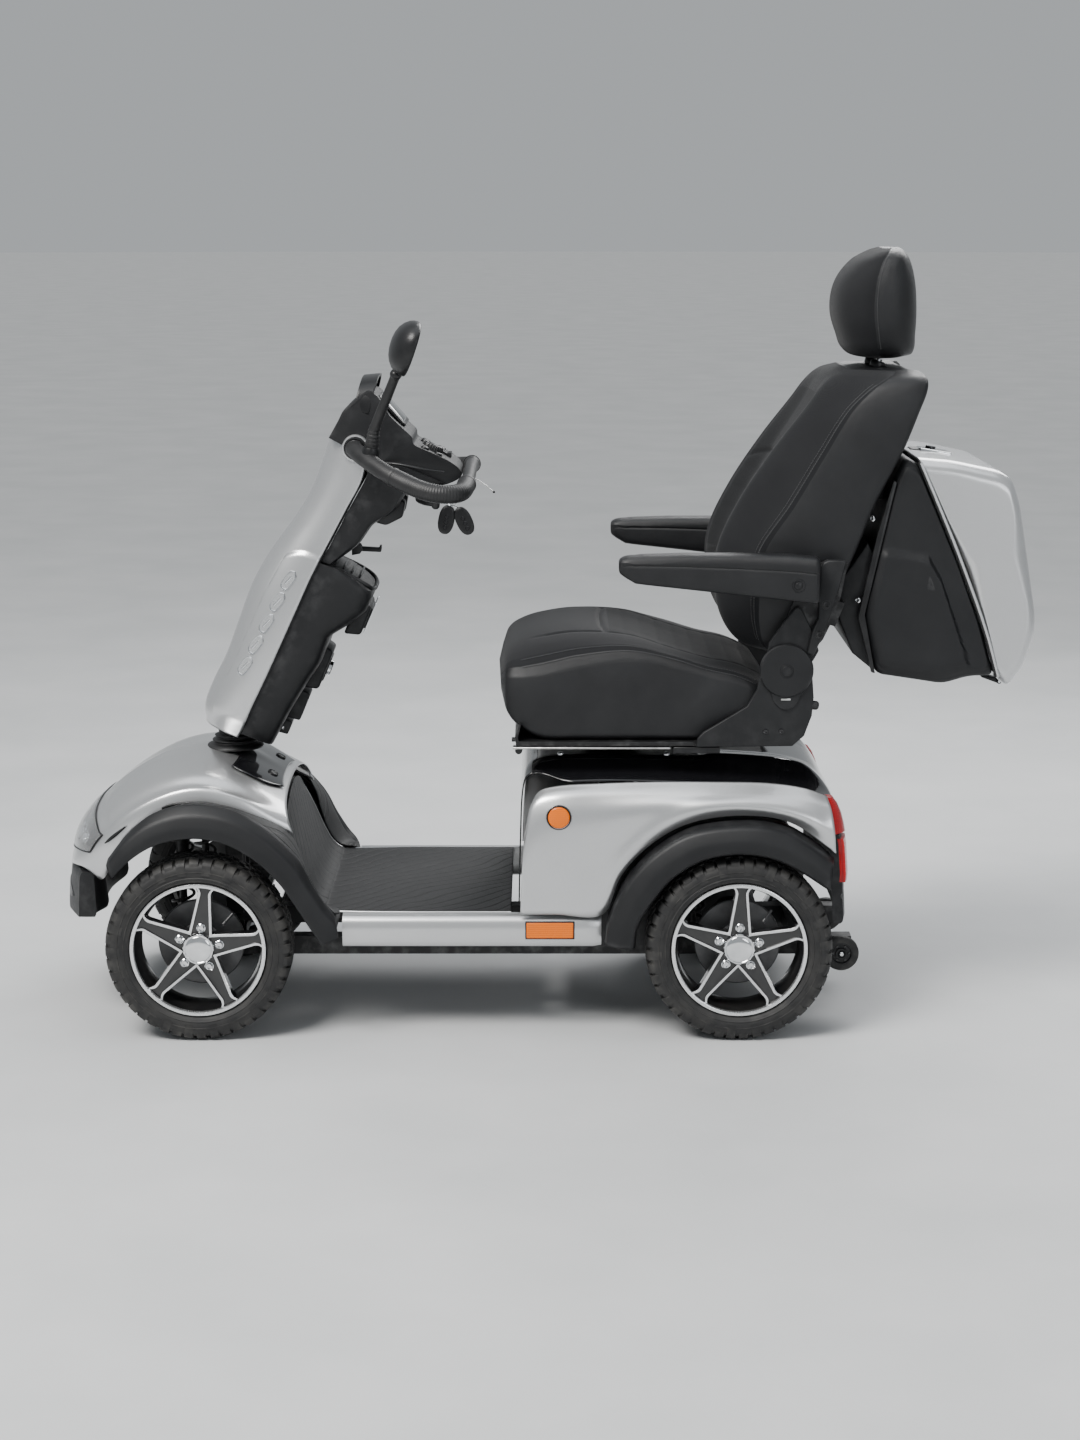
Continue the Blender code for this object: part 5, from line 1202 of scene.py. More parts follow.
def rear_body():
    fine = [path([(x, y, z) for y, z in row], 10) for row, x in
            ((RP_TOP, 0.2640), (RP_SH, 0.2860), (RP_MID, 0.3000), (RP_LOW, 0.2985))]
    cols = len(fine[0])
    g = []
    for j in range(37):
        t = j / 36
        row = []
        for i in range(cols):
            c = [f[i] for f in fine]
            # smooth cross line through the four rows
            s = t * 3
            k = min(int(s), 2)
            a = c[max(k - 1, 0)] if k > 0 else c[0] * 2 - c[1]
            d = c[k + 2] if k < 2 else c[3] * 2 - c[2]
            p = cr(a, c[k], c[k + 1], d, s - k)
            row.append(p)
        g.append(row)
    # sculpting, outwards along X: flare ridge above the arch, hollow above that
    for j, row in enumerate(g):
        for i, p in enumerate(row):
            r = math.hypot(p.y - 0.387, (p.z - 0.180) * 1.02)
            on = sstep(0.085, 0.16, p.y) * (1 - sstep(0.52, 0.56, p.y))
            ridge = math.exp(-((r - 0.288) / 0.016) ** 2)
            hollow = math.exp(-((r - 0.262) / 0.012) ** 2) * sstep(0.17, 0.24, p.y) * (1 - sstep(0.47, 0.55, p.y))
            e = min(1.0, j / 5)
            p.x += (0.0045 * ridge - 0.0075 * hollow) * on * e
            # waist swell ahead of the wheel
            p.x += 0.0035 * math.exp(-((p.y - 0.035) / 0.06) ** 2) * math.sin(math.pi * min(1, j / 36))
    ob = skin("vis_rear_panel_left", g, 0.0028, "silver", "chassis", "silver_paint", angle=60)
    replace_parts(ob, "rear_panel_left")
    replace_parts(twin(ob, "vis_rear_panel_right"), "rear_panel_right")
    # gloss cover
    COV = [(-0.0420, 0.2480, 0.2200, 0.0), (-0.0400, 0.3500, 0.2250, 0.0), (-0.0350, 0.4700, 0.2300, 0.0),
           (-0.0200, 0.5150, 0.2320, 0.010), (0.0200, 0.5290, 0.2340, 0.022), (0.1450, 0.5310, 0.2360, 0.020),
           (0.3000, 0.5280, 0.2360, 0.022), (0.4200, 0.5220, 0.2360, 0.024), (0.4950, 0.5120, 0.2340, 0.022),
           (0.5350, 0.4940, 0.2320, 0.016), (0.5640, 0.4600, 0.2280, 0.010), (0.5760, 0.4250, 0.2260, 0.006),
           (0.5800, 0.4000, 0.2240, 0.0)]
    line = path([(0, y, z) for y, z, w, d in COV], 8)
    wd = path([(w, 0, d) for y, z, w, d in COV], 8)
    g = []
    for p, q in zip(line, wd):
        row = []
        for c in spread(-1, 1, 56):
            a = abs(c)
            fall = sstep(0.70, 1.0, a) ** 1.6
            x = c * (q.x + 0.026 * sstep(0.86, 1.0, a) * sstep(0.0, 0.06, p.y))
            z = p.z - (q.z + 0.012 * sstep(0.0, 0.06, p.y)) * fall
            y = p.y
            # raised tail: two ridges and a shallow tray between them
            tail = sstep(0.29, 0.34, y) * (1 - sstep(0.50, 0.56, y))
            z += 0.0075 * tail * math.exp(-((a - 0.74) / 0.11) ** 2)
            z -= 0.0030 * tail * (1 - sstep(0.35, 0.55, a))
            # joints
            if abs(y - 0.318) < 0.0022 or abs(y + 0.010) < 0.0022:
                z -= 0.0016
            row.append(Vector((x, y, z)))
        g.append(row)
    ob = skin("vis_rear_top_cover", g, 0.0028, "gloss", "chassis", "gloss_black", angle=60)
    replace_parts(ob, "rear_top_cover")
    # boot and collar round the seat post
    prof = [(0.024, 0.530), (0.070, 0.5305), (0.074, 0.5325), (0.072, 0.5350), (0.064, 0.5365), (0.062, 0.5395), (0.056, 0.5410), (0.054, 0.5440), (0.047, 0.5465), (0.024, 0.5480)]
    ob = lathe("vis_seat_post", [(0.0, 0.104), (0.0278, 0.104), (0.0278, 0.530)] + prof[1:] + [(0.0, 0.5480)], (0, POST_Y, 0), (0, 0, 1), "smooth", "chassis", "textured_black", seg=64)
    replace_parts(ob, "seat_post")
    for k, (x, y) in enumerate(((0.168, 0.246), (-0.168, 0.246), (0.168, 0.040), (-0.168, 0.040))):
        z = 0.530 if y > 0.1 else 0.5310
        screw("vis_cover_bolt_%d" % k, (x, y, z), (0, 0, 1), 0.0062, 0.0050, "chassis")
    # rear bumper with lower grille
    rings = []
    for x in spread(-0.2890, 0.2890, 60):
        e = (abs(x) / 0.289) ** 4
        y1 = 0.5985 - 0.015 * e
        rings.append([(x, y1 - 0.020, 0.2250), (x, y1 - 0.006, 0.2225), (x, y1 - 0.0015, 0.2260), (x, y1, 0.2330), (x, y1 - 0.002, 0.2700), (x, y1 - 0.006, 0.2745),
                      (x, y1 - 0.006, 0.2790), (x, y1 - 0.0025, 0.2830), (x, y1 - 0.009, 0.3900), (x, y1 - 0.012, 0.3968), (x, y1 - 0.018, 0.3985), (x, y1 - 0.030, 0.3985)])
    ob = loft("vis_rear_bumper", rings, "grain", "chassis", "textured_black", angle=40)
    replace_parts(ob, "rear_bumper")
    # grille slats, plain
    for k in range(5):
        z = 0.3060 + 0.0150 * k
        y = 0.5985 - 0.0065 * (z - 0.283) / 0.107
        prism("vis_tail_slat_%d" % k, [(y - 0.006, z), (y - 0.0005, z + 0.0008), (y - 0.0012, z + 0.0062), (y - 0.006, z + 0.0066)], -0.105, 0.105, "gloss", "chassis", "gloss_black", 0.0008, 2)
    # lamps: upper lens at the hip, lower lens on the corner, on each side
    for sx, nm in ((1, "left"), (-1, "right")):
        bits = []
        rows = []
        for z, y0, xa, xb in ((0.3990, 0.5850, 0.2280, 0.2900), (0.4150, 0.5820, 0.2275, 0.2895), (0.4350, 0.5765, 0.2280, 0.2860), (0.4520, 0.5690, 0.2290, 0.2800), (0.4640, 0.5600, 0.2300, 0.2720)):
            ring = []
            for k in range(13):
                t = k / 12
                x = xa + (xb - xa) * t
                y = y0 + 0.004 * math.sin(math.pi * t) - 0.020 * t ** 3
                ring.append((x, y, z))
            back = [(xb - 0.004, y0 - 0.032, z), (xa, y0 - 0.016, z)]
            rows.append([(sx * a, b, c) for a, b, c in ring + back])
        ob = loft("vis_tail_light_" + nm, rows if sx > 0 else [r[::-1] for r in rows], "red", "chassis", "red_lens", angle=40)
        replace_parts(ob, "tail_light_" + nm)
        rows = []
        for z, y0 in ((0.3050, 0.5905), (0.3200, 0.5915), (0.3500, 0.5895), (0.3760, 0.5875), (0.3900, 0.5850)):
            ring = []
            for k in range(11):
                t = k / 10
                x = 0.236 + 0.056 * t
                e = (x / 0.289) ** 4
                y = y0 + 0.0095 - 0.014 * e + 0.0015 * math.sin(math.pi * t)
                ring.append((x, y, z))
            rows.append([(sx * a, b, c) for a, b, c in ring + [(0.288, y0 - 0.020, z), (0.236, y0 - 0.010, z)]])
        loft("vis_tail_light_low_" + nm, rows if sx > 0 else [r[::-1] for r in rows], "red", "chassis", "red_lens", angle=40)
        # round side reflector
        a = lathe("sr_ring", [(0.0205, 0.002), (0.0225, 0.0055), (0.0238, 0.0052), (0.0245, 0.0)], (sx * 0.3005, 0.036, 0.4350), (sx, 0, 0), "smooth", None, None, seg=48)
        b = lathe("sr_lens", [(0, 0.0078), (0.012, 0.0076), (0.0190, 0.0066), (0.0208, 0.0050), (0.0208, -0.001), (0, -0.001)], (sx * 0.3005, 0.036, 0.4350), (sx, 0, 0), "amber", None, None, seg=48)
        ob = merge("vis_side_reflector_" + nm, [a, b], "chassis", "amber_lens", 30)
        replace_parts(ob, "side_reflector_" + nm)


rear_body()



# ================================================================== tiller
TIL = [(0.004, 0.078, -0.070, 0.002), (0.030, 0.092, -0.083, 0.005), (0.075, 0.100, -0.085, 0.006),
       (0.140, 0.106, -0.080, 0.010), (0.210, 0.109, -0.082, 0.013), (0.290, 0.109, -0.084, 0.016),
       (0.350, 0.107, -0.077, 0.018), (0.395, 0.105, -0.067, 0.0215), (0.450, 0.103, -0.053, 0.027),
       (0.510, 0.102, -0.044, 0.033), (0.570, 0.102, -0.045, 0.039), (0.622, 0.103, -0.049, 0.030)]


def til_point(s, t, out=0.0):
    """t from -1 to 1 round the front of the tiller."""
    w, qf, qs = cub(TIL, s)
    a = t * math.pi / 2
    cs, sn = math.cos(a), math.sin(a)
    at = abs(t)
    # lower cover: flat cheeks on each side that stand proud below s = 0.40
    low = 1 - sstep(0.392, 0.404, s)
    x = math.copysign(abs(sn) ** 0.62, sn) * w if abs(sn) > 1e-9 else 0.0
    q = qs + (qf - qs) * max(cs, 0.0) ** 0.80
    p = sq(x, s, q)
    # raised cheek panel: round top at about s 0.40, bounded in front by a line that drifts forward lower down
    edge = 0.50 + 0.10 * sstep(0.05, 0.36, s)
    top = 0.398 - 0.020 * max(0.0, (0.90 - at) / 0.30) ** 2
    panel = sstep(edge - 0.012, edge + 0.012, at) * (1 - sstep(top - 0.005, top + 0.005, s)) * sstep(0.020, 0.045, s)
    lift = 0.0042 * panel + out
    n = Vector((math.copysign(abs(sn) ** 0.6, sn), 0, 0)) + (sq(0, s, -1) - sq(0, s, 0)) * max(cs, 0.0) ** 0.8
    if n.length > 1e-9:
        p = p + n.normalized() * lift
    return p


def til_u(i, n):
    return -1 + 2 * i / n


def tiller_front():
    ns, nt = 150, 120
    g = []
    for i in range(ns + 1):
        s = 0.002 + 0.620 * i / ns
        row = []
        for j in range(nt + 1):
            t = til_u(j, nt)
            row.append(til_point(s, t))
        g.append(row)
    ob = skin("vis_tiller_front", g, 0.0028, "silver", "tiller", "silver_paint", flip=True, angle=45)
    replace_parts(ob, "tiller_front_shell")
    # chin that closes the lower end
    n = 40
    a = [til_point(0.004, til_u(j, n)) for j in range(n + 1)]
    rows = []
    for k in range(5):
        t = k / 4
        c = sq(0, -0.004 - 0.010 * t, -0.020)
        rows.append([p.lerp(Vector((p.x * 0.3, c.y, c.z)), t ** 1.4) for p in a])
    skin("vis_tiller_chin", rows, 0.002, "silver", "tiller", "silver_paint", angle=60)
    # five bright slots down each cheek
    dg = bpy.context.evaluated_depsgraph_get()
    dg.update()
    ev = ob.evaluated_get(dg)
    inv = ob.matrix_world.inverted()

    def cast(y, z, fallback):
        o_ = inv @ Vector((0.30, y, z))
        d_ = (inv @ Vector((-0.30, y, z)) - o_).normalized()
        ok, loc, _, _ = ev.ray_cast(o_, d_)
        return (ob.matrix_world @ loc).x if ok else fallback
    for sx, nm in ((1, "left"), (-1, "right")):
        bits = []
        for k in range(5):
            s0 = 0.336 - 0.0475 * k
            q0 = -0.0190 - 0.0042 * k
            w, qf, qs = cub(TIL, s0)
            X = w + 0.0020
            # slot: slanted lozenge, bright frame, bright bed
            sh = [(-0.019, -0.0085), (-0.008, -0.0130), (0.019, -0.0045), (0.022, 0.0060), (0.010, 0.0120), (-0.020, 0.0030)]
            dirq = sx
            out_ = [sq(0, s0 + a, q0 + b * 1.0) for a, b in sh]

            def xat(p):
                ss = (p.y - TIL_Y) * math.sin(LEAN) + (p.z - TIL_Z) * math.cos(LEAN)
                qq = (p.y - TIL_Y) * math.cos(LEAN) - (p.z - TIL_Z) * math.sin(LEAN)
                wv, f, sp = cub(TIL, ss)
                r = max(0.0, min(1.0, (qq - sp) / (f - sp)))
                cs = r ** (1 / 0.80)
                sn = math.sqrt(max(0.0, 1 - cs * cs))
                return cast(p.y, p.z, sn ** 0.62 * wv) + 0.0006
            ring = []
            m = len(out_)
            loop = []
            for i in range(m):
                a, b, c = out_[i - 1], out_[i], out_[(i + 1) % m]
                p0, p1 = b.lerp(a, 0.30), b.lerp(c, 0.30)
                for t in (0, 0.33, 0.66, 1.0):
                    loop.append(p0 * (1 - t) ** 2 + b * (2 * t * (1 - t)) + p1 * t * t)
            cen = sum(loop, Vector()) / len(loop)
            prof = [(1.06, -0.0060), (1.06, 0.0006), (1.00, 0.0016), (0.90, 0.0014), (0.84, 0.0002), (0.80, -0.0030)]
            rings = []
            for sc, dx in prof:
                r = []
                for p in loop:
                    q = cen.lerp(p, sc)
                    r.append((sx * (xat(q) + dx), q.y, q.z))
                rings.append(r)
            bits.append(loft("slf", rings, "chrome", None, None, caps=False, angle=35))
            bed = [(sx * (xat(cen.lerp(p, 0.84)) + 0.0002), cen.lerp(p, 0.84).y, cen.lerp(p, 0.84).z) for p in loop]
            deep = [(sx * (xat(cen.lerp(p, 0.84)) - 0.0040), cen.lerp(p, 0.84).y, cen.lerp(p, 0.84).z) for p in loop]
            bits.append(loft("slb", [bed, deep], "machined", None, None, caps=True, angle=35))
            # small light bar inside, slanted
            b0, b1 = cen.lerp(loop[2], 0.50), cen.lerp(loop[len(loop) // 2 + 2], 0.50)
            bits.append(sweep("sli", [Vector((sx * (xat(b0) - 0.0008), b0.y, b0.z)), Vector((sx * (xat(b1) - 0.0008), b1.y, b1.z))], 0.0022, "chrome", None, None, 10))
        merge("vis_tiller_slots_" + nm, bits, "tiller", "silver_paint", 35)
    # narrow joint line where the halves meet
    for sx, nm in ((1, "left"), (-1, "right")):
        pts = [til_point(0.012 + 0.60 * k / 40, sx * 1.0) for k in range(41)]
        sweep("vis_tiller_joint_" + nm, [p + Vector((sx * 0.0002, 0.0008, 0)) for p in pts], 0.0016, "smooth", "tiller", "textured_black", 8)


tiller_front()


def tiller_rear():
    L = [(0.012, 0.0085), (0.012, 0.070), (0.083, 0.0775), (0.152, 0.088), (0.205, 0.099), (0.262, 0.097),
         (0.300, 0.126), (0.332, 0.143), (0.365, 0.1440), (0.379, 0.137), (0.391, 0.080), (0.3915, 0.0245),
         (0.350, 0.0215), (0.290, 0.0195), (0.210, 0.0165), (0.140, 0.0135), (0.075, 0.0095)]
    # side cheeks taper towards the rear
    rings = []
    cen = Vector((0, *yz(0.20, 0.030)))
    xs = [0.1035, 0.1030, 0.1000, 0.0930, 0.0800, 0.0600, 0.0]
    kk = [0.0, 0.004, 0.012, 0.026, 0.034, 0.037, 0.038]
    outline = [Vector((0, *yz(s, q))) for s, q in L]

    def ring(x, f):
        r = []
        for s, q in L:
            base = 0.010
            # the back face narrows sideways as it comes rearward
            r.append(sq(x, s, q))
        return r
    # build as rows along q: front plane at full width, rear plane narrower
    def halfw(s, q):
        w = cub(TIL, s)[0]
        t = max(0.0, min(1.0, (q - 0.020) / 0.10))
        return w + 0.0012 - 0.004 * t - 0.020 * sstep(0.55, 1.0, t)
    n = 46
    rows = []
    for k in range(n + 1):
        s = 0.012 + 0.3790 * k / n
        # rear line of the side outline at this s
        rear = lin([(0.012, 0.070), (0.083, 0.0775), (0.152, 0.088), (0.205, 0.099), (0.262, 0.097), (0.300, 0.126), (0.332, 0.143), (0.365, 0.1440), (0.379, 0.137), (0.391, 0.080)], s)[0]
        front = cub(TIL, s)[2] + 0.001
        line = []
        prof = [(1.0, 0.0), (1.0, 0.35), (0.985, 0.62), (0.955, 0.80), (0.90, 0.91), (0.80, 0.975), (0.62, 1.0), (0.30, 1.0), (0.0, 1.0)]
        half = []
        for fx, fq in prof:
            q = front + (rear - front) * fq
            half.append((halfw(s, front) * fx, q))
        pts = [sq(x, s, q) for x, q in half] + [sq(-x, s, q) for x, q in half[-2::-1]]
        rows.append(pts)
    ob = loft("vis_tiller_rear", rows, "grain", "tiller", "textured_black", caps=True, angle=32)
    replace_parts(ob, "tiller_rear_shell")
    # pieces on the back of it: pocket with lid, door with bright edge, ring box, small box
    def qbox(name, s0, s1, q0, q1, hw, mat, bev=0.004, taper=0.0):
        pts = [yz(s0, q0), yz(s0 + taper, q1), yz(s1 - taper, q1), yz(s1, q0)]
        return prism(name, pts, -hw, hw, mat, None, None, bev, 3)
    bits = [qbox("rb1", 0.066, 0.132, 0.070, 0.1020, 0.034, "grain", 0.004, 0.004),
            qbox("rb2", 0.030, 0.062, 0.066, 0.0900, 0.026, "smooth", 0.003, 0.003),
            qbox("rb3", 0.138, 0.236, 0.080, 0.1130, 0.050, "grain", 0.006, 0.008),
            qbox("rb4", 0.160, 0.214, 0.1100, 0.1155, 0.034, "smooth", 0.002, 0.003),
            qbox("rb5", 0.272, 0.352, 0.1180, 0.1500, 0.066, "grain", 0.006, 0.010),
            qbox("rb6", 0.292, 0.340, 0.1480, 0.1530, 0.050, "smooth", 0.002, 0.004)]
    c = sq(0.030, 0.150, 0.096)
    bits.append(lathe("rb7", [(0.010, 0), (0.0165, 0.0), (0.0165, 0.006), (0.0150, 0.0075), (0.0115, 0.006), (0.010, 0.002)], sq(0.0, 0.186, 0.1150), (0, math.cos(LEAN), -math.sin(LEAN)), "chrome", None, None, seg=40, ring=True))
    bits.append(prism("rb8", [yz(0.284, 0.1530), yz(0.284, 0.1560), yz(0.350, 0.1560), yz(0.350, 0.1530)], 0.044, 0.050, "chrome", None, None, 0.001, 2))
    bits.append(prism("rb9", [yz(0.284, 0.1530), yz(0.284, 0.1560), yz(0.350, 0.1560), yz(0.350, 0.1530)], -0.050, -0.044, "chrome", None, None, 0.001, 2))
    for k, (s, q, x) in enumerate(((0.020, 0.0650, 0.060), (0.020, 0.0650, -0.060))):
        bits.append(screw("rbs%d" % k, sq(x, s + 0.03, q + 0.011), (0, math.cos(LEAN), -math.sin(LEAN)), 0.0045, 0.0022, None))
    merge("vis_tiller_stowage", bits, "tiller", "textured_black", 35)
    # open pocket rim on the top of the lower housing
    rim = [(0.090, 0.386, 0.030), (0.0905, 0.388, 0.080), (0.084, 0.383, 0.122), (0.060, 0.377, 0.139), (0.0, 0.376, 0.142)]
    pts = [sq(x, s, q) for x, s, q in rim] + [sq(-x, s, q) for x, s, q in rim[-2::-1]]
    sweep("vis_pocket_rim", path(pts, 6), 0.0042, "grain", "tiller", "textured_black", 12)
    # battery of ribs inside the pocket mouth
    bits = []
    for k in range(4):
        bits.append(prism("pk%d" % k, [yz(0.385, 0.050 + 0.018 * k), yz(0.3935, 0.050 + 0.018 * k), yz(0.3935, 0.054 + 0.018 * k), yz(0.385, 0.054 + 0.018 * k)], -0.060, 0.060, "smooth", None, None, 0.0008, 2))
    merge("vis_pocket_ribs", bits, "tiller", "textured_black", 35)


tiller_rear()


def head():
    # dark crown on the silver shell: hood over the display, closing to the arm below
    nodes = ["head_console"]
    # side walls: arm from the lower pocket up to the console
    def sect(s):
        tab = [(0.394, 0.027, 0.046, 0.097), (0.447, 0.031, 0.079, 0.0985), (0.472, 0.034, 0.086, 0.0985), (0.498, 0.036, 0.093, 0.0985),
               (0.538, 0.041, 0.121, 0.0985), (0.584, 0.045, 0.133, 0.0985), (0.612, 0.036, 0.176, 0.0985), (0.626, 0.031, 0.196, 0.0985)]
        return cub(tab, s)
    rows = []
    for k in range(41):
        s = 0.394 + 0.232 * k / 40
        q0, q1, hw = sect(s)
        prof = [(1.0, 0.0), (1.0, 0.5), (0.985, 0.80), (0.94, 0.93), (0.86, 0.985), (0.70, 1.0), (0.35, 1.0), (0.0, 1.0)]
        half = [(hw * fx, q0 + (q1 - q0) * fq) for fx, fq in prof]
        rows.append([sq(x, s, q) for x, q in half] + [sq(-x, s, q) for x, q in half[-2::-1]])
    arm = loft("hc_arm", rows, "grain", None, None, caps=True, angle=32)
    # console: upper body from the shell's top to the rear lip
    C = [(0.6225, -0.0500), (0.6590, -0.0455), (0.6830, -0.0430), (0.7080, -0.0310), (0.7330, -0.0170), (0.7350, 0.0000), (0.7200, 0.0270),
         (0.7080, 0.0420), (0.6960, 0.0720), (0.6860, 0.0980), (0.6740, 0.1080), (0.6720, 0.1450), (0.6690, 0.1830), (0.6600, 0.2080),
         (0.6450, 0.2140), (0.6200, 0.1880), (0.6100, 0.1500), (0.6000, 0.1000), (0.6000, 0.0500), (0.6150, 0.0100)]
    hw = [0.1035, 0.1035, 0.1020, 0.0960, 0.0880, 0.0900, 0.0960, 0.1000, 0.1010, 0.1010, 0.1005, 0.0980, 0.0900, 0.0760,
          0.0740, 0.0880, 0.0960, 0.0985, 0.0985, 0.1000]
    loop = [Vector((h, s, q)) for (s, q), h in zip(C, hw)]
    loop = path(loop + [loop[0]], 4)[:-1]
    rings = []
    for f, sh in ((1.0, 0.0), (0.995, -0.0035), (0.975, -0.0060), (0.90, -0.0072), (0.70, -0.0078), (0.35, -0.0080), (0.0, -0.0080)):
        rings.append([sq(p.x * f * (1 if True else 1), p.y, p.z) for p in loop])
    body = []
    cy = sum(p.y for p in loop) / len(loop)
    cz = sum(p.z for p in loop) / len(loop)
    levels = [(1.0, 0.952), (0.992, 0.985), (0.970, 0.996), (0.90, 1.0), (0.60, 1.0), (0.30, 1.0), (0.0, 1.0), (-0.30, 1.0), (-0.60, 1.0), (-0.90, 1.0), (-0.970, 0.996), (-0.992, 0.985), (-1.0, 0.952)]
    for fx, sc in levels:
        body.append([sq(p.x * fx, cy + (p.y - cy) * sc, cz + (p.z - cz) * sc) for p in loop])
    con = loft("hc_body", body, "grain", None, None, caps=True, angle=30)
    ob = merge("vis_head_console", [arm, con], "tiller", "textured_black", 32)
    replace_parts(ob, "head_console")
    # hood: a thin arch that rises over the display and returns to the sides
    def hood(k, t):
        """k across (-1..1), t from front edge 0 to rear edge 1."""
        a = k * math.pi / 2
        sn, cs = math.sin(a), math.cos(a)
        s = 0.690 + (0.752 + 0.012 * t - 0.690) * cs ** 0.7 + 0.004 * t
        q = -0.026 + 0.030 * t + (-0.010 + 0.0 * t) * cs ** 0.7
        return sq(0.094 * math.copysign(abs(sn) ** 0.75, sn), s, q)
    g = [[hood(k, t) for k in spread(-1, 1, 48)] for t in spread(0, 1, 8)]
    skin("vis_head_hood", g, 0.0028, "smooth", "tiller", "textured_black", angle=60, rim=0.0008)
    # display on the sloping face, with a raised frame
    def face(x, f, lift):
        """Point on the face between (0.733,-0.010) and (0.690,0.088)."""
        s = 0.7300 + (0.6900 - 0.7300) * f
        q = 0.0060 + (0.0880 - 0.0060) * f
        d = Vector((0.6900 - 0.7300, 0.0880 - 0.0060)).normalized()
        return sq(x, s + d.y * lift, q - d.x * lift)

    def plate(nm, x0, x1, f0, f1, l0, l1, mat, r=0.004):
        c = [(x0, f0), (x1, f0), (x1, f1), (x0, f1)]
        lo, hi, top = [], [], []
        L = (face(0, 1, 0) - face(0, 0, 0)).length
        pts = []
        for i in range(4):
            a, b, d = Vector((c[i - 1][0], c[i - 1][1] * L)), Vector((c[i][0], c[i][1] * L)), Vector((c[(i + 1) % 4][0], c[(i + 1) % 4][1] * L))
            p0, p1 = b + (a - b).normalized() * r, b + (d - b).normalized() * r
            for t in (0, 0.25, 0.5, 0.75, 1.0):
                v = p0 * (1 - t) ** 2 + b * (2 * t * (1 - t)) + p1 * t * t
                pts.append((v.x, v.y / L))
        cx = (x0 + x1) / 2
        cf = (f0 + f1) / 2
        rr = [[face(x, f, l0) for x, f in pts], [face(x, f, l1 - 0.0006) for x, f in pts],
              [face(cx + (x - cx) * 0.985, cf + (f - cf) * 0.975, l1) for x, f in pts]]
        return loft(nm, rr, mat, None, None, caps=True, angle=30)
    merge("vis_display_frame", [plate("df", -0.070, 0.070, 0.02, 0.86, 0.0, 0.0046, "smooth", 0.010)], "tiller", "textured_black", 30)
    merge("vis_display", [plate("ds", -0.058, 0.058, 0.10, 0.78, 0.0030, 0.0052, "screen", 0.006)], "tiller", "gloss_black", 30)

    # flat deck behind the display with switches
    def deckp(x, f, lift):
        s = 0.6745 + (0.6700 - 0.6745) * f
        q = 0.1090 + (0.1900 - 0.1090) * f
        return sq(x, s + lift, q)
    bits = []
    up = (0, math.sin(LEAN), math.cos(LEAN))
    for k, (x, f, r, h) in enumerate(((-0.060, 0.20, 0.0085, 0.0045), (-0.036, 0.20, 0.0085, 0.0045), (-0.060, 0.62, 0.0085, 0.0045), (-0.036, 0.62, 0.0085, 0.0045),
                                      (0.080, 0.25, 0.0070, 0.0040), (0.080, 0.60, 0.0070, 0.0040), (0.0, 0.30, 0.0100, 0.0050))):
        p = deckp(x, f, 0.0)
        bits.append(lathe("sw%d" % k, [(0, h), (r * 0.7, h), (r * 0.92, h * 0.8), (r, h * 0.3), (r * 1.05, 0.0008), (r * 1.22, 0.0010), (r * 1.28, -0.002), (0, -0.002)], p, up, "smooth", None, None, seg=28))
    for k, (x, f) in enumerate(((-0.012, 0.80), (0.012, 0.80))):
        p = deckp(x, f, 0.001)
        bits.append(prism("rk%d" % k, [(p.y - 0.0095, p.z - 0.003), (p.y + 0.0085, p.z - 0.006), (p.y + 0.0085, p.z + 0.0045), (p.y, p.z + 0.0035), (p.y - 0.0095, p.z + 0.0085)], x - 0.0075, x + 0.0075, "smooth", None, None, 0.0012, 2))
    merge("vis_console_switches", bits, "tiller", "textured_black", 30)
    # slot lever lying above the bar on each side
    for sx, nm in ((1, "left"), (-1, "right")):
        pts = path([(sx * 0.1020, -0.3020, 1.0920), (sx * 0.1120, -0.2700, 1.0900), (sx * 0.1180, -0.2200, 1.0800), (sx * 0.1120, -0.1850, 1.0750)], 8)
        sweep("vis_side_paddle_" + nm, pts, [0.0030 + 0.0030 * math.sin(math.pi * min(1.0, 0.15 + i / (len(pts) - 1))) for i in range(len(pts))], "smooth", "tiller", "textured_black", 12, flat=0.5)
        # ring where the bar leaves the head
        c = Vector((sx * 0.1040, -0.3560, 1.1200))
        ax = (sx, 0, 0)
        a = lathe("gr1", [(0.0165, 0.0), (0.0165, 0.0075), (0.0180, 0.0092), (0.0205, 0.0090), (0.0212, 0.0070), (0.0212, -0.004)], c, ax, "smooth", None, None, seg=48)
        b = lathe("gr2", [(0.0212, -0.004), (0.0212, 0.0052), (0.0226, 0.0066), (0.0250, 0.0062), (0.0262, 0.0040), (0.0264, -0.004)], c, ax, "silver", None, None, seg=48)
        merge("vis_bar_ring_" + nm, [a, b], "tiller", "silver_paint", 30)
    # thin wire aerial with a bead
    a = path([(0.050, -0.1290, 1.0560), (0.052, -0.1120, 1.0470), (0.055, -0.0900, 1.0300)], 8)
    w = sweep("wa", a, 0.0012, "zinc", None, None, 8)
    b = lathe("wb", [(0, 0.003), (0.0022, 0.0015), (0.0026, 0), (0.0022, -0.0015), (0, -0.003)], a[-1], (0, 0.7, -0.7), "smooth", None, None, seg=12)
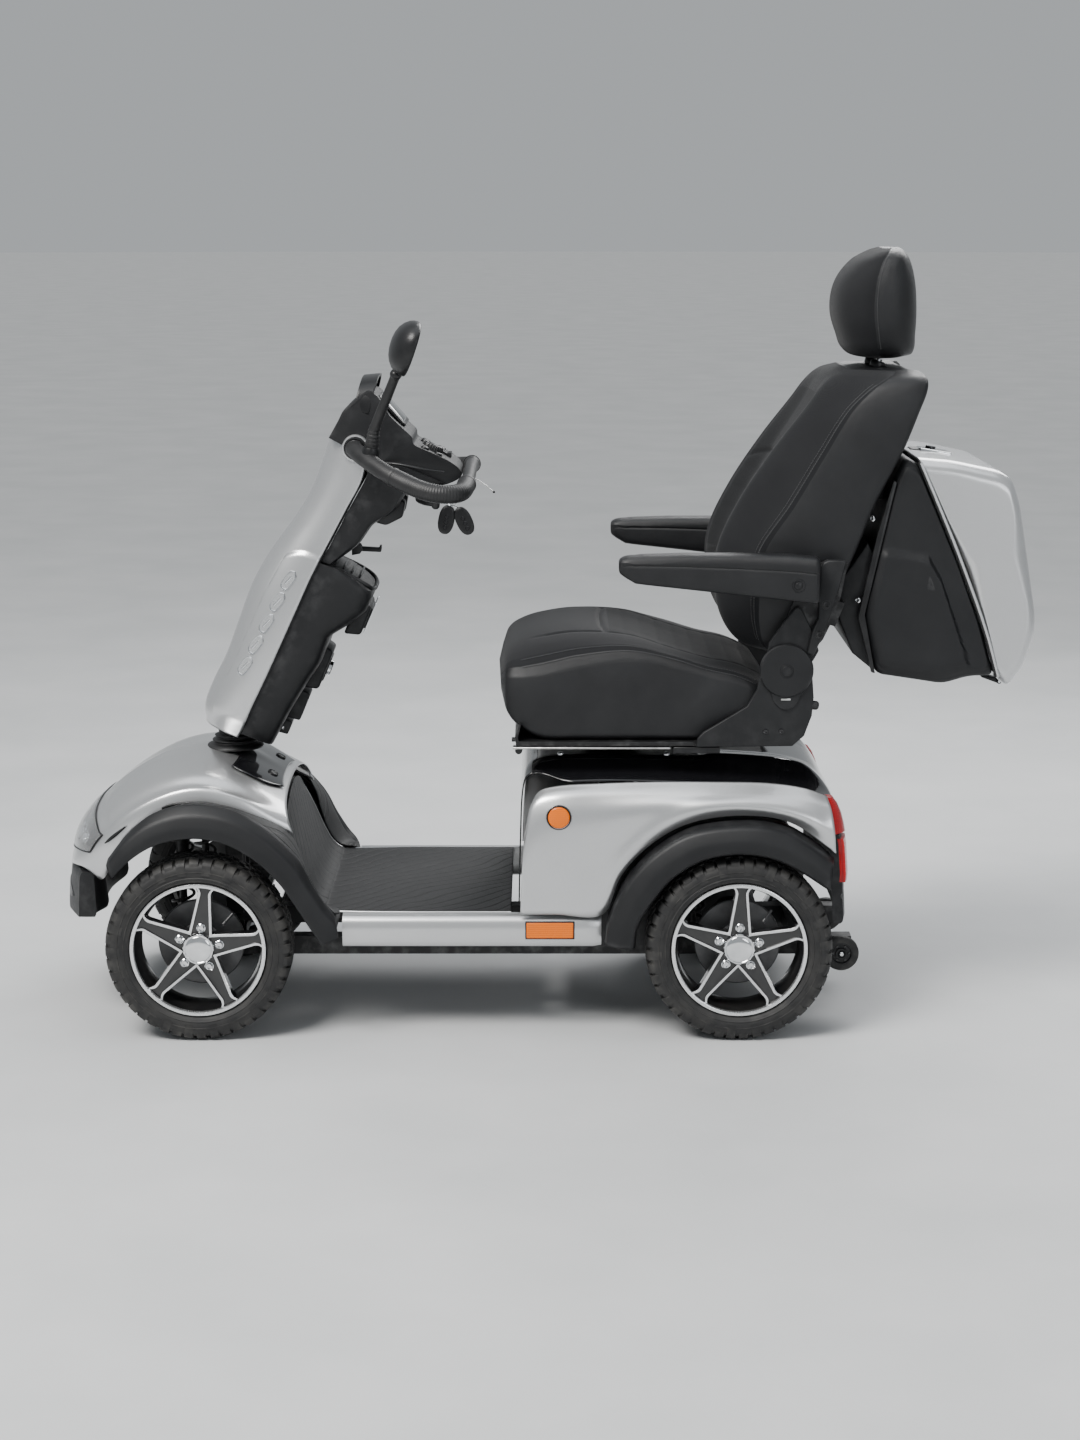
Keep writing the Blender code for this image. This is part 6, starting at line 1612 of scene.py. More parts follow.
    # plug and socket block under the console
    blk = prism("ub", [(-0.322, 0.972), (-0.300, 0.966), (-0.268, 0.982), (-0.262, 1.012), (-0.276, 1.020), (-0.312, 1.018)], 0.030, 0.074, "smooth", None, None, 0.005, 3)
    blk2 = prism("ub2", [(-0.322, 0.972), (-0.300, 0.966), (-0.268, 0.982), (-0.262, 1.012), (-0.276, 1.020), (-0.312, 1.018)], -0.074, -0.030, "smooth", None, None, 0.005, 3)
    merge("vis_console_blocks", [w, b, blk, blk2], "tiller", "textured_black", 35)


head()


def bars():
    HALF = [(0.1075, -0.3560, 1.1200), (0.1400, -0.3550, 1.1195), (0.1900, -0.3300, 1.1060), (0.2450, -0.2780, 1.0790),
            (0.2800, -0.2200, 1.0570), (0.2860, -0.1760, 1.0500), (0.2620, -0.1480, 1.0520), (0.2000, -0.1390, 1.0600),
            (0.1000, -0.1370, 1.0660)]
    FULL = HALF + [(0, -0.1370, 1.0680)] + [(-x, y, z) for x, y, z in HALF[::-1]]
    P = path(FULL, 14)
    n = len(P)
    rad = []
    for p in P:
        k = sstep(0.165, 0.185, abs(p.x)) if p.y > -0.2 else 1.0
        r = 0.0128 + 0.0037 * k
        rad.append(r)
    # radius along the bar
    acc, last = 0.0, P[0]
    out = []
    for i, p in enumerate(P):
        acc += (p - last).length
        last = p
        grip = sstep(0.232, 0.245, abs(p.x)) if p.y > -0.30 else 0.0
        out.append(rad[i])
    ob = sweep("vis_handlebar", P, out, "bar", "tiller", "mat_rubber", 32, angle=70)
    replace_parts(ob, "handlebar")
    # grip sleeves with end collars
    for sx, nm in ((1, "left"), (-1, "right")):
        q = [(sx * x, y, z) for x, y, z in HALF[3:8]]
        G = path(q, 40)
        # even spacing
        cum = [0.0]
        for a, b in zip(G, G[1:]):
            cum.append(cum[-1] + (b - a).length)
        total = cum[-1]
        m = 220
        E = []
        j = 0
        for i in range(m + 1):
            d = total * i / m
            while j < len(cum) - 2 and cum[j + 1] < d:
                j += 1
            t = (d - cum[j]) / max(cum[j + 1] - cum[j], 1e-9)
            E.append(G[j].lerp(G[j + 1], t))
        rr = []
        for i in range(m + 1):
            d = total * i / m
            base = 0.0172
            rib = 0.0006 * (0.5 + 0.5 * math.cos(2 * math.pi * d / 0.0046))
            e = min(d, total - d)
            col = 0.0012 * (1 - sstep(0.004, 0.007, e))
            rr.append(base + (rib if e > 0.008 else 0.0) + col)
        sweep("vis_grip_" + nm, E, rr, "bar", "tiller", "mat_rubber", 28, angle=60)


bars()


def mirror():
    tab = [(0.1900, -0.3190, 1.1255, 0.0125, 0.0125), (0.1950, -0.3160, 1.1500, 0.0118, 0.0118),
           (0.2010, -0.3110, 1.1700, 0.0100, 0.0100), (0.2225, -0.2900, 1.2200, 0.0096, 0.0096),
           (0.2410, -0.2730, 1.2600, 0.0092, 0.0092), (0.2470, -0.2690, 1.2700, 0.0110, 0.0100)]
    c = path([(x, y, z) for x, y, z, a, b in tab], 14)
    r = [v.x for v in path([(a, 0, 0) for x, y, z, a, b in tab], 14)]
    rr = []
    for i, (p, a) in enumerate(zip(c, r)):
        g = 0.0
        if p.z < 1.172:
            g = 0.0011 * (0.5 + 0.5 * math.cos(2 * math.pi * (p.z - 1.13) / 0.0075)) * sstep(1.128, 1.134, p.z)
        rr.append(a + g)
    stem = sweep("m_stem", c, rr, "bar", None, None, 24, angle=60)
    clamp = lathe("m_clamp", [(0, -0.014), (0.0150, -0.014), (0.0165, -0.010), (0.0165, 0.008), (0.0150, 0.012), (0, 0.012)], (0.1905, -0.3215, 1.1180), (0.10, 0.16, 1.0), "smooth", None, None, seg=32)
    ball = lathe("m_ball", [(0, -0.010), (0.006, -0.0085), (0.0105, -0.004), (0.0115, 0.0), (0.0105, 0.005), (0.006, 0.009), (0, 0.010)], (0.2470, -0.2690, 1.2700), (0.5, 0.4, 1), "smooth", None, None, seg=24)
    # head: egg shaped in front view, thin in depth, glass on the rear face
    cen = Vector((0.2735, -0.2480, 1.3215))
    nrm = Vector((-0.12, 0.93, -0.30)).normalized()
    right = Vector((1, 0, 0)) - nrm * nrm.x
    right.normalize()
    up = right.cross(nrm).normalized()
    if up.z < 0:
        up.negate()

    def outline(t):
        a = 2 * math.pi * t
        cx, sy = math.cos(a), math.sin(a)
        w = 0.0700 * (1.0 + 0.10 * sy)
        h = 0.0530
        x = math.copysign(abs(cx) ** 0.86, cx) * w
        y = math.copysign(abs(sy) ** 0.86, sy) * h
        return x + 0.10 * y, y
    n = 64
    prof = [(0.05, -0.0300), (0.25, -0.0292), (0.45, -0.0268), (0.65, -0.0222), (0.82, -0.0150), (0.93, -0.0070), (0.985, 0.0005), (1.0, 0.0070), (0.992, 0.0105),
            (0.965, 0.0118), (0.940, 0.0105), (0.930, 0.0075)]
    rings = []
    for sc, d in prof:
        rings.append([cen + right * (outline(k / n)[0] * sc) + up * (outline(k / n)[1] * sc) + nrm * d for k in range(n)])
    shell = loft("m_shell", rings, "smooth", None, None, caps=True, angle=50)
    ob = merge("vis_mirror_left", [stem, clamp, ball, shell], "mirror_l", "textured_black", 50)
    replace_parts(ob, "mirror_left")
    g = [[cen + right * (outline(k / n)[0] * 0.932) + up * (outline(k / n)[1] * 0.932) + nrm * d for k in range(n)] for d in (0.0060, 0.0080)]
    glass = loft("vis_mirror_glass_left", g, "mirror", "mirror_l", "gloss_black", caps=True, angle=30)


mirror()


def controls():
    # finger lever: one thin wig-wag bar with turned ends
    half = [(0.1250, -0.2050), (0.1180, -0.2160), (0.1000, -0.2290), (0.0650, -0.2400), (0.0300, -0.2450), (0.0, -0.2455)]
    inner = [(0.1160, -0.1960), (0.1060, -0.2030), (0.0900, -0.2120), (0.0600, -0.2190), (0.0300, -0.2205), (0.0, -0.2205)]
    o = [(p.x, p.y) for p in path([(x, y, 0) for x, y in half], 5)]
    i_ = [(p.x, p.y) for p in path([(x, y, 0) for x, y in inner], 5)]
    ol = o + [(-x, y) for x, y in o[-2::-1]]
    il = i_ + [(-x, y) for x, y in i_[-2::-1]]
    g = []
    secs = []
    for (ax, ay), (bx, by) in zip(ol, il):
        a, b = Vector((ax, ay, 0)), Vector((bx, by, 0))
        m = (a + b) / 2
        d = (a - b) / 2
        ring = []
        for k in range(16):
            t = 2 * math.pi * k / 16
            c, s = math.cos(t), math.sin(t)
            ring.append(m + d * math.copysign(abs(c) ** 0.6, c) + Vector((0, 0, 1.015 + 0.0066 * math.copysign(abs(s) ** 0.6, s))))
        secs.append(ring)
    ob = loft("vis_throttle_lever", secs, "smooth", "throttle", "textured_black", angle=50)
    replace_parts(ob, "throttle_lever")
    bits = []
    for sx in (-1, 1):
        bits.append(lathe("tl%d" % sx, [(0, 0.012), (0.004, 0.0115), (0.0075, 0.008), (0.0085, 0.0), (0.0075, -0.008), (0.004, -0.0115), (0, -0.012)], (sx * 0.1185, -0.2015, 1.015), (0, 0, 1), "bar", None, None, seg=20))
    merge("vis_lever_tips", bits, "throttle", "textured_black", 40)
    # knob
    kc = sq(0.045, 0.6755, 0.1480)
    up = (0, math.sin(LEAN), math.cos(LEAN))

    def ribs(q, th, r, t):
        return 0.0006 * math.cos(20 * th) if 0.012 < r and t > -0.003 else 0.0
    ob = lathe("kn", [(0, -0.0045), (0.0165, -0.0045), (0.0168, -0.0030), (0.0150, -0.0020), (0.0146, 0.0050), (0.0135, 0.0078), (0.0110, 0.0092), (0.0095, 0.0094), (0.0070, 0.0086), (0, 0.0084)], kc, up, "smooth", None, None, seg=100, bump=ribs)
    mk = prism("km", [(-0.0005, 0.0), (0.0005, 0.0), (0.0005, 0.0018), (-0.0005, 0.0018)], 0, 0.001, "silver", None, None)
    for v in mk.data.vertices:
        x, y, z = v.co.x, v.co.y, v.co.z
        u_ = Vector((0, math.cos(LEAN), -math.sin(LEAN)))
        v.co = Vector(kc) + Vector(up) * (0.0082 + z) + u_ * (0.004 + 0.008 * (x * 1000)) + Vector((y * 1.4, 0, 0))
    ob = merge("vis_speed_knob", [ob, mk], "knob", "textured_black", 30)
    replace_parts(ob, "speed_knob")
    # key: collar, bow
    kx, ky, kz = 0.060, -0.170, 1.030
    a = lathe("k1", [(0, -0.0100), (0.0040, -0.0100), (0.0040, 0.0), (0.0108, 0.0012), (0.0112, 0.0030), (0.0108, 0.0062), (0.0090, 0.0070), (0, 0.0070)], (kx, ky, kz), (0, 0, 1), "zinc", None, None, seg=32)
    b = lathe("k2", [(0.0030, -0.0008), (0.0046, -0.0008), (0.0046, 0.0008), (0.0030, 0.0008)], (kx, ky - 0.001, kz - 0.0125), (1, 0, 0), "zinc", None, None, seg=24, ring=True)
    ob = merge("vis_key", [a, b], "ignition", "zinc_steel", 35)
    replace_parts(ob, "key")
    # ring and two oval fobs
    bits = []
    t = 24
    ringp = [Vector((kx, ky - 0.001 + 0.0085 * math.sin(2 * math.pi * k / t), kz - 0.0195 + 0.0085 * math.cos(2 * math.pi * k / t))) for k in range(t)]
    rr = []
    for k in range(t):
        tt = (ringp[(k + 1) % t] - ringp[k - 1]).normalized()
        u_ = Vector((1, 0, 0))
        w_ = tt.cross(u_)
        rr.append([ringp[k] + u_ * (0.0009 * math.cos(2 * math.pi * m / 8)) + w_ * (0.0009 * math.sin(2 * math.pi * m / 8)) for m in range(8)])
    bits.append(loft("fr", rr, "chrome", None, None, closed_run=True, angle=80))
    for k, (cy, cz, tilt, x0) in enumerate(((-0.1830, 0.9760, -0.20, 0.0575), (-0.1480, 0.9740, 0.42, 0.0615))):
        cen = Vector((x0, cy, cz))
        dn = Vector((0, math.sin(tilt), -math.cos(tilt)))
        sd = Vector((0, math.cos(tilt), math.sin(tilt)))
        rings = []
        for d, sc in ((-0.0055, 0.70), (-0.0050, 0.88), (-0.0035, 0.97), (0.0, 1.0), (0.0035, 0.97), (0.0050, 0.88), (0.0055, 0.70)):
            ring = []
            for m in range(36):
                a_ = 2 * math.pi * m / 36
                c, s = math.cos(a_), math.sin(a_)
                ring.append(cen + Vector((d, 0, 0)) + sd * (0.0160 * sc * math.copysign(abs(c) ** 0.85, c)) + dn * (0.0290 * sc * math.copysign(abs(s) ** 0.85, s)))
            rings.append(ring)
        bits.append(loft("fo%d" % k, rings, "smooth", None, None, caps=True, angle=35))
        for j in range(3):
            p = cen + dn * (-0.006 + 0.0105 * j) + Vector((0.0052, 0, 0))
            bits.append(lathe("fb%d%d" % (k, j), [(0, 0.0012), (0.0034, 0.0011), (0.0042, 0.0004), (0.0044, -0.0005), (0, -0.0005)], p, (1, 0, 0), "gloss", None, None, seg=20))
        bits.append(sweep("fl%d" % k, [Vector((x0, ky - 0.001, kz - 0.026)), cen - dn * 0.0280], 0.0012, "chrome", None, None, 8))
    ob = merge("vis_key_fobs", bits, "fobs", "textured_black", 35)
    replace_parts(ob, "key_fobs")
    # bag hook: cheeks on the arm, flat folding tongue with an upturned end
    h = [(-0.3585, 0.9075), (-0.3150, 0.9055), (-0.3140, 0.9080), (-0.3130, 0.9190), (-0.3165, 0.9195), (-0.3185, 0.9140), (-0.3540, 0.9160), (-0.3585, 0.9140)]
    ob = prism("bh", h, -0.0080, 0.0080, "smooth", None, None, 0.0015, 3)
    pin = lathe("bp", [(0, -0.0110), (0.0030, -0.0110), (0.0030, 0.0110), (0, 0.0110)], (0, -0.3555, 0.9118), (1, 0, 0), "chrome", None, None, seg=20)
    ob = merge("vis_bag_hook", [ob, pin], "hook", "textured_black", 35)
    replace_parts(ob, "bag_hook")
    ch = []
    for sx in (-1, 1):
        ch.append(prism("bc%d" % sx, [(-0.372, 0.900), (-0.356, 0.903), (-0.350, 0.911), (-0.355, 0.921), (-0.372, 0.924)], min(sx * 0.0095, sx * 0.0135), max(sx * 0.0095, sx * 0.0135), "smooth", None, None, 0.001, 2))
    merge("vis_hook_cheeks", ch, "tiller", "textured_black", 35)


controls()


# ================================================================== seat base
def seat_base():
    # ribbed boot between the tiller and the column, following both
    n, seg = 60, 48
    rings = []
    for i in range(n + 1):
        t = i / n
        z = 0.5190 + 0.0420 * t
        r = 0.0475 - 0.0215 * t
        r += 0.0030 * math.cos(2 * math.pi * (t * 4.5)) * (1 - 0.3 * t)
        y = STEER_Y + 0.010 * sstep(0.4, 1.0, t) * 0.6
        rings.append([(r * math.cos(2 * math.pi * k / seg), y + r * math.sin(2 * math.pi * k / seg), z) for k in range(seg)])
    ob = loft("vis_tiller_boot", rings, "bar", None, None, caps=True, angle=60)
    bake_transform(ob)
    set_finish(ob, "mat_rubber")
    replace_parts(ob, "tiller_bellows")
    base = lathe("vis_boot_flange", [(0.022, 0.5120), (0.0560, 0.5125), (0.0570, 0.5155), (0.0540, 0.5190), (0.0470, 0.5215), (0.022, 0.5215)], (0, STEER_Y, 0), (0, 0, 1), "bar", "steering_stem", "mat_rubber", seg=56)

    # sliding rails
    for sx, nm in ((1, "left"), (-1, "right")):
        prism("vis_rail_low_" + nm, [(-0.030, 0.5492), (0.300, 0.5492), (0.300, 0.5560), (-0.030, 0.5560)], min(sx * 0.150, sx * 0.178), max(sx * 0.150, sx * 0.178), "zinc", "turntable", "zinc_steel", 0.0010, 2)
        prism("vis_rail_up_" + nm, [(-0.055, 0.5562), (0.310, 0.5562), (0.310, 0.5618), (-0.055, 0.5618)], min(sx * 0.154, sx * 0.174), max(sx * 0.154, sx * 0.174), "steel", "seat", "black_steel", 0.0010, 2)
        # side rail strip under the pan's edge, bright
        prism("vis_pan_strip_" + nm, [(-0.052, 0.5568), (0.250, 0.5568), (0.250, 0.5608), (-0.052, 0.5608)], min(sx * 0.226, sx * 0.250), max(sx * 0.226, sx * 0.250), "zinc", "seat", "zinc_steel", 0.0010, 2)
        prism("vis_pan_box_" + nm, [(0.255, 0.5480), (0.345, 0.5480), (0.345, 0.5612), (0.255, 0.5612)], min(sx * 0.196, sx * 0.248), max(sx * 0.196, sx * 0.248), "smooth", "seat", "textured_black", 0.0020, 2)
    # swivel release lever and slide bar
    pts = path([(0.10, -0.010, 0.5540), (0.16, -0.030, 0.5540), (0.215, -0.040, 0.5530), (0.236, -0.041, 0.5525)], 8)
    a = sweep("sl", pts, 0.0042, "steel", None, None, 14)
    b = sweep("slg", [pts[-1] - Vector((0.034, -0.002, -0.0006)), pts[-1] + Vector((0.006, 0, 0))], 0.0070, "bar", None, None, 16)
    merge("vis_slide_lever", [a, b], "seat", "black_steel", 40)

    # pan with side brackets
    pan = [(-0.0460, 0.5630), (-0.0480, 0.5800), (-0.0400, 0.6050), (-0.0360, 0.6040), (-0.0420, 0.5790), (-0.0400, 0.5720), (0.470, 0.5720), (0.470, 0.5630)]
    a = prism("pp", pan, -0.2500, 0.2500, "steel", None, None, 0.0020, 2)
    PL = [(0.298, 0.5640), (0.300, 0.5800), (0.3120, 0.5930), (0.3940, 0.6430), (0.4130, 0.6760), (0.4190, 0.7120), (0.4320, 0.7430),
          (0.4680, 0.7560), (0.5040, 0.7420), (0.5170, 0.7100), (0.5210, 0.6600), (0.5180, 0.6250), (0.5040, 0.5860), (0.4820, 0.5660)]
    parts = [a]
    for sx in (-1, 1):
        x0, x1 = sorted((sx * 0.2540, sx * 0.2650))
        parts.append(prism("pb%d" % sx, PL, x0, x1, "grain", None, None, 0.0025, 3))
        for y, z in ((0.4300, 0.5950), (0.4600, 0.5955)):
            parts.append(lathe("ph", [(0, 0.0012), (0.0022, 0.0012), (0.0034, 0.0018), (0.0048, 0.0016), (0.0052, 0.0), (0, 0.0)], (sx * 0.2650, y, z), (sx, 0, 0), "gloss", None, None, seg=20))
    ob = merge("vis_seat_pan", parts, "seat", "black_steel", 32)
    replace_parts(ob, "seat_pan")
    # round recliner covers and pointed backrest covers
    for sx, nm, fl in ((1, "left", 1), (-1, "right", -1)):
        d = lathe("rc", [(0, 0.0105), (0.0090, 0.0105), (0.0098, 0.0095), (0.0118, 0.0094), (0.0126, 0.0080), (0.0430, 0.0080), (0.0490, 0.0070), (0.0510, 0.0045), (0.0515, 0.0), (0, 0.0)],
                  (sx * 0.2655, 0.4680, 0.7130), (sx, 0, 0), "grain", None, None, seg=72)
        # keyhole skirt below the disc with a small slot
        sk = [(0.4680 - 0.0290, 0.6700), (0.4680 - 0.0230, 0.6520), (0.4680 - 0.0120, 0.6400), (0.4680, 0.6365), (0.4680 + 0.0120, 0.6400), (0.4680 + 0.0210, 0.6500), (0.4680 + 0.0260, 0.6620),
              (0.4680 + 0.0400, 0.6780), (0.4680, 0.7000), (0.4680 - 0.0380, 0.6860)]
        x0, x1 = sorted((sx * 0.2645, sx * 0.2695))
        s = prism("rs", sk, x0, x1, "grain", None, None, 0.0020, 3)
        x0, x1 = sorted((sx * 0.2690, sx * 0.2706))
        q = prism("rq", [(0.4580, 0.6560), (0.4760, 0.6560), (0.4760, 0.6595), (0.4580, 0.6595)], x0, x1, "zinc", None, None, 0.0004, 2)
        merge("vis_recliner_cover_" + nm, [d, s, q], "seat", "textured_black", 32)
        tri = [(0.4300, 0.7400), (0.4340, 0.7660), (0.4620, 0.8060), (0.4830, 0.8330), (0.4900, 0.8350), (0.4960, 0.8280), (0.5180, 0.7850), (0.5290, 0.7500), (0.5180, 0.7300), (0.4680, 0.7200)]
        x0, x1 = sorted((sx * 0.2560, sx * 0.2640))
        prism("vis_back_side_cover_" + nm, tri, x0, x1, "grain", "backrest", "textured_black", 0.0025, 3)
        # knob of the recliner's lever at the rear
        lv = lathe("rl", [(0, 0.008), (0.0055, 0.0075), (0.0085, 0.004), (0.0090, -0.010), (0, -0.010)], (sx * 0.2560, 0.5240, 0.6440), (0, 1, -0.10), "smooth", None, None, seg=24)
        merge("vis_recliner_knob_" + nm, [lv], "seat", "textured_black", 35)


seat_base()


# ================================================================== soft pieces
def soft(name, verts, faces, mats, idx, body, node, seams=(), angle=65):
    ob = put(name, verts, faces, None, body, "seat_fabric", True, angle, mats=mats, idx=idx)
    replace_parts(ob, node)
    return ob


def stitches(name, pts, nrm, body, gap=0.0052, length=0.0034, r=0.0006):
    """Short raised threads along a line."""
    cum = [0.0]
    for a, b in zip(pts, pts[1:]):
        cum.append(cum[-1] + (b - a).length)
    total = cum[-1]

    def at(d):
        for i in range(len(cum) - 1):
            if d <= cum[i + 1]:
                t = (d - cum[i]) / max(cum[i + 1] - cum[i], 1e-9)
                return pts[i].lerp(pts[i + 1], t), nrm[i].lerp(nrm[i + 1], t).normalized()
        return pts[-1], nrm[-1]
    verts, faces = [], []
    d = gap
    while d + length < total:
        (a, na), (m, nm_), (b, nb) = at(d), at(d + length / 2), at(d + length)
        t = (b - a).normalized()
        s = t.cross(nm_).normalized()
        base = len(verts)
        for p, n_, k in ((a, na, 0.2), (m, nm_, 1.0), (b, nb, 0.2)):
            c = p + n_ * (0.0002 + r * k)
            for q in range(5):
                th = 2 * math.pi * q / 5
                verts.append(c + s * (r * math.cos(th)) + n_ * (r * math.sin(th)))
        for k in range(2):
            for q in range(5):
                q2 = (q + 1) % 5
                faces.append([base + k * 5 + q, base + k * 5 + q2, base + (k + 1) * 5 + q2, base + (k + 1) * 5 + q])
        faces.append([base + q for q in range(5)][::-1])
        faces.append([base + 10 + q for q in range(5)])
        d += gap
    return put(name, verts, faces, "thread", body, "seat_fabric", True, 60)


def grid_faces(rows, cols, wrap=True):
    f = []
    for j in range(rows - 1):
        for i in range(cols if wrap else cols - 1):
            f.append([j * cols + i, j * cols + (i + 1) % cols, (j + 1) * cols + (i + 1) % cols, (j + 1) * cols + i])
    return f


def cushion_seat():
    SEAT = [(-0.0750, 0.196, 0.6640, 0.7030, 0.6880), (-0.0640, 0.222, 0.6250, 0.7350, 0.7000),
            (-0.0380, 0.234, 0.5960, 0.7560, 0.7030), (0.0050, 0.240, 0.5745, 0.7700, 0.7110),
            (0.0750, 0.242, 0.5728, 0.7780, 0.7290), (0.1700, 0.242, 0.5728, 0.7700, 0.7420),
            (0.2500, 0.242, 0.5728, 0.7440, 0.7300), (0.3200, 0.242, 0.5728, 0.7240, 0.7080),
            (0.3800, 0.240, 0.5728, 0.7120, 0.6930), (0.4250, 0.232, 0.5728, 0.6900, 0.6700),
            (0.4420, 0.206, 0.5920, 0.6680, 0.6500)]
    NS = 170
    ys = []
    for i in range(NS + 1):
        t = i / NS
        ys.append(-0.0750 + 0.5170 * (t - 0.055 * math.sin(2 * math.pi * t)))

    def ring(y):
        w, bot, top, side = cub(SEAT, y)
        half = []
        # bottom centre to side to top centre
        def wr(a, z):
            return 0.0
        for k in range(7):
            t = k / 6
            half.append((0.94 * w * t, bot, 0))
        for k in range(1, 7):
            a = math.pi / 2 * k / 6
            half.append((0.94 * w + 0.06 * w * math.sin(a), bot + 0.10 * (side - bot) * (1 - math.cos(a)), 1))
        for k in range(1, 17):
            t = k / 16
            z = bot + 0.10 * (side - bot) + (side - bot) * 0.90 * t
            bulge = 0.0055 * math.sin(math.pi * t) ** 0.8
            # folds that run out from the lower edge
            fold = 0.0022 * math.sin(y * 34 + t * 3.4 + 0.8) * math.sin(math.pi * min(1, t * 1.2)) ** 2 * sstep(0.02, 0.14, y) * (0.6 + 0.4 * math.sin(y * 11))
            fold += 0.0016 * math.sin(y * 71 - t * 5.0) * (t * (1 - t) * 4) ** 1.5 * sstep(0.1, 0.3, y)
            half.append((w + bulge + fold - 0.004 * (t > 0.99), z, 2))
        # side seam groove, then crowned top with sewn channels
        n_top = 44
        for k in range(1, n_top + 1):
            t = k / n_top
            x = w * (1 - t)
            # rise from seam to crown
            e = (1 - (1 - t) ** 4.0) ** 0.62
            z = side + (top - side) * e
            u = x / w
            # seam groove at the edge and at the inner panel line
            z -= 0.0030 * math.exp(-((u - 0.965) / 0.012) ** 2)
            z += 0.0012 * math.exp(-((u - 0.930) / 0.020) ** 2)
            panel = 0.66
            z -= 0.0042 * math.exp(-((u - panel) / 0.012) ** 2) * sstep(-0.03, 0.02, y) * (1 - sstep(0.41, 0.44, y))
            # seat well between gentle bolsters
            z -= 0.0085 * sstep(0.72, 0.30, u) * 0 + 0.0075 * (1 - sstep(0.30, 0.78, u)) * sstep(0.05, 0.20, y) * (1 - sstep(0.40, 0.44, y))
            # cross channel in the inner panel
            if u < panel:
                for yc in (0.118,):
                    z -= 0.0050 * math.exp(-((y - (yc + 0.020 * u * u)) / 0.0042) ** 2) * (1 - sstep(panel - 0.03, panel, u))
                # quilting behind it
                q = abs(math.sin((y - 0.13) * math.pi / 0.034)) ** 0.5
                z += (0.0016 * (q - 1)) * sstep(0.13, 0.15, y) * (1 - sstep(0.40, 0.43, y))
            half.append((x, z, 3))
        return half
    rows, tags = [], None
    for y in ys:
        h = ring(y)
        left = [(-x, z, t) for x, z, t in h[-2:0:-1]]
        full = h + left
        tags = [t for _, _, t in full]
        xs_ = [x for x, z, t in full]
        rows.append([(x, y + 0.003 * math.sin(9 * x) * 0, z) for x, z, t in full])
    cols = len(rows[0])
    verts = [p for r in rows for p in r]
    faces = grid_faces(len(rows), cols)
    # closing caps as fans
    for base, rev in ((0, True), ((len(rows) - 1) * cols, False)):
        r = rows[0] if rev else rows[-1]
        c = (sum(p[0] for p in r) / cols, r[0][1] + (-0.006 if rev else 0.004), sum(p[2] for p in r) / cols)
        verts.append(c)
        ci = len(verts) - 1
        for i in range(cols):
            faces.append([ci, base + (i + 1) % cols, base + i] if rev else [ci, base + i, base + (i + 1) % cols])
    idx = []
    for j in range(len(rows) - 1):
        y = (ys[j] + ys[j + 1]) / 2
        w = cub(SEAT, y)[0]
        for i in range(cols):
            t = tags[i]
            x = abs(rows[j][i][0])
            if t in (0, 1, 2):
                idx.append(1)
            elif x / w < 0.655 and y > 0.135:
                idx.append(2)
            else:
                idx.append(0)
    idx += [0] * (2 * cols)
    soft("vis_seat_cushion", verts, faces, ["fabric", "vinyl", "mesh"], idx, "seat", "seat_cushion")
    # double stitched line by the side seam
    for sx, nm in ((1, "left"), (-1, "right")):
        for k, u in enumerate((0.982, 0.940)):
            pts, nr = [], []
            for y in spread(-0.040, 0.415, 120):
                w, bot, top, side = cub(SEAT, y)
                t = 1 - u
                z = side + (top - side) * (1 - (1 - t) ** 4.0) ** 0.62 + (0.0008 if k else -0.0014)
                pts.append(Vector((sx * w * u, y, z)))
                nr.append(Vector((sx * 0.6, 0, 0.8)))
            stitches("vis_seat_stitch_%s_%d" % (nm, k), pts, nr, "seat")


cushion_seat()

BACK = [(0.7300, 0.470, 0.430, 0.5000, 0.185, 0.000), (0.7480, 0.430, 0.388, 0.5140, 0.215, 0.004),
        (0.7900, 0.412, 0.354, 0.5340, 0.230, 0.010), (0.8500, 0.408, 0.337, 0.5620, 0.238, 0.018),
        (0.9340, 0.415, 0.340, 0.5990, 0.240, 0.026), (1.0240, 0.473, 0.380, 0.6340, 0.240, 0.030),
        (1.1220, 0.531, 0.444, 0.6830, 0.240, 0.026), (1.2000, 0.579, 0.504, 0.7140, 0.238, 0.016),
        (1.2400, 0.620, 0.534, 0.7290, 0.230, 0.008), (1.2620, 0.655, 0.560, 0.7290, 0.212, 0.002),
        (1.2720, 0.672, 0.590, 0.7180, 0.180, 0.000)]


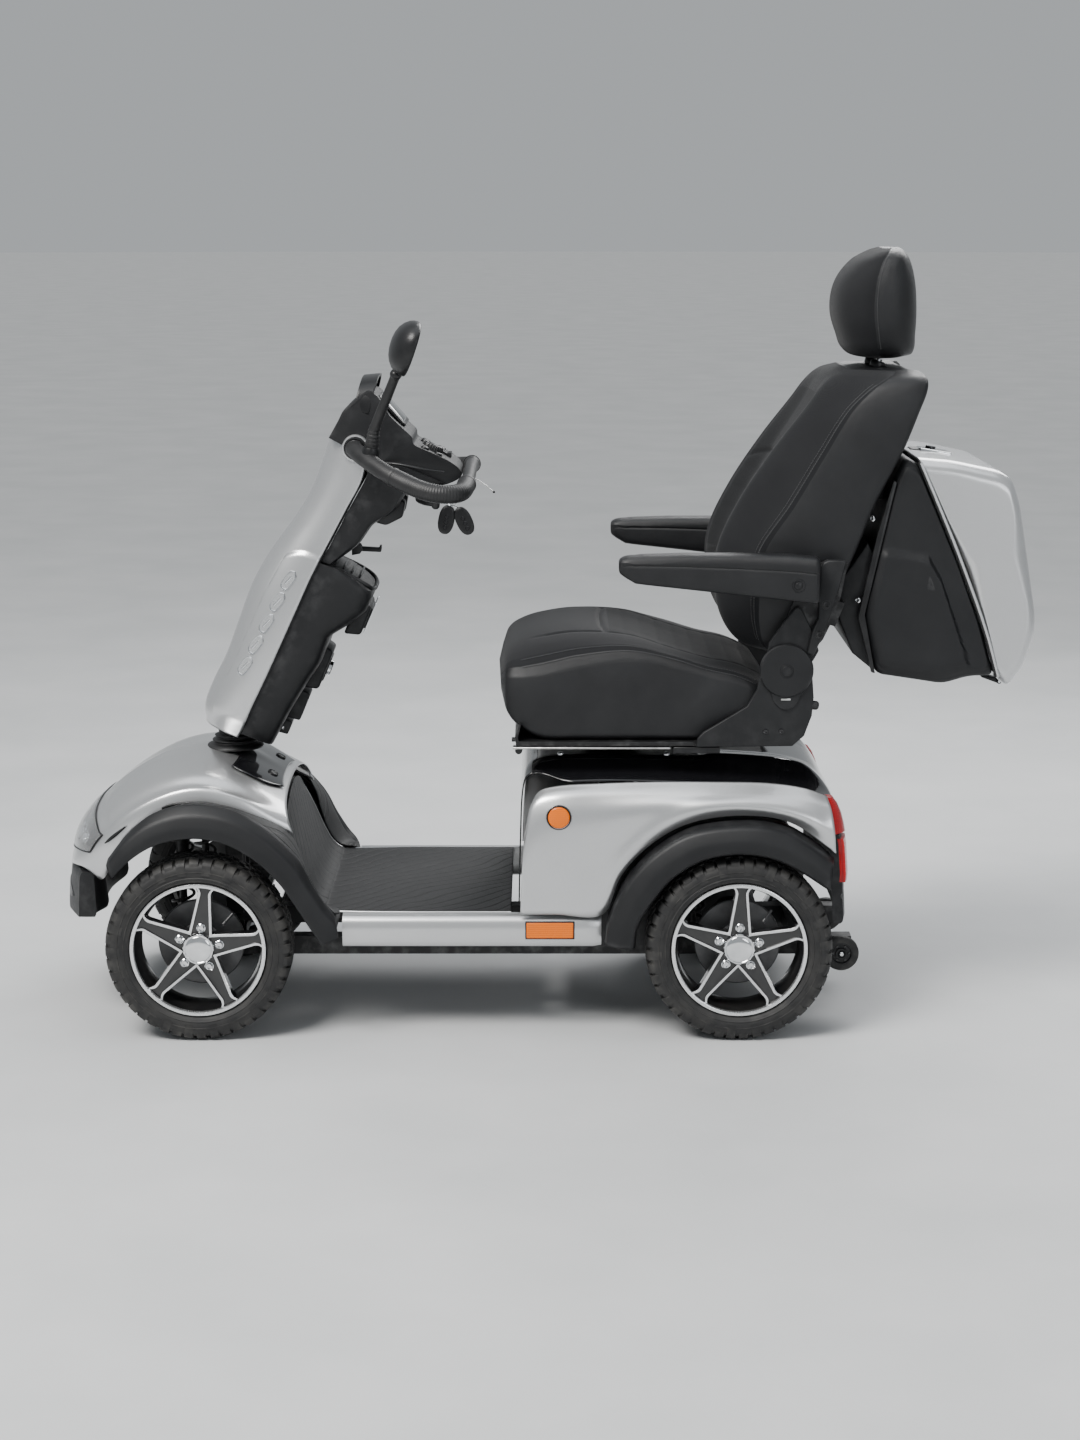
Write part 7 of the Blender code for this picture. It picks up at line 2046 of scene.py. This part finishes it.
def cushion_back():
    NS = 180

    def seam_y(z):
        return cub(BACK, z)[0]
    rows, tags = [], None
    zs = []
    for i in range(NS + 1):
        t = i / NS
        zs.append(0.7300 + 0.5420 * (t - 0.055 * math.sin(2 * math.pi * t)))
    for z in zs:
        side_y, front_y, rear_y, w, dip = cub(BACK, z)
        half = []
        n1 = 46
        for k in range(n1 + 1):
            t = k / n1                      # 0 centre to 1 side seam
            x = w * 0.985 * t
            u = t
            # front face: centre dip, bolster crest at 0.66, then falls to the seam
            y = front_y + dip * (1 - sstep(0.26, 0.66, u)) + (side_y - front_y) * sstep(0.60, 1.0, u) ** 1.55
            g = math.exp(-((u - 0.60) / 0.011) ** 2)
            y += 0.0050 * g * sstep(0.76, 0.82, z) * (1 - sstep(1.22, 1.255, z))
            y += 0.0034 * math.exp(-((u - 0.972) / 0.012) ** 2)
            if u < 0.60:
                for zc in (0.905, 1.105):
                    zz = zc - 0.020 * (u / 0.6) ** 2
                    y += 0.0050 * math.exp(-((z - zz) / 0.0042) ** 2) * (1 - sstep(0.57, 0.60, u))
                y += 0.0014 * (1 - abs(math.sin((z - 0.905) * math.pi / 0.040)) ** 0.5) * sstep(0.905, 0.92, z) * (1 - sstep(1.09, 1.105, z))
            # long soft folds
            y += 0.0011 * math.sin(z * 41 + u * 6.0) * sstep(0.62, 0.80, u) * (1 - sstep(0.90, 1.0, u))
            half.append((x, y, 0 if u >= 0.60 else (2 if 0.905 < z < 1.225 else 0)))
        # side panel from the seam to the rear edge, softly bulged with folds
        n2 = 16
        for k in range(1, n2 + 1):
            t = k / n2
            y = side_y + (rear_y - 0.012 - side_y) * t
            fold = 0.0014 * math.sin(z * 33 + t * 2.6) * math.sin(math.pi * t) ** 1.5
            half.append((w * 0.985 + 0.0060 * math.sin(math.pi * t) ** 0.7 + fold, y, 1))
        for k in range(1, 6):
            a = math.pi / 2 * k / 5
            half.append((w * 0.985 - 0.012 * (1 - math.cos(a)), rear_y - 0.012 + 0.012 * math.sin(a), 1))
        half.append((w * 0.86, rear_y - 0.0005, 1))
        half.append((w * 0.80, rear_y - 0.010, 3))
        for k in range(1, 7):
            half.append((w * 0.80 * (1 - k / 6), rear_y - 0.014 + 0.0, 3))
        left = [(-x, y, t) for x, y, t in half[-2:0:-1]]
        full = half + left
        tags = [t for _, _, t in full]
        rows.append([(x, y, z) for x, y, t in full])
    rowtags = []
    for z in zs:
        rowtags.append(0.905 < z < 1.225)
    cols = len(rows[0])
    verts = [p for r in rows for p in r]
    faces = grid_faces(len(rows), cols)
    idx = []
    mapping = {0: 0, 1: 1, 2: 2, 3: 1}
    for j in range(len(rows) - 1):
        z = (zs[j] + zs[j + 1]) / 2
        for i in range(cols):
            x, y, _ = rows[j][i]
            side_y, front_y, rear_y, w, dip = cub(BACK, z)
            u = abs(x) / (w * 0.985)
            t = tags[i]
            if t in (1, 3):
                idx.append(1)
            elif u < 0.595 and 0.905 < z < 1.225:
                idx.append(2)
            else:
                idx.append(0)
    for base, rev in ((0, False), ((len(rows) - 1) * cols, True)):
        r = rows[0] if not rev else rows[-1]
        c = (0, sum(p[1] for p in r) / cols, r[0][2] + (-0.004 if not rev else 0.003))
        verts.append(c)
        ci = len(verts) - 1
        for i in range(cols):
            faces.append([ci, base + (i + 1) % cols, base + i] if not rev else [ci, base + i, base + (i + 1) % cols])
            idx.append(1)
    soft("vis_backrest_cushion", verts, faces, ["fabric", "vinyl", "mesh"], idx, "backrest", "backrest_cushion")
    for sx, nm in ((1, "left"), (-1, "right")):
        for k, (off, mv) in enumerate(((0.9900, 0.0), (0.9480, 0.0))):
            pts, nr = [], []
            for z in spread(0.760, 1.250, 140):
                side_y, front_y, rear_y, w, dip = cub(BACK, z)
                u = off
                y = front_y + (side_y - front_y) * sstep(0.60, 1.0, u) ** 1.55 - 0.0004
                pts.append(Vector((sx * w * 0.985 * u, y, z)))
                nr.append(Vector((sx * 0.6, -0.8, 0.1)).normalized())
            stitches("vis_back_stitch_%s_%d" % (nm, k), pts, nr, "backrest")


cushion_back()


def headrest():
    HR = [(1.2900, 0.640, 0.700, 0.070), (1.2970, 0.600, 0.722, 0.102), (1.3370, 0.578, 0.727, 0.122),
          (1.3830, 0.567, 0.728, 0.130), (1.4340, 0.576, 0.724, 0.128), (1.4740, 0.606, 0.714, 0.114),
          (1.4930, 0.640, 0.702, 0.092), (1.5000, 0.662, 0.692, 0.060)]
    N, seg = 70, 112
    rows = []
    zs = []
    for i in range(N + 1):
        t = i / N
        t2 = 0.5 - 0.5 * math.cos(math.pi * t)
        zs.append(1.2900 + 0.2095 * (0.35 * t + 0.65 * t2))
    for z in zs:
        y0, y1, w = cub(HR, z)
        cy, hy = (y0 + y1) / 2, (y1 - y0) / 2
        ring = []
        for k in range(seg):
            a = 2 * math.pi * k / seg
            ca, sa = math.cos(a), math.sin(a)
            p = 3.0
            x = math.copysign(abs(ca) ** (2 / p), ca) * w
            y = cy + math.copysign(abs(sa) ** (2 / p), sa) * hy
            # seam ring where the front panel meets the side band
            f = (y - (cy - 0.18 * hy)) / hy
            gq = math.exp(-(f / 0.035) ** 2) * sstep(0.55, 0.80, abs(x) / w)
            x -= math.copysign(0.0034 * gq, x) if abs(x) > 1e-6 else 0.0
            # small puckers beside the seam
            pk = math.exp(-((f - 0.12) / 0.10) ** 2) * sstep(0.70, 0.9, abs(x) / w)
            x += math.copysign(0.0009 * pk * math.sin((z - 1.29) * 900), x) if abs(x) > 1e-6 else 0.0
            ring.append((x, y, z + 0.0012 * math.sin(a * 2)))
        rows.append(ring)
    verts = [p for r in rows for p in r]
    faces = grid_faces(len(rows), seg)
    idx = [0] * len(faces)
    for base, r, rev in ((0, rows[0], False), ((len(rows) - 1) * seg, rows[-1], True)):
        c = (0, sum(p[1] for p in r) / seg, r[0][2] + (0.0015 if rev else -0.001))
        verts.append(c)
        ci = len(verts) - 1
        for i in range(seg):
            faces.append([ci, base + (i + 1) % seg, base + i] if not rev else [ci, base + i, base + (i + 1) % seg])
            idx.append(0)
    # front centre in fabric
    n = 0
    for j in range(len(rows) - 1):
        y0, y1, w = cub(HR, zs[j])
        cy, hy = (y0 + y1) / 2, (y1 - y0) / 2
        for i in range(seg):
            x, y, z = rows[j][i]
            if y < cy - 0.20 * hy:
                idx[n] = 1
            n += 1
    ob = soft("vis_headrest", verts, faces, ["vinyl", "fabric"], idx, "head_pad", "headrest")
    # steel posts and their sleeves
    posts = []
    for sx in (-0.045, 0.045):
        b = Vector((sx, 0.6560, 1.2800))
        posts.append(lathe("hp", [(0, -0.095), (0.0058, -0.095), (0.0058, 0.045), (0, 0.045)], b, BD, "chrome", None, None, seg=24))
    merge("vis_headrest_posts", posts, "head_pad", "zinc_steel", 35)
    sl = []
    for sx in (-0.045, 0.045):
        b = Vector((sx, 0.6560, 1.2800)) - BD * 0.0085
        sl.append(lathe("hs", [(0.0064, 0.0), (0.0064, 0.0110), (0.0085, 0.0125), (0.0140, 0.0118), (0.0155, 0.0090), (0.0150, 0.0), (0.0085, -0.004)], b, BD, "smooth", None, None, seg=28, ring=True))
    merge("vis_post_sleeves", sl, "backrest", "textured_black", 35)
    for sx, nm in ((1, "left"), (-1, "right")):
        pts, nr = [], []
        for z in spread(1.305, 1.488, 60):
            y0, y1, w = cub(HR, z)
            cy, hy = (y0 + y1) / 2, (y1 - y0) / 2
            f = 0.10
            sa = (f - 0.18)
            aa = max(0.0, 1 - abs(sa) ** 3.0) ** (1 / 3.0)
            pts.append(Vector((sx * w * aa, cy + sa * hy, z)))
            nr.append(Vector((sx, 0, 0)))
        stitches("vis_head_stitch_" + nm, pts, nr, "head_pad")


headrest()


def armrests():
    top = [(0.1480, 0.9200), (0.1560, 0.9330), (0.1850, 0.9385), (0.2700, 0.9412), (0.3810, 0.9412), (0.4700, 0.9392), (0.5190, 0.9345), (0.5230, 0.9300)]
    bot = [(0.1500, 0.9030), (0.1660, 0.8880), (0.2000, 0.8835), (0.3230, 0.8700), (0.4300, 0.8580), (0.5150, 0.8485), (0.5225, 0.8520)]
    T = [(y, z) for y, z in top]
    B = [(y, z) for y, z in bot]
    rows = []
    ys = [0.1480, 0.1486, 0.1498, 0.1518, 0.1545, 0.1580, 0.1625, 0.169, 0.178] + spread(0.19, 0.505, 36) + [0.512, 0.518, 0.5215, 0.5232]
    for y in ys:
        t = min(1.0, (y - 0.1480) / 0.030)
        e = math.sqrt(max(0.0, 1 - (1 - t) ** 2.4))
        zt = lin(T, max(y, 0.178))[0] - 0.0105 * (1 - e)
        zb = lin(B, max(y, 0.178))[0] + 0.0150 * (1 - t) ** 0.9 + 0.0050 * (1 - e)
        e2 = 1 - sstep(0.516, 0.5240, y) ** 2 * 0.25
        hw = 0.0275 * (0.80 + 0.20 * e) * e2
        zm = zt + (zb - zt) * 0.34          # stitch line
        f = 0.92 + 0.08 * e
        zt_ = zm + (zt - zm) * f
        zb_ = zm + (zb - zm) * f
        prof = [(0.0, zt_ + 0.0006), (0.35, zt_ + 0.0004), (0.62, zt_ - 0.0008), (0.82, zt_ - 0.0035), (0.94, zt_ - 0.0085), (1.0, zt_ - 0.0150),
                (1.005, zm + 0.0045), (0.985, zm + 0.0012), (0.950, zm), (0.985, zm - 0.0012), (1.0, zm - 0.0045), (1.0, zm + (zb_ - zm) * 0.55), (0.985, zb_ + 0.0095), (0.93, zb_ + 0.0035), (0.80, zb_ + 0.0008), (0.40, zb_), (0.0, zb_)]
        half = [(x * hw, z) for x, z in prof]
        ring = half + [(-x, z) for x, z in half[-2:0:-1]]
        rows.append([(0.2995 + x, y, z) for x, z in ring])
    a = loft("ar", rows, "vinyl", None, None, caps=True, angle=55)
    # pivot button and its ring, outer side
    p = (0.3268, 0.482, 0.884)
    b = lathe("arp", [(0, 0.0012), (0.0060, 0.0012), (0.0068, 0.0004), (0.0078, 0.0004), (0.0086, 0.0016), (0.0118, 0.0014), (0.0128, 0.0), (0.0128, -0.004), (0, -0.004)], p, (1, 0, 0), "smooth", None, None, seg=48)
    ob = merge("vis_armrest_left", [a, b], "arm_l", "arm_pad", 50)
    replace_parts(ob, "armrest_left")
    o2 = twin(ob, "vis_armrest_right", "arm_r")
    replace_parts(o2, "armrest_right")
    # bracket on the backrest that carries it
    br = [(0.5275, 0.9090), (0.5330, 0.9200), (0.5430, 0.9245), (0.5640, 0.9245), (0.5770, 0.9225), (0.5640, 0.8700), (0.5480, 0.8180), (0.5360, 0.7820), (0.5180, 0.7420),
          (0.5060, 0.7480), (0.5150, 0.7900), (0.5260, 0.8150), (0.5262, 0.8600)]
    parts = [prism("bk", br, 0.2560, 0.2740, "grain", None, None, 0.0035, 3)]
    for y, z in ((0.5400, 0.8400), (0.5290, 0.7830)):
        parts.append(lathe("bks", [(0, 0.0004), (0.0030, 0.0004), (0.0036, 0.0022), (0.0062, 0.0022), (0.0070, 0.0008), (0.0086, 0.0006), (0.0090, -0.001), (0, -0.001)], (0.2742, y, z), (1, 0, 0), "steel", None, None, seg=28))
    parts.append(lathe("bka", [(0, -0.012), (0.0085, -0.012), (0.0085, 0.012), (0, 0.012)], (0.2640, 0.482, 0.884), (1, 0, 0), "steel", None, None, seg=28))
    parts.append(prism("bkb", [(0.470, 0.876), (0.478, 0.894), (0.540, 0.880), (0.540, 0.850)], 0.2570, 0.2690, "grain", None, None, 0.002, 2))
    m = merge("vis_arm_bracket_left", parts, "backrest", "textured_black", 35)
    twin(m, "vis_arm_bracket_right", "backrest")


armrests()


# ================================================================== storage box
def box():
    BOXO = [(0.6130, 0.8140), (0.6440, 0.6960), (0.7750, 0.6760), (0.8250, 0.6910), (0.8730, 0.6920), (0.8460, 0.7870),
            (0.7950, 0.9200), (0.7480, 1.0290), (0.7160, 1.1010), (0.6900, 1.1130), (0.6680, 1.0660)]
    LIDO = [(0.8780, 0.6860), (0.8990, 0.6700), (0.9280, 0.7080), (0.9480, 0.7700), (0.9490, 0.8080), (0.9250, 0.9510),
            (0.9120, 1.0250), (0.8950, 1.0720), (0.8700, 1.0870), (0.7780, 1.1060), (0.7140, 1.1110)]
    SEAM = [(0.7160, 1.1030), (0.7480, 1.0310), (0.7950, 0.9220), (0.8460, 0.7900), (0.8750, 0.6930)]

    def closed(pts, r, n=5):
        P = [Vector((0, y, z)) for y, z in pts]
        m = len(P)
        out = []
        for i in range(m):
            a, b, c = P[i - 1], P[i], P[(i + 1) % m]
            rr = min(r, (a - b).length * 0.45, (c - b).length * 0.45)
            p, q = b + (a - b).normalized() * rr, b + (c - b).normalized() * rr
            for k in range(n + 1):
                t = k / n
                out.append(p * (1 - t) ** 2 + b * (2 * t * (1 - t)) + q * t * t)
        return out

    def shell(name, pts, hw, edge, mat, body, slot, rad, sharp=34, sculpt=None):
        """Hollow-looking closed body with rounded side edges."""
        loop = closed(pts, rad)
        c = sum(loop, Vector()) / len(loop)
        rings = []
        steps = 9
        levels = []
        for k in range(steps + 1):
            a = math.pi / 2 * k / steps
            levels.append((hw - edge + edge * math.sin(a), edge * (1 - math.cos(a))))
        # from one side face centre, over the edge, across, to the other side
        face = [(hw, edge, s) for s in (0.0,)]
        seq = []
        for s in (0.25, 0.5, 0.75, 0.9, 0.97):
            seq.append((hw, None, s))
        for x, ins in levels[::-1]:
            seq.append((x, ins, 1.0))
        mid = [(x, 0.0, 1.0) for x in spread(hw - edge, -(hw - edge), 16)[1:-1]]
        full = seq + mid + [(-x, i, s) for x, i, s in seq[::-1]]
        for x, ins, s in full:
            ring = []
            for p in loop:
                d = p - c
                L = d.length
                inset = edge if ins is None else ins
                q = c + d * ((L - inset) / L) * s if s < 1.0 else c + d * ((L - inset) / L)
                ring.append(Vector((x, q.y, q.z)))
            if sculpt:
                ring = [sculpt(v) for v in ring]
            rings.append(ring)
        return loft(name, rings, mat, body, slot, caps=True, angle=sharp)

    def sc(v):
        # side cheek: the rear lower area is recessed, its border a soft step
        if abs(v.x) > 0.19:
            # border: runs (0.6313,0.9387) (0.7400,0.9212) (0.8256,0.7049)
            zl = lin([(0.60, 0.9435), (0.7400, 0.9212), (0.7600, 0.8900), (0.8256, 0.7049), (0.86, 0.60)], v.y)[0]
            d = v.z - zl
            k = sstep(-0.006, 0.010, d)
            v.x += math.copysign(0.0000 + 0.0045 * k, v.x) - math.copysign(0.0025, v.x)
        return v
    # denser side faces for the sculpted step: build the cheeks as grids
    def carve(ob, pts, hw):
        """Hollow the body out through its open side."""
        cut = prism("bx_cut", pts, -hw, hw, "grain", None, None, 0.006, 3)
        m = ob.modifiers.new("hollow", "BOOLEAN")
        m.operation = "DIFFERENCE"
        m.solver = "EXACT"
        m.object = cut
        bake(ob)
        d = cut.data
        bpy.data.objects.remove(cut, do_unlink=True)
        bpy.data.meshes.remove(d)
        return ob

    base = shell("bx_base", BOXO, 0.2120, 0.016, "grain", None, None, 0.016)
    carve(base, [(0.6195, 0.8150), (0.6495, 0.7015), (0.7745, 0.6820), (0.8240, 0.6970), (0.8660, 0.6985), (0.9200, 0.7100), (0.7700, 1.1300), (0.7110, 1.0950), (0.6925, 1.1065), (0.6740, 1.0640)], 0.2060)
    parts = [base]
    loop = closed(BOXO, 0.020)
    ce = sum(loop, Vector()) / len(loop)
    for sx in (1, -1):
        verts, faces = [], []
        m = len(loop)
        R = 34
        # resample outline evenly
        per = [0.0]
        for i in range(m):
            per.append(per[-1] + (loop[(i + 1) % m] - loop[i]).length)
        tot = per[-1]
        M = 150
        ev = []
        j = 0
        for i in range(M):
            d = tot * i / M
            while per[j + 1] < d:
                j += 1
            t = (d - per[j]) / max(per[j + 1] - per[j], 1e-9)
            ev.append(loop[j].lerp(loop[(j + 1) % m], t))
        for r in range(R + 1):
            f = 0.952 * (r / R) ** 0.9
            for p in ev:
                q = ce + (p - ce) * f
                zl = lin([(0.60, 0.9435), (0.7400, 0.9212), (0.7640, 0.8800), (0.8256, 0.7049), (0.86, 0.60)], q.y)[0]
                k = 1 - sstep(-0.009, 0.007, q.z - zl)
                xx = 0.2140 + 0.0078 * k * (1 - sstep(0.80, 0.950, f)) + 0.0012 * sstep(0.50, 0.90, f) - 0.0046 * sstep(0.900, 0.952, f) ** 1.5
                verts.append((sx * xx, q.y, q.z))
        for r in range(R):
            for i in range(M):
                q = [r * M + i, r * M + (i + 1) % M, (r + 1) * M + (i + 1) % M, (r + 1) * M + i]
                faces.append(q)
        parts.append(put("bx_ck%d" % sx, verts, faces, "grain", None, None, True, 40))
    # front flange with bolts
    fl = [(0.6060, 0.8030), (0.6120, 0.7900), (0.6350, 0.6980), (0.6440, 0.6960), (0.6160, 0.8100), (0.6480, 0.9600), (0.6720, 1.0640), (0.6680, 1.0720), (0.6560, 1.0450), (0.6350, 0.9500)]
    for sx in (-1, 1):
        x0, x1 = sorted((sx * 0.2080, sx * 0.2190))
        parts.append(prism("bx_fl%d" % sx, [(0.6075, 0.8080), (0.6100, 0.7980), (0.6350, 0.7010), (0.6420, 0.6990), (0.6200, 0.8130), (0.6750, 1.0650), (0.6690, 1.0700), (0.6390, 0.9600)], x0, x1, "smooth", None, None, 0.0016, 2))
        for y, z in ((0.6290, 1.0080), (0.5960, 0.8260)):
            pass
    parts.append(prism("bx_br", [(0.5600, 0.8600), (0.5730, 0.8000), (0.6000, 0.7350), (0.6380, 0.7040), (0.6360, 0.7200), (0.6160, 0.8050), (0.6400, 0.9200), (0.6250, 0.9500), (0.5950, 0.9050)],
                       -0.2000, 0.2000, "grain", None, None, 0.004, 3))
    ob = merge("vis_box_base", parts, "backrest", "textured_black", 34)
    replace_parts(ob, "box_base")
    for k, (y, z) in enumerate(((0.6370, 0.9960), (0.6130, 0.8400))):
        for sx in (1, -1):
            screw("vis_box_bolt_%d%s" % (k, "l" if sx > 0 else "r"), (sx * 0.2140, y - 0.006, z), (sx * 0.9, -0.45, 0.1), 0.0062, 0.0050, "backrest")
    # lid: silver cap with its rounded edges, black gasket along the seam
    lid_pts = LIDO + [(p[0] + 0.0022, p[1] + 0.0006) for p in SEAM[:]]
    lid = shell("lid", LIDO + [(y + 0.0016, z + 0.0006) for y, z in SEAM], 0.2220, 0.030, "silver", None, None, 0.020, 40)
    carve(lid, [(0.8850, 0.6960), (0.8990, 0.6790), (0.9220, 0.7110), (0.9410, 0.7710), (0.9420, 0.8080), (0.9180, 0.9500), (0.9050, 1.0230), (0.8890, 1.0670), (0.8680, 1.0800), (0.7770, 1.0990), (0.7260, 1.1030), (0.6900, 1.0900), (0.8500, 0.6800)], 0.2130)
    # flange lip round the lid's seam side
    lip = []
    for sx in (1, -1):
        pts = path([(sx * 0.2225, y + 0.0030, z) for y, z in SEAM], 8)
        lip.append(sweep("lp%d" % sx, pts, 0.0030, "silver", None, None, 10))
        g = path([(sx * 0.2195, y - 0.0006, z) for y, z in SEAM], 8)
        lip.append(sweep("lg%d" % sx, g, 0.0030, "bar", None, None, 10))
    ob = merge("vis_box_lid", [lid] + lip, "lid", "silver_paint", 40)
    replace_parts(ob, "box_lid")
    # latch on the lid's top
    a = prism("lt", [(0.7420, 1.1080), (0.7450, 1.1135), (0.8050, 1.1040), (0.8060, 1.0980)], -0.030, 0.030, "chrome", None, None, 0.0022, 3)
    b = lathe("lb", [(0, 0.0036), (0.0090, 0.0036), (0.0100, 0.0026), (0.0104, -0.002), (0, -0.002)], (0, 0.7680, 1.1115), (0, 0.16, 1.0), "gloss", None, None, seg=36)
    c = prism("lc", [(0.7240, 1.1060), (0.7260, 1.1120), (0.7420, 1.1120), (0.7420, 1.1060)], -0.022, 0.022, "smooth", None, None, 0.0015, 2)
    merge("vis_box_latch", [a, b, c], "lid", "zinc_steel", 35)
    # hinges at the lower edge
    for sx, nm in ((1, "left"), (-1, "right")):
        k1 = lathe("hk", [(0, -0.016), (0.0052, -0.016), (0.0052, 0.016), (0, 0.016)], (sx * 0.150, 0.8895, 0.6745), (1, 0, 0), "smooth", None, None, seg=24)
        k2 = lathe("hb", [(0, -0.020), (0.0026, -0.020), (0.0026, 0.020), (0, 0.020)], (sx * 0.150, 0.8895, 0.6745), (1, 0, 0), "chrome", None, None, seg=16)
        k3 = prism("hl", [(0.862, 0.6860), (0.888, 0.6795), (0.893, 0.6745), (0.886, 0.6705), (0.855, 0.6820)], min(sx * 0.136, sx * 0.164), max(sx * 0.136, sx * 0.164), "smooth", None, None, 0.0012, 2)
        merge("vis_box_hinge_" + nm, [k1, k2, k3], "backrest", "textured_black", 35)


box()


# ================================================================== hidden pieces kept as they are
for name, key in (("chassis_frame", "steel"), ("battery_pack", "smooth"), ("transaxle", "cast"), ("steering_column", "steel"),
                  ("knuckle_left", "steel"), ("knuckle_right", "steel"), ("tie_rod", "zinc"), ("seat_turntable", "zinc"),
                  ("backrest_frame", "steel")):
    o = frame["nodes"][name]
    o.data.materials.clear()
    o.data.materials.append(MATS[key])


def under():
    """Springs and links seen through the wheels and under the fenders."""
    bits = []
    for sx in (1, -1):
        for (y, z0, z1, r, k) in ((-0.700, 0.215, 0.400, 0.021, 6), (0.300, 0.190, 0.395, 0.022, 7)):
            x = sx * (0.176 if y < 0 else 0.168)
            pts = []
            n = 18 * k
            for i in range(n + 1):
                a = 2 * math.pi * i / 18
                pts.append(Vector((x + r * math.cos(a), y + r * math.sin(a), z0 + (z1 - z0) * i / n)))
            bits.append(sweep("sp", pts, 0.0032, "steel", None, None, 8))
            bits.append(lathe("dm", [(0, z0 - 0.020), (0.0075, z0 - 0.020), (0.0075, (z0 + z1) / 2), (0.0130, (z0 + z1) / 2), (0.0130, z1 + 0.008), (0, z1 + 0.008)], (x, y, 0), (0, 0, 1), "steel", None, None, seg=20))
            for zc in (z0 - 0.006, z1 + 0.004):
                bits.append(lathe("dc", [(0, -0.003), (0.024, -0.003), (0.026, 0.0), (0.024, 0.003), (0, 0.003)], (x, y, zc), (0, 0, 1), "steel", None, None, seg=28))
    merge("vis_springs", bits, "chassis", "black_steel", 40)


under()


# ================================================================== stage
def stage():
    me = bpy.data.meshes.new("stage_floor")
    v, f = [(0.0, 0.0, -0.0005)], []
    radii = (2.0, 5.0, 12.0, 30.0, 80.0)
    for r in radii:
        for k in range(64):
            t = 2 * math.pi * k / 64
            v.append((r * math.cos(t), r * math.sin(t), -0.0005))
    for k in range(64):
        f.append([0, 1 + k, 1 + (k + 1) % 64])
    for j in range(len(radii) - 1):
        for k in range(64):
            f.append([1 + j * 64 + k, 1 + (j + 1) * 64 + k, 1 + (j + 1) * 64 + (k + 1) % 64, 1 + j * 64 + (k + 1) % 64])
    me.from_pydata(v, [], f)
    for p in me.polygons:
        p.use_smooth = True
    fl = bpy.data.objects.new("stage_floor", me)
    bpy.context.scene.collection.objects.link(fl)
    m = Mat("stage_paper")
    m.set(Base_Color=m.mix(m.ramp(m.noise(2.2, 5.0), [(0.35, 0.0), (0.7, 1.0)]), (0.50, 0.51, 0.515), (0.56, 0.565, 0.57)),
          Roughness=m.math("ADD", m.math("MULTIPLY", m.noise(40.0, 4.0), 0.1), 0.62))
    m.bump(m.noise(320.0, 3.0), 0.0004, 0.4)
    me.materials.append(m.m)

    def area(name, loc, target, size, power, col):
        d = bpy.data.lights.new(name, "AREA")
        d.shape = "RECTANGLE"
        d.size, d.size_y = size
        d.energy = power
        d.color = col
        o = bpy.data.objects.new(name, d)
        o.location = loc
        o.rotation_euler = (Vector(target) - Vector(loc)).to_track_quat("-Z", "Y").to_euler()
        bpy.context.scene.collection.objects.link(o)
    area("key", (2.6, -2.2, 4.2), (0, 0, 0.5), (2.2, 1.8), 240, (1.0, 0.98, 0.95))
    area("sky", (0.6, 0.2, 5.2), (0, 0, 0.4), (5.0, 4.0), 90, (0.93, 0.96, 1.0))
    area("fill", (4.6, 2.8, 2.0), (0, 0.1, 0.6), (2.0, 2.0), 40, (0.95, 0.97, 1.0))
    area("back", (-2.6, 1.5, 3.2), (0, 0, 0.8), (2.4, 1.8), 110, (1.0, 1.0, 1.0))
    d = bpy.data.lights.new("daylight", "SUN")
    d.energy = 1.7
    d.angle = math.radians(22)
    d.color = (1.0, 0.985, 0.96)
    o = bpy.data.objects.new("daylight", d)
    o.rotation_euler = (Vector((0, 0, 0)) - Vector((2.6, -2.0, 4.6))).to_track_quat("-Z", "Y").to_euler()
    bpy.context.scene.collection.objects.link(o)
    w = bpy.data.worlds.new("room")
    w.use_nodes = True
    bg = w.node_tree.nodes["Background"]
    bg.inputs["Color"].default_value = (0.84, 0.88, 0.91, 1)
    bg.inputs["Strength"].default_value = 0.50
    bpy.context.scene.world = w
    cd = bpy.data.cameras.new("cam")
    cd.lens = 66.9
    cd.sensor_width = 36.0
    cd.sensor_fit = "AUTO"
    cam = bpy.data.objects.new("cam", cd)
    bpy.context.scene.collection.objects.link(cam)
    cam.location = (5.27, 0.0, 1.59)
    fwd = Vector((-math.cos(math.radians(11)), 0, -math.sin(math.radians(11))))
    cam.rotation_euler = fwd.to_track_quat("-Z", "Y").to_euler()
    bpy.context.scene.camera = cam


stage()
